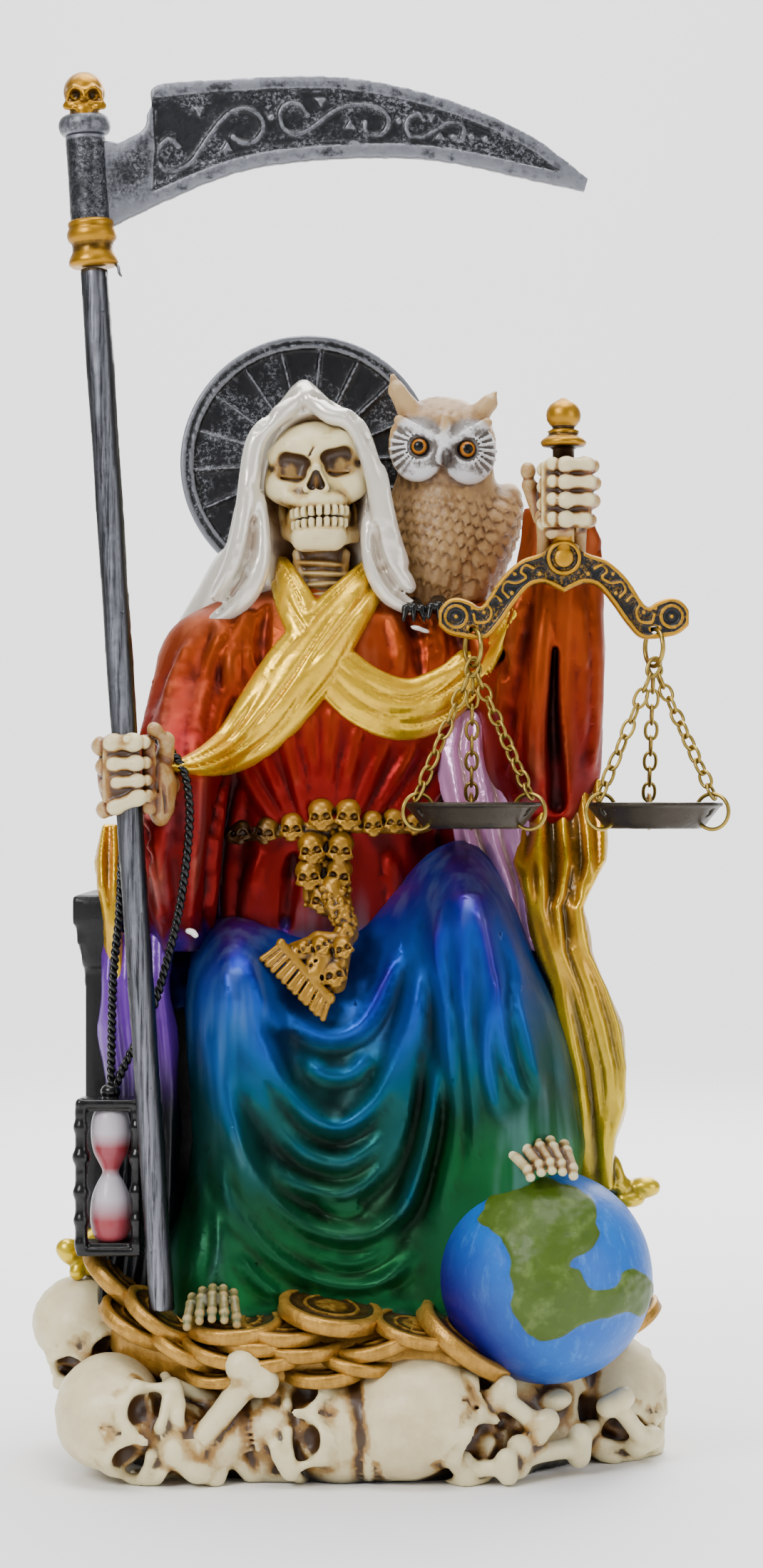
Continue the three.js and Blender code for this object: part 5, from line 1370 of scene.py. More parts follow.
def build_head(material):
    """The skull face, leaned a little to one side, with wide shallow sockets and bared teeth."""
    clay = Clay((-24, -22, 183), (8, 11, 234), 0.27)
    # Cranium, brow and muzzle, then the cheekbones, which hang as round lobes beside the nose
    clay.eggs([((-8.2, -2.0, 219.2), (11.1, 11.0, 10.4), 1.2), ((-8.4, -6.4, 222.4), (10.0, 8.8, 7.2), 2),
               ((-8.0, -8.6, 216.0), (9.6, 5.4, 5.4), 2), ((-7.6, -9.6, 211.8), (6.2, 6.4, 4.8), 2.2),
               ((-15.5, -10.0, 214.2), (3.4, 3.7, 3.3), 3.4, False, turned(roll=-14)),
               ((0.0, -10.0, 214.9), (3.0, 3.7, 3.0), 3.4, False, turned(roll=10))])
    clay.bars(FACE_BARS)
    # Sockets: wide and shallow, lower towards the nose, with a floor that swells a little
    for x, z, roll, lean in ((-13.5, 218.5, 10, 1), (-2.8, 219.8, -14, -1)):
        clay.box((x - 3.6, -22, z - 3.1), (x + 3.6, -11.2, z + 3.2), 2.4, 0.6, True, turned(roll=roll))
        clay.egg((x + lean * 2.3, -15.0, z + 0.9), (2.0, 3.6, 1.6), 0.7, True)
        clay.egg((x - lean * 1.7, -14.6, z + 1.2), (2.1, 3.6, 2.1), 0.7, True)
        clay.egg((x, -3.6, z), (5.0, 7.9, 5.0), 0.5)
        clay.bar((x - 2.2, -11.6, z - 2.5), (x + 2.0, -11.6, z - 2.6), 0.6, 0.5, 0.4, True)
    # Nose: a heart with a raised rim
    for low in ((-10.1, -15.6, 213.7), (-5.9, -15.6, 213.9)):
        clay.bar((-8.0, -15.8, 218.2), low, 0.9, 0.85, 0.5)
    for side in (-1, 1):
        for y in (-17.4, -16.0, -14.8, -13.8):
            clay.bar((-8.0 + side * 0.2, y, 217.5), (-8.0 + side * 0.95, y, 214.5), 0.6, 1.15, 0.2, True)
    for a, b, r in FACE_CRACKS:
        clay.bar(a, b, r, blend=0.2, cut=True)
    clay.egg((-7.4, -6.2, 207), (7.4, 6.4, 8.0), 1.0)
    clay.bars(JAW_BARS)
    # Both rows of teeth: level, radius of the arch, half height, the way the roots point, and the bow
    arch, count, middle_x, middle_y = 62, 9, -7.3, -9.7
    for level, radius, high, root, bow in ((208.9, 6.3, 1.1, 1, 0.15), (206.5, 6.0, 1.05, -1, 0.35)):
        turns = [math.radians(-arch + 2 * arch * i / (count - 1)) for i in range(count)]
        for i, t in enumerate(turns):
            x, y = middle_x + math.sin(t) * radius, middle_y - math.cos(t) * radius
            z = level + (x + 7.3) * 0.07 - 0.035 * (x + 7.3) ** 2 * bow
            half = 0.65 - 0.10 * abs(i - 4) / 4
            clay.box((x - half, y - 0.8, z - high), (x + half, y + 1.4, z + high), 0.5, 0.06,
                     turn=turned(yaw=math.degrees(t)))
            foot = (x - math.sin(t) * 0.25, y + 1.0, z + root * 2.7)
            clay.bar((x, y + 0.7, z + root * 0.9), foot, 0.5, 0.3, 0.5)
        gum = [(middle_x + math.sin(t) * (radius - 1.0), middle_y - math.cos(t) * (radius - 1.1),
                level + root * 2.2 + math.sin(t) * 0.4) for t in turns]
        clay.string(gum, 0.8, 1.25)
    # Neck: a column with rings, two tendons and a notch
    clay.bar((-6.7, -3.5, 184), (-7.0, -3, 206), 6.6, 5.6, 0.8)
    for i in range(6):
        clay.egg((-6.7 + 0.5 * math.sin(i * 2.2), -4.4, 186.2 + i * 2.3), (6.9 - 0.1 * i, 6.2, 1.0), 0.7,
                 turn=turned(roll=4 * math.sin(i * 1.7)))
    for s in (-1, 1):
        clay.bar((-6.6 + s * 3.2, -8.8, 186), (-7 + s * 5.2, -6.0, 200), 1.1, 1.3, 0.6)
    clay.bar((-8.4, -11.4, 193.6), (-5.2, -11.4, 193.4), 0.5, 0.7, 0.4, True)

    # Painted shade on the back of the face inside the hood, on the sides below the cheeks and on the neck;
    # the sockets and the nose are browned too.
    def stain(x, y, z):
        back = clamp01((y + 10.6) / 3.2) * (z > 200)
        sides = clamp01((212.2 - z) / 1.5) * clamp01((np.abs(x + 7.2) - 5.6) / 1.4) * (z > 199.5)
        sockets = np.zeros(len(x))
        for at, level in ((-13.6, 218.5), (-2.7, 219.8)):
            gap = np.sqrt(((x - at) / 4.0) ** 2 + ((z - level) / 3.9) ** 2)
            sockets = np.maximum(sockets, clamp01((1.1 - gap) * 5) * clamp01((y + 14.3) / 1.2))
        gap = np.sqrt(((x + 7.95) / 1.8) ** 2 + ((z - 215.6) / 2.7) ** 2)
        nose = clamp01(1.5 - gap) * clamp01((y + 15.6) / 0.8)
        neck = 0.6 * (z < 200.4) + 0.3 * clamp01((200.4 - z) / 2) * (z > 196)
        return np.maximum.reduce([0.85 * back, 0.8 * sides, 0.85 * sockets, nose, clamp01(neck)])

    clay_piece("head", clay, material, adaptivity=0.05, reach=2.2, stain=stain)


# Owl on the shoulder

OWL_EYES = [(-1, 14.9, 223.4), (1, 25.2, 222.8)]


def plumage(x, y, z):
    """Rows of scale-like feathers down the body, and fine ones on the head."""
    tilt = math.radians(14)
    high = (z - 206) * math.cos(tilt) + (x - 20) * math.sin(tilt)
    around = np.arctan2(x - 20 - (z - 206) * 0.24, -(y - 2)) * 11.5
    size = 2.5 + 0.9 * clamp01((202 - z) / 12)
    u = around / (size * 1.05) + 0.5 * np.mod(np.floor(high / size), 2)
    u = u - np.floor(u) - 0.5
    s = high / size + 0.42 * (2 * u) ** 2
    s = s - np.floor(s)
    quill = 0.18 * bell(u / 0.07)
    barbs = 0.06 * np.cos((s * 9 + np.abs(u) * 7) * 2 * math.pi)
    scale = (0.62 * (1 - s) ** 1.3 - 0.24 + quill + barbs) * clamp01((216 - z) / 5)
    head = clamp01((z - 214) / 6)
    return scale + 0.16 * np.cos(around * 2.6 + 0.9 * np.cos(z * 1.5)) * np.cos(z * 1.15 + x * 0.5) * head


def build_owl(feathers, eye, dark):
    clay = Clay((4, -16, 182), (42, 17, 240), 0.4)
    clay.eggs([((20.4, 1.5, 206), (12.0, 10.6, 19.5), 0.0, False, turned(roll=14)),
               ((20, -1.2, 225), (12, 10.3, 10.6), 3),
               ((29.2, 3, 201), (6.3, 8.6, 17), 2.0, False, turned(roll=24)),
               ((11.4, 4, 205), (4.5, 8, 17), 1.6, False, turned(roll=6)),
               ((24, 10, 197), (10, 5, 19), 2.5, False, turned(roll=10))])
    clay.swell(plumage)
    for side, ex, ez in OWL_EYES:
        clay.egg((ex + side * 0.6, -8.6, ez - 0.4), (6.2, 2.8, 7.2), 0.9, turn=turned(yaw=side * 14))
        clay.egg((ex, -12.4, ez), (2.7, 2.4, 2.7), 0.8, True)
        for i in range(22):
            t = 2 * math.pi * i / 22
            a = (ex + 3.0 * math.cos(t), -11.6, ez + 3.0 * math.sin(t))
            b = (ex + side * 0.5 + 6.0 * math.cos(t), -9.0 - 0.3 * math.cos(2 * t),
                 ez + 6.6 * math.sin(t) - 0.3)
            clay.bar(a, b, 0.34, 0.5, 0.25)
    clay.bar((20.4, -10.4, 229.5), (20.2, -11.8, 221), 1.4, 1.9, 1.0)
    for a, b, c, r in (((13.8, -6, 230), (9.8, -7, 236.4), (8.8, -6.4, 239.6), 3.1),
                       ((26.6, -6, 229.6), (30.4, -7, 233.6), (31.6, -6.2, 235.8), 3.0)):
        clay.bar(a, b, r, r * 0.6, 1.6)
        clay.bar(b, c, r * 0.6, 0.5, 0.8)
        for k in range(3):
            shift = np.array([0.9 * (k - 1), -r * 0.62, 0.4 * (k - 1)])
            clay.bar(np.array(a) + shift, np.array(c) + shift * 0.3, 0.7, 0.35, 0.3)
    for side, ex, ez in OWL_EYES:
        clay.bar((20.3 + side * 1.2, -11.6, ez + 1.6), (ex + side * 4.6, -9.6, ez + 6.0), 1.0, 1.2, 0.7)
    clay.bar((20.6, -12.0, 222.6), (20.7, -13.6, 220.8), 1.35, 0.9, 0.5)
    clay.bar((20.7, -13.6, 220.8), (20.7, -13.1, 218.8), 0.9, 0.35, 0.4)

    def face(x, y, z):
        pale = np.zeros(len(x))
        for side, ex, ez in OWL_EYES:
            d = np.sqrt(((x - ex - side * 0.5) / 6.6) ** 2 + ((z - ez + 0.3) / 7.6) ** 2)
            pale = np.maximum(pale, clamp01((1.02 - d) * 7) * (y < -6.4))
        return pale

    def beak(x, y, z):
        return clamp01((1 - np.sqrt(((x - 20.7) / 1.6) ** 2 + ((z - 220.7) / 2.7) ** 2)) * 4) * (y < -12)

    clay_piece("owl", clay, feathers, adaptivity=0.08, relief=2.0, reach=None, face=face, beak=beak)
    arc = [(math.sin(math.radians(a)), -math.cos(math.radians(a))) for a in range(9, 180, 9)]
    points, triangles, quads = turned_mesh([(0, -1)] + arc + [(0, 1)], 32)
    face_on = np.array([[1, 0, 0], [0, 0, -1], [0, 1, 0]], float)
    parts = [((points * 2.15) @ (turned(yaw=side * 10) @ face_on).T + (ex, -10.4, ez), triangles, quads)
             for side, ex, ez in OWL_EYES]
    iris = np.concatenate([np.hypot(points[:, 0], points[:, 1]) + (points[:, 2] < 0)] * 2)
    mesh_piece("owl_eyes", parts, eye, cell=None, iris=iris)
    claws = Clay((8, -18, 181), (30, -2, 195), 0.3)
    for cx, cy, cz in ((13.5, -11.0, 187.0), (19.0, -11.5, 187.4)):
        for k in (-1, 0, 1):
            knee = (cx + k * 1.7, cy - 2.2, cz + 0.8 - abs(k) * 0.3)
            claws.bar((cx + k * 0.6, cy + 3, cz + 2.2), knee, 1.1, 0.95, 0.4)
            claws.bar(knee, (cx + k * 2.3, cy - 3.2, cz - 2.2), 0.95, 0.4, 0.3)
    clay_piece("owl_claws", claws, dark)


# Halo: a spoked disc with a raised rim

def build_halo(material):
    cx, cy, cz, radius, spokes = -10.4, 15.0, 222.3, 29.2, 18
    clay = Clay((cx - 30, cy - 2, cz - 30), (cx + 30, cy + 2, cz + 30), 0.4)

    def disc(x, y, z):
        r = np.sqrt((x - cx) ** 2 + (z - cz) ** 2)
        spoke = np.mod(np.arctan2(x - cx, z - cz) / (2 * math.pi) * spokes + 0.18, 1.0) - 0.5
        across = np.abs(spoke) * 2 * math.pi / spokes * r
        rim = clamp01((r - (radius - 3.4)) / 0.5)
        line = 0.75 * bell(across / 0.42) * clamp01((r - 8) / 1.0)
        groove = 0.4 * bell((r - radius + 1.7) / 0.35)
        grain = 0.10 * np.sin(x * 2.9 + 1.3 * np.sin(z * 1.7)) * np.sin(z * 3.1 + 1.1 * np.sin(x * 2.3))
        half = 0.55 + np.maximum(rim * (0.95 - groove), line * (1 - rim)) + grain * (0.4 + 0.6 * (1 - rim))
        return np.maximum(np.abs(y - cy) - half, r - radius)

    clay.put(((cx - radius, cy - 2, cz - radius), (cx + radius, cy + 2, cz + radius), disc))
    clay_piece("halo", clay, material, "blackened_silver", adaptivity=0.1)


# Belt: a row of small skulls, a hanging double column, and a fan of small bones at the end

# Each skull: x, z, size, roll, yaw and how far it stands out
BELT_ROW = [
    (-24.4, 137.4, 2.5, -6, -25, 0.0), (-18.8, 137.6, 2.6, 5, -18, 0.3), (-13.2, 138.4, 2.75, 0, -8, 0.7),
    (-6.8, 141.0, 3.0, -4, -4, 1.2), (-1.0, 141.0, 3.0, 4, 4, 1.2), (4.4, 139.2, 2.5, -5, 6, 0.9),
    (9.0, 139.8, 2.4, 4, 14, 0.9), (13.2, 139.2, 2.2, 0, 22, 0.7),
]
BELT_COLUMN = [
    (-9.0, 133.6, 3.0, -8, 0, 2.0), (-2.6, 133.6, 3.0, 6, 0, 2.0), (-9.6, 127.8, 3.0, -5, 0, 2.0),
    (-3.0, 128.0, 3.0, 8, 0, 2.0), (-6.6, 122.6, 3.0, 0, 0, 2.0),
]
# The plate of the fan: two ends, radius, no second radius, and the blend
FAN_PLATE = [
    ((-2.0, -22.6, 114.6), (-7.4, -22.6, 115.0), 1.8, None, 0.8),
    ((-7.4, -22.6, 115.0), (-13.0, -22.6, 112.8), 1.4, None, 0.8),
    ((-2.0, -22.8, 114.0), (-3.4, -24.4, 105.4), 2.2, None, 0.8),
    ((-6.0, -22.8, 113.0), (-7.6, -24.0, 107.4), 3.0, None, 0.8),
    ((-6.0, -22.8, 113.0), (-11.6, -23.4, 112.0), 2.2, None, 0.8),
]
# Each skull of the fan: x, z, size and roll
FAN_SKULLS = [(-1.9, 112.8, 2.3, -20), (-6.6, 113.4, 2.0, -30), (-10.2, 113.2, 1.5, -44),
              (-3.8, 107.0, 2.7, -12), (-8.4, 109.6, 1.5, -40)]


def build_belt(body, material):
    clay = Clay((-32, -31, 94), (20, -8, 145), 0.26)

    def front(x, z, missing=-16.0):
        depth = body.depth_at(x, z)
        return missing if depth is None else depth

    def set_skull(x, z, size, roll, yaw, out):
        place = (x, front(x, z) - 0.15 * size - out, z + 0.25 * size)
        skull(clay, place, size, turned(yaw, 0.0, roll), jaw=False, teeth=size > 2.3)

    line = smooth_path([(-26.6, 137.3), (-25, 137.4), (-12, 139), (0, 139.6), (12, 139.4), (19, 139.8)], 26)
    spots = [(x, front(x, z, -15) + 0.2, z) for x, z in line]
    for a, b in zip(spots, spots[1:]):
        if abs(a[1] - b[1]) < 4:
            clay.bar(a, b, 1.6, blend=0.5)
    for row in BELT_ROW:
        set_skull(*row)
    for low_z, high_z, left, right in ((122.4, 138.4, -9.6, -2.0), (119.6, 124.0, -6.0, -1.6)):
        y = front((left + right) / 2, (low_z + high_z) / 2) - 0.4
        clay.box((left - 1.4, y - 1.2, low_z), (right + 1.6, y + 2.4, high_z), 1.2, 0.6)
    rng = np.random.default_rng(21)
    for _ in range(46):
        x, z = rng.uniform(-10.4, -0.8), rng.uniform(122, 139)
        clay.egg((x, front(x, z) - 2.0, z), (rng.uniform(0.6, 1.0),) * 3, 0.15)
    for row in BELT_COLUMN:
        set_skull(*row)
    # A cluster of beads leads to the plate of the fan
    clay.bar((-4.6, -17.4, 126), (-0.8, -21.0, 116), 2.3, 2.3, 1.0)
    rng = np.random.default_rng(8)
    for _ in range(60):
        t, turn = rng.uniform(0, 1), rng.uniform(-1.5, 1.5)
        middle = np.array([-4.6 + 3.8 * t, -17.4 - 3.6 * t, 126 - 10 * t])
        place = middle + (2.5 * math.sin(turn), -2.5 * math.cos(turn), 0)
        clay.egg(place, (rng.uniform(0.6, 0.95),) * 3, 0.1)
    clay.bars(FAN_PLATE)
    for x, z, size, roll in FAN_SKULLS:
        skull(clay, (x, -24.6, z), size, turned(0, -14, roll), jaw=False, teeth=size > 2.3)
    # The fan: a rib with small bones along it, over a plate
    high, low = np.array([-15.4, -24.6, 114.0]), np.array([-4.7, -26.4, 102.3])
    clay.bar(high, low, 0.95, 0.95, 0.15)
    clay.egg(high, (1.1, 1.1, 1.3), 0.2)
    clay.egg(low, (1.2, 1.1, 1.3), 0.2)

    def outward(t, reach, y):
        turn = math.radians(218 + 32 * t)
        return np.array([math.cos(turn) * reach, y, math.sin(turn) * reach])

    for i in range(12):
        t = i / 11
        a = high + (low - high) * t
        b = a + outward(t, 5.2, -0.3) * (1 - 0.12 * t)
        middle = (a + b) / 2 + (0, -0.3, 0)
        clay.bar(a, middle, 0.62, 0.58, 0.05)
        clay.bar(middle, b, 0.58, 0.72, 0.05)
    for t in (0.1, 0.3, 0.5, 0.7, 0.9):
        a = high + (low - high) * t
        clay.bar(a + (0, 0.7, 0), a + outward(t, 4.2, 0.4), 1.2, blend=0.5)

    # Painted shade: the left end of the belt darkened where it sinks into the folds.
    def stain(x, y, z):
        return 0.9 * clamp01((-14.6 - x) / 6) * (z > 130)

    clay_piece("belt", clay, material, adaptivity=0.07, reach=1.4, stain=stain)


# Hands and feet

SHAFT_TOP, SHAFT_FOOT = np.array([-54.9, -37.0, 258.6]), np.array([-40.4, -37.0, 36.4])


def phalanx(clay, a, b, thick):
    """A small bone with a waist, and two knobs side by side at each end."""
    a, b = np.array(a, float), np.array(b, float)
    along = (b - a) / np.linalg.norm(b - a)
    side = np.cross(along, (0, 1, 0))
    side /= max(np.linalg.norm(side), 0.2)
    middle = (a + b) / 2
    clay.bar(a, middle, thick * 0.92, thick * 0.74, 0.3)
    clay.bar(middle, b, thick * 0.74, thick * 0.92, 0.3)
    for end, way in ((a, 1), (b, -1)):
        for s in (-1, 1):
            knob = end + along * way * thick * 0.3 + side * s * thick * 0.44
            clay.egg(knob, (thick * 0.5, thick * 0.62, thick * 0.5), 0.4)


def build_scythe_hand(material):
    clay = Clay((-58, -47, 132), (-32, -12, 164), 0.27)
    clay.egg((-50.6, -35.2, 151.0), (3.8, 4.6, 8.2), 1.0)
    clay.egg((-41.0, -33.6, 147.4), (3.4, 5.2, 7.8), 1.0)
    # Each finger: height, radius, left and right end, and how far it slopes
    fingers = [(157.4, 2.25, -53.0, -44.9, 0.1), (153.0, 2.0, -52.4, -44.5, 0.1),
               (149.2, 1.8, -51.6, -44.3, 0.3), (145.3, 2.0, -52.2, -44.0, 1.5)]
    for z, r, left, right, drop in fingers:
        tip_low = (right + 0.9, -41.2, z + 0.1 + drop * 0.5)
        tip_high = (right + 1.6, -38.4, z + 0.2 + drop * 0.6)
        phalanx(clay, (left + r, -41.0, z - drop), (right - r * 0.5, -41.9, z + drop * 0.4), r)
        phalanx(clay, tip_low, tip_high, r * 0.72)
        clay.egg((left - 0.5, -38.6, z - drop - 0.6), (1.6, 2.6, r * 0.98), 0.4)
        clay.bar((left - 0.6, -37.6, z - drop - 0.6), (left + 0.4, -33, z - drop - 0.4), r * 0.85, blend=0.4)
        groove = (left + 3.0, -44.2, z - drop * 0.5 + 0.1), (right - 2.6, -44.6, z + drop * 0.3 + 0.3)
        clay.bar(*groove, 0.16, 0.3, 0.2, True)
    clay.box((-52.8, -41.7, 144.6), (-44.6, -40.4, 157.6), 0.6, 0.3)
    clay.egg((-47.4, -43.6, 158.2), (0.9, 0.6, 0.8), 0.3)
    phalanx(clay, (-39.6, -37.2, 158.0), (-42.0, -39.6, 160.4), 1.6)
    clay.bar((-40.2, -33, 153), (-39.4, -37, 158), 2.2, 1.7, 0.8)
    clay.bar((-39.8, -31.6, 148.6), (-38.0, -17, 147), 2.8, 3.0, 0.8)
    clay.bar((-40.2, -31.0, 143.6), (-38.6, -18, 143), 2.2, 2.4, 0.8)
    for i in range(3):
        clay.bar((-38.6 - i * 1.6, -39.6, 152 - i), (-38.4 - i * 1.2, -37, 141.6 + i), 0.35, 0.3, 0.5, True)
    clay.bar((-43.2, -38.6, 156.4), (-43.0, -38.2, 143.6), 1.5, blend=0.5)
    clay.bar(SHAFT_FOOT, SHAFT_TOP, 3.2, 3.5, 0.0, True)

    # Painted shade on the palm and on all that sits back behind the front of the fingers.
    def stain(x, y, z):
        palm = clamp01((x + 43.4) / 1.0) * clamp01((158.4 - z) / 2)
        return np.maximum(palm, 0.9 * clamp01((y + 42.2) / 0.8))

    clay_piece("hand_on_scythe", clay, material, adaptivity=0.05, reach=1.8, stain=stain)


def build_scale_hand(material):
    clay = Clay((34, -40, 190), (56, -16, 224), 0.27)
    clay.egg((46.0, -28.6, 210.6), (6.2, 4.4, 8.4), 1.0)
    # Each finger: height, radius and right end
    for z, r, right in ((216.9, 2.0, 52.0), (213.2, 2.0, 52.4), (209.4, 2.05, 52.2), (205.3, 2.0, 51.4)):
        phalanx(clay, (44.6 + r * 0.5, -35.6, z), (right - r * 0.8, -34.4, z + 0.1), r)
        phalanx(clay, (40.4 + r * 0.4, -33.0, z - 0.8), (43.9 - r * 0.4, -35.0, z + 0.2), r * 0.86)
        clay.bar((right - 0.4, -33.0, z), (right - 1.0, -28, z - 0.2), r * 0.82, r * 0.7, 0.4)
        clay.bar((46.6, -37.6, z + 0.2), (50.2, -36.6, z + 0.4), 0.3, 0.14, 0.2, True)
    clay.box((40.6, -35.2, 203.6), (51.4, -33.6, 217.8), 0.6, 0.3)
    phalanx(clay, (42.6, -33.4, 202.4), (46.6, -34.2, 202.8), 1.2)
    clay.egg((38.0, -29.6, 216.2), (1.7, 2.4, 2.0), 0.3)
    clay.egg((38.2, -29.0, 213.4), (1.5, 2.2, 1.7), 0.3)
    clay.bar((38.4, -28.6, 213), (40.8, -27.6, 206), 1.7, 1.6, 0.5)
    phalanx(clay, (41.0, -30.6, 206.4), (41.4, -27.0, 197), 1.7)
    clay.bar((45.6, -27.6, 203), (45.4, -22, 193), 2.4, 2.7, 0.6)
    clay.bar((49.0, -27.2, 203), (48.4, -22, 193), 1.8, 2.2, 0.6)
    clay.bar((45.6, -30, 198), (45.6, -30, 222), 2.6, None, 0.0, True)

    # Painted shade on what sits back behind the front of the fingers, and below them.
    def stain(x, y, z):
        tips = clamp01((y + 35.9 - 2.2 * (x < 43.8)) / 0.8)
        return 0.9 * np.maximum(tips, clamp01((204.0 - z) / 2) * 0.8)

    clay_piece("hand_on_scales", clay, material, adaptivity=0.05, reach=1.8, stain=stain)


def build_feet(material):
    clay = Clay((-42, -50, 31), (56, -22, 79), 0.36)

    def foot(first, step, rise, along, turn, back, r):
        """Five toe bones side by side, each with a knob behind and a small tip in front."""
        for i in range(5):
            heel = np.array([first[0] + step * i, back, first[1] + rise * (i - i * i / 4.6)])
            reach = np.array([along[0] + turn * i, -3.4, along[1] - 0.12 * i])
            front = heel + reach
            tip = front + (0.16 * reach[0], -0.8, -1.5)
            behind = heel + (-0.3 * reach[0], 2.6, 1.2)
            clay.bar(heel, front, r * 0.9, r * 0.86, 0.2)
            clay.bar(front, tip, r * 0.74, blend=0.2)
            clay.bar(heel, behind, r * 0.78, blend=0.2)
            for spot, size in ((heel, 1.02), (front, 1.0), (tip, 0.82), (behind, 0.9)):
                clay.egg(spot, (r * size,) * 3, 0.15)
        middle = (first[0] + step * 2 + along[0] / 2, back + 2.2, first[1] + rise + along[1] / 2)
        clay.egg(middle, (step * 2.0, 4.2, 2.0), 0.4)

    foot((-34.2, 37.9), 2.3, 1.7, (-0.5, -2.6), 0.3, -38.6, 1.16)
    foot((34.6, 69.6), 2.8, 1.5, (2.9, -2.8), -0.45, -37.2, 1.3)

    # The left foot is darkened almost all over, painted shade under the hem with an olive wash; the right
    # foot is lightly stained and darkened as painted shade where it sits back.
    def stain(x, y, z):
        return np.where(x < 0, 0.95, 0.1) + 0.4 * clamp01((y + 38) / 3) * (x > 0)

    clay_piece("feet", clay, material, adaptivity=0.05, reach=1.8, stain=stain)


# Chains and pans

SCALE_MIDDLE = np.array([45.6, -30.0, 197.3])
HANGER_OUT, HANGER_DOWN = 19.5, 15.2
PAN_RIM = 144.8
PAN_ANGLES = (90, 210, 330)


def ray(degrees):
    return np.array([math.cos(math.radians(degrees)), math.sin(math.radians(degrees)), 0])


def chain_links(start, end, out):
    """Oval links from one ring to the next, each a quarter turn from the one before."""
    along = end - start
    span = np.linalg.norm(along)
    along /= span
    count = int(math.floor((span - 1.0) / 3.3 / 2 + 0.5)) * 2 + 1
    pitch = (span - 1.0) / (count - 1)
    flatten = [v - along * (v @ along) for v in (np.array([0, 1.0, 0]), out)]
    first, last = (v / np.linalg.norm(v) for v in flatten)
    twist = math.atan2(np.cross(first, last) @ along, first @ last)
    twist -= round(twist / math.pi) * math.pi
    side = np.cross(along, first)
    links = []
    for k in range(count):
        turn = k * math.pi / 2 + twist * k / (count - 1)
        across = np.cross(first * math.cos(turn) + side * math.sin(turn), along)
        middle = start + along * (0.5 + k * pitch)
        links.append(loop(middle, along, across, pitch / 2 + 0.34, 1.28, 0.38, 22, 8, 0.9))
    return links


def build_dish(word, x, bronze):
    dish = Clay((x - 16, -46, PAN_RIM - 7), (x + 16, -14, PAN_RIM + 1), 0.45)

    def bowl(px, py, pz):
        r = np.sqrt((px - x) ** 2 + (py + 30) ** 2)
        t = np.arctan2(py + 30, px - x)
        z = pz - PAN_RIM
        dent = 0.10 * np.sin(5 * t + 1) + 0.06 * np.sin(13 * t)
        wall = 10.4 + 3.9 * clamp01((z + 5.7) / 4.8)
        body = np.maximum((r - wall) * 0.78, np.abs(z + 2.85) - 2.85)
        lip = np.maximum(np.abs(r - 14.2) - 0.55, np.abs(z + 0.45) - 0.42) - 0.05
        inside = np.maximum((r - wall + 1.25) * 0.78, -(z + 4.6))
        d = np.maximum(np.minimum(body, lip), -inside)
        ripple = 0.07 * np.cos(r * 2.4)
        return d + dent * 0.5 + ripple * (z < -4)

    dish.put(((x - 15, -45, PAN_RIM - 6), (x + 15, -15, PAN_RIM), bowl))
    for angle in PAN_ANGLES:
        out = ray(angle)
        a = np.array([x, -30.0, PAN_RIM]) + out * 13.4
        dish.bar(a + out * 1.6 - (0, 0, 1.8), a - out * 2.2 - (0, 0, 2.2), 0.7, None, 0.1, True)
    dish.keep((x - 14.8, -44.8, PAN_RIM - 5.7), (x + 14.8, -15.2, PAN_RIM))
    clay_piece(f"dish_{word}", dish, bronze, "dark_bronze", [f"pan_{word}"], adaptivity=0.03)


def build_chains(brass, bronze):
    def wires(name, parts, replaced):
        mesh_piece(name, parts, brass, "antique_brass", [replaced], 0.3)

    for word, side in (("left", -1), ("right", 1)):
        x = SCALE_MIDDLE[0] + side * HANGER_OUT
        centre = np.array([x, -30.0, SCALE_MIDDLE[2] - HANGER_DOWN - 4.0])
        hanger = loop(centre, (0, 0, 1), turned(yaw=24) @ (0, 1, 0), 4.0, 4.0, 0.52, 40, 12)
        wires(f"hanger_{word}", [hanger], f"hanger_ring_{word}")
        rim = np.array([x, -30.0, PAN_RIM])
        # The upper ends of the three chains lie side by side in the hanger ring
        for i, (angle, shift) in enumerate(zip(PAN_ANGLES, (1.25, -1.25, 0.0)), 1):
            out = ray(angle)
            ring = loop(rim + out * 13.7 - (0, 0, 2.0), (0, 0, 1), out, 3.8, 3.8, 0.43, 44, 12)
            wires(f"pan_loop_{word}_{i}", [ring], f"pan_ring_{word}_{i}")
            start = centre + (0, shift, -math.sqrt(16 - shift * shift))
            end = rim + out * 13.7 + (0, 0, 1.8)
            wires(f"links_{word}_{i}", chain_links(start, end, out), f"chain_{word}_{i}")
        build_dish(word, x, bronze)


# Scythe: a flat cast blade with relief worked out over a plane in x and z, its fittings and the shaft

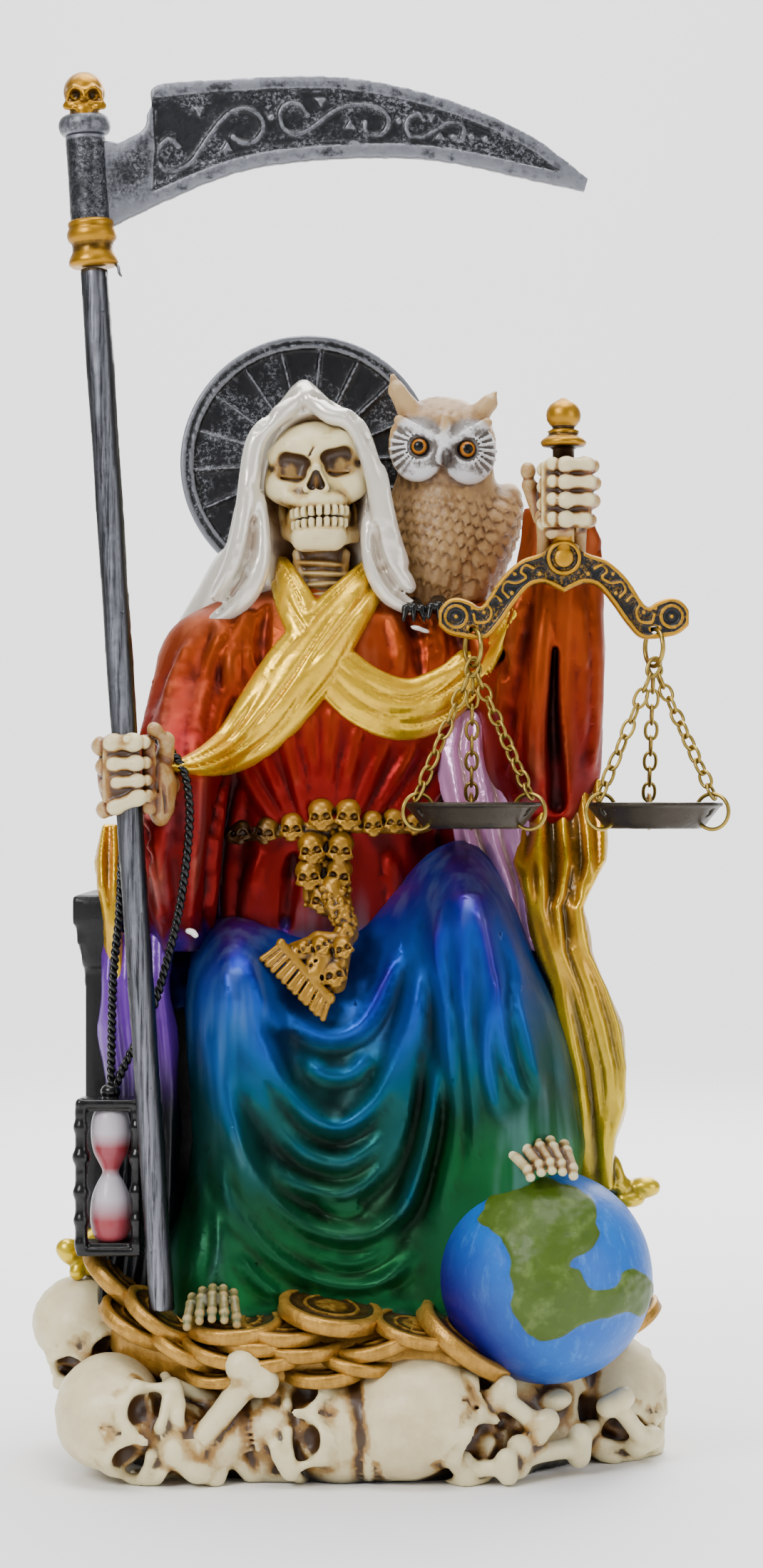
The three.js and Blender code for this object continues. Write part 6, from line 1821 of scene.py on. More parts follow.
BLADE_BACK = [(-42.6, 293.0), (-41.6, 297.4), (-29, 298.6), (-3.5, 299.3), (18, 295.2), (37, 287.4),
              (50.4, 277.6)]
BLADE_EDGE = [(49.6, 275), (39.4, 277.2), (17, 281.7), (-5.2, 281.8), (-23.1, 279.4), (-38.5, 273.5),
              (-51.5, 267.2)]
BLADE_HEEL = [(-55, 268), (-55.5, 285.4), (-52.6, 285.7), (-49.6, 285.2), (-47.4, 286.3), (-45.2, 287.2),
              (-43.8, 288.8), (-43.6, 291.0)]
BLADE_SCROLLS = [
    [(-36.9, 284.4), (-39.0, 285.8), (-41.1, 284.0), (-41.4, 281.4), (-39.6, 279.3), (-36.9, 279.4),
     (-33.8, 281.4),
     (-30.5, 286.2), (-27.4, 290.2), (-24.7, 292.2), (-21.7, 292.3), (-19.2, 290.3), (-18.9, 287.6),
     (-20.8, 285.5),
     (-23.2, 285.2), (-25.3, 286.4)],
    [(-9.5, 291.3), (-11.1, 293.2), (-13.5, 293.5), (-15.2, 291.6), (-14.5, 288.5), (-12.0, 287.0),
     (-8.6, 288.2),
     (-5.1, 291.0), (-1.5, 292.9), (2.3, 293.2), (5.9, 292.5), (7.9, 290.3), (7.3, 287.9), (5.3, 286.7),
     (3.2, 287.6), (2.9, 289.4)],
    [(15.4, 290.3), (14.1, 291.3), (12.3, 290.3), (11.7, 288.5), (12.6, 286.5), (14.7, 286.1), (17.5, 287.6),
     (20.7, 289.4), (23.1, 289.1), (24.0, 287.6), (23.2, 285.9), (21.6, 286.4)],
]
# Each leaf: x, z and whether it points up or down
BLADE_LEAVES = [(-32.5, 291.9, -1), (-26.5, 284.3, 1), (-6.5, 293.8, -1), (-0.3, 289.1, 1), (16.9, 290.6, -1),
                (18.8, 286.7, 1)]
BLADE_DOTS = [(-17.1, 290.6), (10.0, 289.9), (25.5, 286.5), (28.5, 286.0)]
# Outlines of turned fittings: rows of [radius, height]
SOCKET_WALL = [(3.4, 8.4), (4.3, 9.4), (4.35, 12), (4.25, 20), (4.3, 28.2)]
COLLAR = [(0, 0.3), (4.6, 0.35), (5.25, 0.9), (5.3, 1.6), (4.9, 2.6), (4.4, 3.6), (4.3, 4.6), (4.5, 5.4),
          (5.0, 5.9),
          (5.3, 6.6), (5.3, 7.6), (5.0, 8.3), (4.8, 8.8), (5.0, 9.3), (4.9, 9.9), (4.4, 10.3), (0, 10.3)]


def build_blade(material):
    clay = Clay((-64, -43.5, 257.5), (52, -30.5, 302), 0.32)
    x, z = clay.plane()
    outline = np.vstack([smooth_path(BLADE_BACK, 40), smooth_path(BLADE_EDGE, 40), np.array(BLADE_HEEL)])
    flat = outline_distance(x, z, outline) + 0.14 * hammered(x, z, 4.2, 3)
    edge_gap = line_distance(x, z, BLADE_EDGE)
    # One unit in from the rim the sunk panel begins
    rim = np.minimum(line_distance(x, z, BLADE_BACK[1:]) / 2.7, edge_gap / 2.9)
    rim = np.minimum(rim, (x + 44.4) / 2.6 + 0.2 * np.abs(z - 284) / 10)
    panel = clamp01((rim - 0.92) / 0.16)
    relief = np.zeros(flat.shape)
    for path in BLADE_SCROLLS:
        relief = np.maximum(relief, plateau(line_distance(x, z, path) / 0.62))
    for px, pz, way in BLADE_LEAVES:
        h = (z - pz) * way
        leaf = np.maximum(np.abs(x - px) * 1.25 + h * 0.75, -h) - 0.95
        relief = np.maximum(relief, clamp01(0.5 - leaf * 1.6))
    for px, pz in BLADE_DOTS:
        relief = np.maximum(relief, plateau(np.hypot(x - px, z - pz) / 0.7))
    inside = clamp01((rim - 1.25) * 6)
    step = bell((rim - 1.22) / 0.09) * (rim > 1)
    half = 1.0 + 0.6 * clamp01(edge_gap / 2.4) - 0.62 * panel + 0.48 * relief * inside + 0.3 * step * panel
    half = half + 0.085 * hammered(x, z, 2.3, 7) * (1 - relief * 0.7)
    clay.plate(-37.0, half, flat)
    clay_piece("scythe_blade", clay, material, "blackened_silver", ["scythe_head"], 0.07, 1.8, None)


def build_stick(material):
    top, foot = SHAFT_TOP, SHAFT_FOOT
    shaft = Clay((-59, -41, 35.6), (-36, -33, 258.8), 0.5)

    def stick(x, y, z):
        t = (z - foot[2]) / (top[2] - foot[2])
        dx, dy = x - (foot[0] + (top[0] - foot[0]) * t), y - foot[1]
        angle = np.arctan2(dy, dx)
        grain = 0.05 * np.sin(angle * 6 + 0.8 * np.sin(z / 9)) + 0.05 * np.sin(z / 5.2 + 2 * np.sin(angle))
        d = np.sqrt(dx * dx + dy * dy) - (2.72 + 0.3 * t) - grain
        return np.maximum(d, np.maximum(foot[2] + 0.05 - z, z - top[2] + 0.05))

    # Painted highlight: silver on the front of the stick and, weaker, on the back of its right side.
    def streak(x, y, z):
        across = x - foot[0] - (top[0] - foot[0]) * (z - foot[2]) / (top[2] - foot[2])
        around = np.arctan2(across, -(y - foot[1]))
        return np.maximum(bell((around + 0.1) / 0.62), 0.5 * bell((around - 2.4) / 0.5))

    shaft.put(((-59, -41, 36), (-36, -33, 259), stick))
    clay_piece("scythe_stick", shaft, material, "blackened_silver", ["scythe_shaft"], 0.1, reach=None,
               streak=streak)


def build_scythe(silver, gold, stick_paint):
    build_blade(silver)
    axis = (SHAFT_TOP - SHAFT_FOOT) / np.linalg.norm(SHAFT_TOP - SHAFT_FOOT)
    lean = math.degrees(math.atan2(axis[0], axis[2]))
    spin = turned(roll=lean)

    def fitting(name, profile, material, wobble, seed):
        points, triangles, quads = turned_mesh(profile, 48)
        t = np.arctan2(points[:, 1], points[:, 0])
        r = np.hypot(points[:, 0], points[:, 1])
        grow = 1 + wobble * hammered(t * 4, points[:, 2], 3.0, seed) / np.maximum(r, 1)
        points = points * np.stack([grow, grow, np.ones(len(points))], 1)
        mesh_piece(name, [(points @ spin.T + SHAFT_TOP, triangles, quads)], material, "blackened_silver")

    wall = [(0, 8.4), SOCKET_WALL[0]]
    for a, b in zip(SOCKET_WALL, SOCKET_WALL[1:]):
        n = max(1, int(abs(b[1] - a[1]) / 0.35))
        wall += [(a[0] + (b[0] - a[0]) * k / n, a[1] + (b[1] - a[1]) * k / n) for k in range(1, n + 1)]
    fitting("scythe_socket", wall + [(0, 28.4)], silver, 0.05, 1)
    fitting("scythe_collar", COLLAR, gold, 0.03, 4)
    turns = [math.radians(a) for a in range(8, 173, 12)]
    ring = [(4.2 + 1.4 * math.sin(t), 30.5 - 2.1 * math.cos(t)) for t in turns]
    fitting("scythe_ring", [(0, 28.0)] + ring + [(0, 32.7)], silver, 0.04, 6)
    build_stick(stick_paint)
    finial = Clay((-63.6, -43.2, 287), (-50.4, -31, 302), 0.24)
    skull(finial, (-56.9, -37.4, 294.6), 4.55, turned(4, -4, lean * 0.4), jaw=False)
    finial.bar((-56.7, -37, 289), (-56.9, -37, 292.4), 3.6, 3.2, 0.6)
    finial.keep((-63, -42.6, 288), (-51, -31, 301.0))
    clay_piece("scythe_skull", finial, gold, "blackened_silver")
    wick = smooth_path([(-50.2, -37.6, 259.6), (-49.6, -38.4, 258.6), (-49.4, -38.6, 257.4),
                        (-48.9, -38.8, 256.7)], 10)
    thread = tube(wick, [0.45 - 0.02 * i for i in range(11)], 8)
    mesh_piece("scythe_thread", [thread], silver, "blackened_silver")


# Scale beam, worked out for one side and mirrored: places in x and z from its middle
BEAM_TOP = [(0, 3.4), (5.4, 0.9), (9.4, -0.6), (13.6, -4.4), (17.6, -10.2), (20.2, -9.4), (24.2, -8.9),
            (27, -11.6)]
BEAM_UNDER = [(27, -14.4), (23.4, -16.6), (17.2, -17.4), (13.8, -14.4), (10.4, -9.6), (7.4, -6.2),
              (4.6, -5.4),
              (2.2, -6.2), (0, -7.4)]
BEAM_SCROLLS = [
    [(6.6, -2.2), (8.2, -1.6), (9.2, -2.9), (8.2, -4.2), (10.2, -5.4), (12.4, -5.2), (13.2, -6.9),
     (12.0, -8.4)],
    [(13.6, -9.2), (14.8, -8.2), (16.4, -9.6), (15.6, -11.6), (16.4, -13.6), (18.8, -13.8), (19.4, -12.2)],
]
BEAM_DOTS = [(5.2, -3.4), (10.6, -3.4), (14.6, -6.4), (11.2, -7.6), (17.2, -11.6), (20.6, -15.0),
             (19.6, -10.8)]
# The handle with its knob: rows of [radius, height]
HANDLE = [(0, 1.0), (2.35, 1.0), (2.35, 12.0), (2.35, 23.4), (3.0, 23.9), (4.5, 24.1), (4.9, 24.6),
          (4.95, 25.1),
          (4.5, 25.7), (3.5, 26.3), (3.2, 26.9), (3.5, 27.3), (2.6, 27.8), (2.4, 28.2), (3.0, 28.8),
          (3.6, 29.7),
          (3.75, 30.8), (3.6, 31.9), (3.0, 33.0), (1.8, 33.8), (0.9, 34.3), (0.6, 34.5), (0, 34.55)]


def build_beam(material, gold):
    cx, cy, cz = SCALE_MIDDLE
    clay = Clay((18, -35.5, 178.5), (73.5, -24.5, 204), 0.26)
    x, z = clay.plane()
    x, z = x - cx, z - cz
    mirrored, middle_gap = np.abs(x), np.hypot(x, z)
    right = np.vstack([smooth_path(BEAM_TOP, 40), smooth_path(BEAM_UNDER, 40)])
    flat = outline_distance(x, z, np.vstack([right, right[::-1] * (-1, 1)]))
    flat = smooth_min(flat, np.hypot(mirrored - 23, z + 12.6) - 3.9, 0.8)
    flat = smooth_min(flat, middle_gap - 4.0, 0.8)
    end = np.hypot(mirrored - 23.2, z + 12.6)
    curl = plateau(np.minimum(np.abs(end - 2.3), end) / 0.5) * (end < 3.4)
    scroll = np.minimum.reduce([line_distance(mirrored, z, path, 30) for path in BEAM_SCROLLS])
    dots = np.minimum.reduce([np.hypot(mirrored - px, z - pz) for px, pz in BEAM_DOTS])
    rim = plateau((flat + 0.62) / 0.42)
    relief = np.maximum.reduce([rim, plateau(scroll / 0.42), plateau(dots / 0.55), curl])
    dome = 0.9 * np.sqrt(clamp01(1 - (middle_gap / 2.2) ** 2)) + 0.8 * plateau((middle_gap - 3.3) / 0.5)
    half = np.where(middle_gap < 4.3, 1.75 + dome, 1.45 + 0.5 * relief) + 0.03 * hammered(x, z, 1.6, 5)
    clay.plate(cy, half, flat)
    for side in (-1, 1):
        hole = np.array([cx + side * HANGER_OUT, cy, cz - HANGER_DOWN])
        clay.bar(hole - (0, 4, 0.2), hole + (0, 4, -0.2), 0.85, None, 0.1, True)
    clay.keep((18.7, -34.9, 179.9), (72.5, -25.1, 203))
    clay_piece("scale_arm", clay, material, "blackened_gold", ["scale_beam"], 0.06, 1.6, None)
    points, triangles, quads = turned_mesh(HANDLE, 48)
    mesh_piece("scale_handle", [(points + SCALE_MIDDLE, triangles, quads)], gold, "blackened_gold")


# Throne, loose cloths, cord, hourglass and glue

def build_throne(material):
    clay = Clay((-64, -18, 22), (61, 40, 190), 0.9)
    clay.box((-50, 2, 26), (48, 37, 100), 0.8)

    def back(x, y, z):
        top = 188 - ((x + 3) / 45) ** 2 * 22 - 26 * clamp01((np.abs(x + 2) - 34) / 9)
        widened = np.where(x < 0, 10, 2) * clamp01((130 - z) / 3)
        arch = np.maximum((z - top) * 0.8, np.abs(x + 1.5) - (46.5 + widened))
        d = np.maximum(arch, 99 - z)
        return np.maximum(d, np.abs(y - 27.6) - 8.4 - 0.8 * plateau((d + 4.5) / 1.6))

    clay.put(((-59, 17, 98), (56, 38, 190), back))
    # Each arm: middle and share of width of its top, then middle and height of its post
    for x, wide, post, top in ((-56.5, 1.0, -56.5, 113), (46.4, 0.75, 53, 101)):
        inward = 1 if x < 0 else -1
        for middle, height in ((x, 113), (post, top)):
            low, high = sorted((middle - inward * 2.6, middle + inward * 12))
            clay.box((low, -12.4, 24), (high, 26, height), 0.7, 0.4)
        # Mouldings of the arm's top: half width, front, back, underside, upper side, corner and blend
        for half, y0, y1, z0, z1, corner, blend in ((5.1, -15.6, 30, 117.4, 124.4, 0.9, 0.3),
                                                    (4.3, -14.6, 29, 113.2, 118.4, 0.8, 0.5),
                                                    (3.4, -13.8, 28, 108.4, 114.4, 0.7, 0.5)):
            clay.box((x - half * wide, y0, z0), (x + half * wide, y1, z1), corner, blend)
        outer = post - inward * 2.6
        for y0, y1 in ((-11, 2), (5, 21)):
            clay.box((outer - 0.7, y0, 30), (outer + 0.7, y1, top - 9), 0.4, 0.2, True)
    clay.keep((-63, -17, 24), (60, 37, 189))
    clay_piece("throne", clay, material, adaptivity=0.12)


def ribbon(clay, path, steps, seed, ruffle):
    """A folded strip of cloth: stations of [x, y, z, half width, thickness]."""
    line = smooth_path(path, steps)

    def spot(i, k, share):
        x, y, z, half = line[i][:4]
        wave = math.sin(i / steps * 13.2 + k * 1.9 + seed) + 0.55 * (1 if k % 2 else -1)
        return x + share * half, y + abs(share) * 1.2 + ruffle * wave, z

    for i in range(len(line) - 1):
        for k, share in enumerate((-0.85, -0.45, 0.0, 0.45, 0.85)):
            radius = line[i][4] * (0.62 if k % 2 else 0.5)
            clay.bar(spot(i, k, share), spot(i + 1, k, share), radius, blend=1.0)


def curtain(rows, folds, thick, seed):
    """A hanging cloth seen from the front: rows of [z, left, right, y] from the top down.

    Each fold is a path of [share of the way down, share across], its half width and its height.
    """
    order = np.array(rows[::-1], float)
    bottom, top = order[0, 0], order[-1, 0]

    def distance(x, y, z):
        left, right, front = read_rows(order, z)
        wide = np.maximum(right - left, 0.5)
        u = (x - left) / wide
        t = (top - z) / (top - bottom)
        relief = 0.0
        for marks, half, height in folds:
            line = smooth_path(marks, 30)
            gap = (u - np.interp(t, line[:, 0], line[:, 1])) * wide / half
            relief = relief + height * (bell(gap) - 0.35 * bell(gap + 1.9))
        relief = relief + 0.16 * np.sin(u * wide * 1.7 + z * 0.13 + seed)
        rounded = 1.6 * (1 - np.sqrt(clamp01(1 - (2 * u - 1) ** 8)))
        edge = (np.abs(u - 0.5) - 0.5) * wide + 0.5 * np.sin(z * 0.31 + seed) - 0.2
        sheet = np.maximum((front - relief + rounded - y) * 0.8, y - front - thick)
        return np.maximum(-smooth_min(-sheet, -edge, 1.4), np.maximum(bottom - z, z - top))

    low = (order[:, 1].min() - 1, order[:, 3].min() - 5, bottom)
    high = (order[:, 2].max() + 1, order[:, 3].max() + thick, top)
    return low, high, distance


# Cloths: rows of [z, left, right, y] from the top down
RIGHT_CLOTH = [
    (150, 40, 55.5, -10), (140, 37, 56, -13), (131.7, 35.6, 55.6, -16), (126, 36.6, 53, -17.4),
    (121.7, 38, 50.8, -18), (112, 40.6, 52.3, -18.4), (104, 43.4, 56.3, -18.4), (96, 45, 58.8, -18.4),
    (86.3, 47, 60.5, -18.2), (77.8, 48.4, 59.9, -17.8), (71.2, 49, 57.8, -17.4), (60, 49, 57.4, -17),
]
RIGHT_FOLDS = [
    ([(0, 0.15), (0.3, 0.3), (0.6, 0.2), (1, 0.3)], 1.5, 1.8),
    ([(0, 0.42), (0.25, 0.58), (0.5, 0.45), (1, 0.6)], 1.3, 2.0),
    ([(0, 0.70), (0.3, 0.86), (0.55, 0.7), (1, 0.86)], 1.4, 1.8),
    ([(0, 0.92), (0.3, 0.98), (0.6, 0.95), (1, 0.98)], 1.1, 1.2),
    ([(0, 0.30), (0.3, 0.10), (0.55, 0.02), (1, 0.1)], 1.0, 1.0),
    ([(0, 0.56), (0.3, 0.72), (0.55, 0.58), (1, 0.74)], 0.7, 0.8),
]
LEFT_CLOTH = [(140, -55.4, -51.4, -13), (132, -56.6, -50.6, -16.4), (126, -56.4, -50.8, -18),
              (118, -54.8, -50.8, -17.8), (106, -53.6, -49.8, -17)]
LEFT_FOLDS = [([(0, 0.2), (0.5, 0.35), (1, 0.3)], 0.9, 1.1), ([(0, 0.7), (0.5, 0.75), (1, 0.7)], 0.9, 1.1)]
LINING = [(166, 22, 33, -6), (156.6, 18.4, 37, -9), (146, 20, 39.6, -11), (136, 22.6, 40.6, -12.6),
          (126, 27, 42, -13.2), (112, 31, 42.6, -13)]
LINING_FOLDS = [([(0, c), (0.5, c + 0.05 * math.sin(c * 20)), (1, c + 0.04)], 0.9, 1.3)
                for c in (0.08, 0.22, 0.36, 0.52, 0.66, 0.8, 0.93)]
VIOLET_CLOTH = [(116, -54.4, -40, -15), (106, -55.4, -40, -18), (96, -55.6, -39, -18.6),
                (84, -54.6, -38, -18.8),
                (70, -54, -38, -19), (50, -55, -38, -20), (33, -56, -38, -21)]
VIOLET_FOLDS = [([(0, 0.1), (0.5, 0.2), (1, 0.05)], 1.4, 1.6), ([(0, 0.35), (0.5, 0.45), (1, 0.3)], 1.4, 1.8),
                ([(0, 0.6), (0.5, 0.68), (1, 0.55)], 1.4, 1.6), ([(0, 0.85), (0.5, 0.9), (1, 0.8)], 1.4, 1.4)]
LOOSE_END = [(55, -15.5, 66, 3.0, 2.0), (56.6, -15.2, 61.6, 3.0, 1.9), (60.4, -14.6, 59.6, 2.6, 1.8),
             (64.4, -14, 60.6, 1.8, 1.6)]


def build_cloths(gold, pearl, violet):
    clay = Clay((30, -25, 50), (69.5, 8, 152), 0.5)
    clay.put(curtain(RIGHT_CLOTH, RIGHT_FOLDS, 4.0, 0.4))
    clay.box((43.5, -15, 58), (48.5, 3, 122), 2.4, 2.0)
    ribbon(clay, LOOSE_END, 20, 0.4, 0.5)
    clay.egg((64.8, -14, 60.0), (3.0, 2.6, 2.3), 1.0)
    clay.egg((60.6, -15.0, 57.4), (3.6, 2.4, 1.8), 1.0)
    clay.keep((20, -30, 40), (68.4, 6, 170))
    clay_piece("gold_cloth_right", clay, gold, adaptivity=0.03)
    clay = Clay((-66, -27, 38), (-42, -2, 142), 0.5)
    clay.put(curtain(LEFT_CLOTH, LEFT_FOLDS, 3.0, 1.2))
    clay.bar((-56, -12, 49), (-62.0, -15.6, 45.4), 2.6, 2.2, 1.0)
    clay.bar((-58, -13, 47), (-60.4, -16, 41.6), 2.4, 1.8, 1.0)
    clay.egg((-62.6, -15.4, 46.6), (2.6, 2.2, 2.4), 0.8)
    clay.egg((-57.0, -14.6, 43.0), (2.6, 2.4, 2.6), 0.8)
    clay_piece("gold_cloth_left", clay, gold, adaptivity=0.03)
    clay = Clay((14, -20, 104), (46, 6, 168), 0.5)
    clay.put(curtain(LINING, LINING_FOLDS, 4.0, 2.1))
    clay_piece("pearl_lining", clay, pearl, adaptivity=0.03)
    clay = Clay((-60, -27, 30), (-38, 0, 118), 0.5)
    clay.put(curtain(VIOLET_CLOTH, VIOLET_FOLDS, 4.0, 0.9))

    def tint(x, y, z):
        return 0.5 - z / 250 + (z - 92) / 250 * 0.9 * (z > 92) + (z - 92) / 250 * 1.6 * (z <= 92)

    clay_piece("violet_cloth", clay, violet, adaptivity=0.03, relief=3.0, reach=4.0, tint=tint)


GLASS_MIDDLE = (-52.0, -29.0, 65.0)
KNOT = (-52.0, -29.0, 81.0)
CORD_STRANDS = [
    [(-42, -36.5, 158.5), (-38.4, -34.4, 155.4), (-36.2, -34, 152), (-35.0, -34, 147), (-34.8, -34, 139),
     (-36.4, -33.6, 125), (-39, -32.6, 113), (-43, -31, 100), (-49, -29.6, 88), KNOT],
    [(-48.6, -33.4, 143), (-49.4, -32.6, 130), (-50, -31.6, 120), (-51.4, -30.4, 106), KNOT],
]
# Knobs of a small column: rows of [height, radius]
COLUMN_KNOBS = [(-15, 1.5), (-12.6, 1.0), (-10, 1.7), (-7, 1.0), (-4, 1.8), (0, 1.1), (3.6, 1.9), (7, 1.0),
                (10, 1.7), (13, 1.3)]
# The glass: rows of [radius, height]
GLASS_WALL = [(2.6, -14.8), (3.7, -13.6), (4.35, -11), (4.4, -8), (4.0, -5), (3.0, -2.4), (2.0, -0.6),
              (1.8, 0.4),
              (2.4, 1.8), (3.6, 4.2), (4.2, 7), (4.25, 10), (3.8, 12.4), (2.9, 13.9)]


def build_cord(material):
    """Two strands, each of two threads twisted round each other."""
    step, twist_length = 0.36, 3.4
    parts = []
    for path in CORD_STRANDS:
        line = smooth_path(path, 260)
        gaps = np.concatenate([[0], np.cumsum(np.linalg.norm(np.diff(line, axis=0), axis=1))])
        even = np.stack([np.interp(np.arange(0, gaps[-1], step), gaps, line[:, i]) for i in range(3)], 1)
        t = np.gradient(even, axis=0)
        t /= np.linalg.norm(t, axis=1, keepdims=True)
        side = np.cross(t, (0, 1, 0))
        side /= np.linalg.norm(side, axis=1, keepdims=True)
        up = np.cross(side, t)
        turn = np.arange(len(even)) * step / twist_length * 2 * math.pi
        for k in range(2):
            a = (turn + k * math.pi)[:, None]
            parts.append(tube(even + 0.48 * (side * np.cos(a) + up * np.sin(a)), 0.55, 7))
    mesh_piece("cord", parts, material, cell=0.3)


def build_hourglass(black, glass):
    x, y, z = GLASS_MIDDLE
    clay = Clay((x - 9, y - 7, z - 20), (x + 15, y + 25, z + 20), 0.34)
    # Each end plate, and the smaller step on its inner side: underside and upper side of both
    for low, high, step_low, step_high in ((-17.6, -15.8, -16.0, -14.8), (14.2, 16.0, 13.4, 14.8)):
        clay.box((x - 7.0, y - 4.9, z + low), (x + 7.0, y + 4.9, z + high), 0.5, 0.2)
        clay.box((x - 6.0, y - 4.1, z + step_low), (x + 6.0, y + 4.1, z + step_high), 0.4, 0.3)
    clay.egg((x, y, z + 17.4), (2.2, 2.2, 1.8), 0.5)
    for px, py in ((-6, -3.6), (6, -3.6), (0, 4)):
        for h, r in COLUMN_KNOBS:
            clay.egg((x + px, y + py, z + h), (r * 1.05, r * 1.05, r * 1.15), 0.5)
        clay.bar((x + px, y + py, z - 16), (x + px, y + py, z + 15), 1.35, blend=0.4)
    clay.box((x - 2, y + 2, z - 16.5), (x + 12, y + 22, z - 6), 1.0, 0.4)
    clay_piece("hourglass_frame", clay, black, adaptivity=0.03)
    wall = [tuple(v) for v in smooth_path(GLASS_WALL, 60)]
    points, triangles, quads = turned_mesh([(0, -14.9)] + wall + [(0, 14.2)], 40)
    mesh_piece("hourglass_bulbs", [(points + GLASS_MIDDLE, triangles, quads)], glass)


def build_glue(material):
    clay = Clay((-40, -42, 112), (22, -8, 187), 0.4)
    for place, size in (((14.2, -13.2, 183.2), (1.5, 0.9, 0.55)), ((16.0, -12.6, 182.6), (1.1, 0.8, 0.5)),
                        ((-34.6, -31.4, 117.0), (1.3, 1.0, 0.7)), ((-33.6, -32.0, 116.2), (0.8, 0.8, 0.6))):
        clay.egg(place, size, 0.6, turn=turned(roll=12))
    clay_piece("glue", clay, material)


# Scene: every piece, then floor, lights and camera

# Each lamp: name, place, where it looks, width, and power in watts
LAMPS = [
    ("key", (-0.6, -0.8, 0.75), (0, 0, 0.15), 0.45, 11.0),
    ("fill", (0.8, -0.65, 0.35), (0, 0, 0.14), 0.6, 3.4),
    ("top", (0.05, -0.15, 1.0), (0, 0, 0.15), 0.5, 7.0), ("back", (0.25, 0.7, 0.6), (0, 0, 0.2), 0.5, 5.0),
    ("backdrop", (0.0, 0.75, 1.7), (0, 1.7, 0.35), 1.6, 60.0),
]


def make_floor():
    """A pale floor that curves up far behind, so that no horizon shows."""
    half, start, bend, height = 3.0, 1.0, 0.9, 2.4
    profile = [(-half + (half + start) * i / 12, 0.0) for i in range(13)]
    turns = [math.radians(a) for a in range(6, 91, 6)]
    profile += [(start + bend * math.sin(t), bend - bend * math.cos(t)) for t in turns]
    profile += [(start + bend, bend + (height - bend) * i / 4) for i in range(1, 5)]
    across = [-half + 2 * half * i / 12 for i in range(13)]
    points = [(x, y, z) for y, z in profile for x in across]
    n = len(across)
    faces = [(i * n + k, i * n + k + 1, (i + 1) * n + k + 1, (i + 1) * n + k)
             for i in range(len(profile) - 1) for k in range(n - 1)]
    mesh = bpy.data.meshes.new("floor")
    mesh.from_pydata(points, [], faces)
    mesh.polygons.foreach_set("use_smooth", [True] * len(faces))
    floor = bpy.data.objects.new("floor", mesh)
    bpy.context.scene.collection.objects.link(floor)
    p = Paint("pale floor")
    tone = p.mix(p.noise(160, 3), (0.90, 0.90, 0.90, 1), (0.92, 0.92, 0.92, 1))
    mesh.materials.append(p.finish(tone, 0.7, specular=0.1))


def make_lights():
    world = bpy.data.worlds.new("studio")
    bpy.context.scene.world = world
    world.use_nodes = True
    background = world.node_tree.nodes["Background"]
    background.inputs[0].default_value = (1.0, 1.0, 1.0, 1)
    background.inputs[1].default_value = 0.34
    for name, place, target, width, power in LAMPS:
        data = bpy.data.lights.new(name, "AREA")
        data.shape = "SQUARE"
        data.size = width
        data.energy = power
        lamp = bpy.data.objects.new(name, data)
        bpy.context.scene.collection.objects.link(lamp)
        lamp.location = place
        aim = Vector(target) - Vector(place)
        lamp.rotation_euler = aim.to_track_quat("-Z", "Y").to_euler()


def make_camera():
    data = bpy.data.cameras.new("camera")
    data.sensor_fit = "VERTICAL"
    data.sensor_height = 36
    data.lens = 76.74
    data.shift_y = 0.0116
    camera = bpy.data.objects.new("camera", data)
    bpy.context.scene.collection.objects.link(camera)
    camera.location = (0.0064, -0.750, 0.1448)
    camera.rotation_euler = (math.radians(90), 0, 0)
    bpy.context.scene.camera = camera


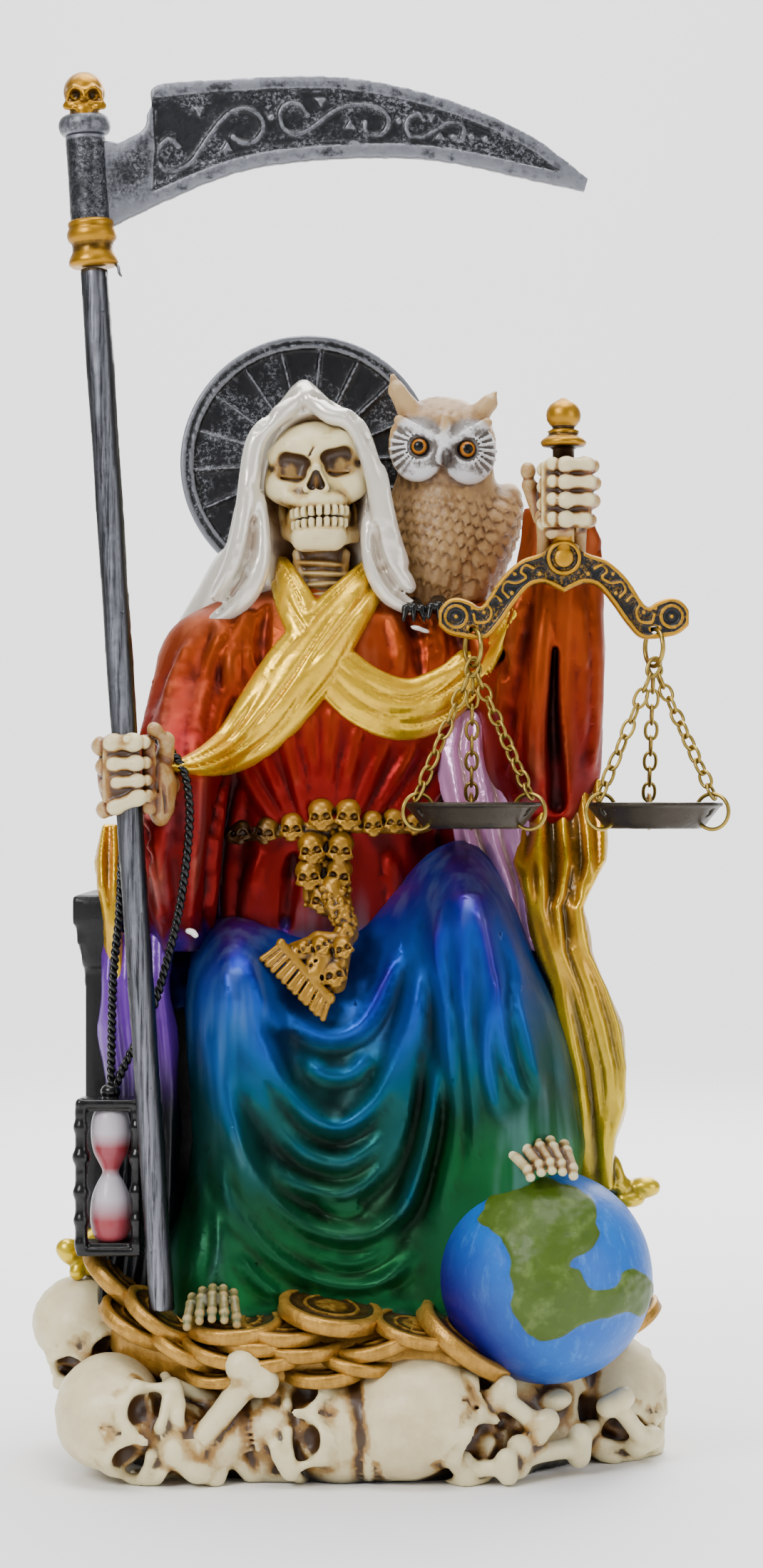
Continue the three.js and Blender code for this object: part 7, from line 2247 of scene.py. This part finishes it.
base_bone = bone_paint("base bone", -0.03, ivory=srgb(212, 204, 172), dull=srgb(198, 184, 142))
gold = gold_paint("old gold", srgb(178, 140, 84), srgb(112, 80, 40), srgb(44, 26, 12), 0.6, 0.36, 0.85,
                  0.15, 0.16)
sash_gold = gold_paint("sash gold", srgb(232, 198, 100), srgb(192, 150, 56), srgb(104, 70, 14), 0.7, 0.3,
                       0.26, 0.3)
robe = robe_paint()
pearl = pearl_paint("pearl white", srgb(228, 224, 212), srgb(208, 202, 194))
silver_black = brushed_black("blackened silver", srgb(120, 122, 128), 0.02, 0.9)
gold_cloth = cloth_paint()
lining = pearl_paint("pearl lilac", srgb(206, 160, 196), srgb(176, 132, 170))
face_bone = bone_paint("face bone", 0.06)
foot_bone = bone_paint("foot bone", -0.12, srgb(40, 50, 26), srgb(104, 108, 72), srgb(194, 196, 164),
                       srgb(156, 156, 116))
hand_bone = bone_paint("hand bone", -0.07, srgb(88, 46, 28), srgb(122, 78, 48))
antique = gold_paint("antique gold", srgb(168, 128, 66), srgb(132, 98, 48), srgb(34, 24, 14), 0.8, 0.36,
                     0.9, 0.1)
beam_black = brushed_black("blackened gold", srgb(176, 134, 66), 0.0, 0.6)
brass = simple_paint("antique brass", srgb(168, 146, 92), srgb(70, 56, 32), 0.34, 0.9, 0.0, 0.5, 0.03)
bronze = simple_paint("dark bronze", srgb(52, 46, 38), srgb(14, 12, 10), 0.42, 0.7, 0.1, 0.5, 0.08)
charcoal = simple_paint("charcoal throne", srgb(10, 10, 12), srgb(4, 4, 5), 0.42, 0.1, 0.15, 0.6, 0.12, 0.3)
belt_gold = gold_paint("belt gold", srgb(158, 122, 66), srgb(120, 88, 46), srgb(38, 22, 10), 0.6, 0.38)
gloss_black = simple_paint("gloss black", srgb(5, 5, 5), srgb(2, 2, 2), 0.26, 0.0, 0.2, 0.5, 0.02, 0.3)
violet = violet_paint()
glue = simple_paint("dried glue", srgb(236, 236, 232), srgb(170, 168, 160), 0.4, 0.0, 0.3, 0.4, 0.05)

build_base(base_bone)
build_coins(gold)
build_globe(globe_paint())
build_skirt(robe)
body = build_bodice(robe)
build_sash(sash_gold)
build_hood(pearl)
build_head(face_bone)
build_owl(owl_paint(), eye_paint(), gloss_black)
build_halo(silver_black)
build_belt(body, belt_gold)
build_scythe_hand(hand_bone)
build_scale_hand(hand_bone)
build_feet(foot_bone)
build_chains(brass, bronze)
build_scythe(silver_black, antique, shaft_paint())
build_beam(beam_black, antique)
build_throne(charcoal)
build_cloths(gold_cloth, lining, violet)
build_cord(gloss_black)
build_hourglass(gloss_black, hourglass_paint())
build_glue(glue)
make_floor()
make_lights()
make_camera()
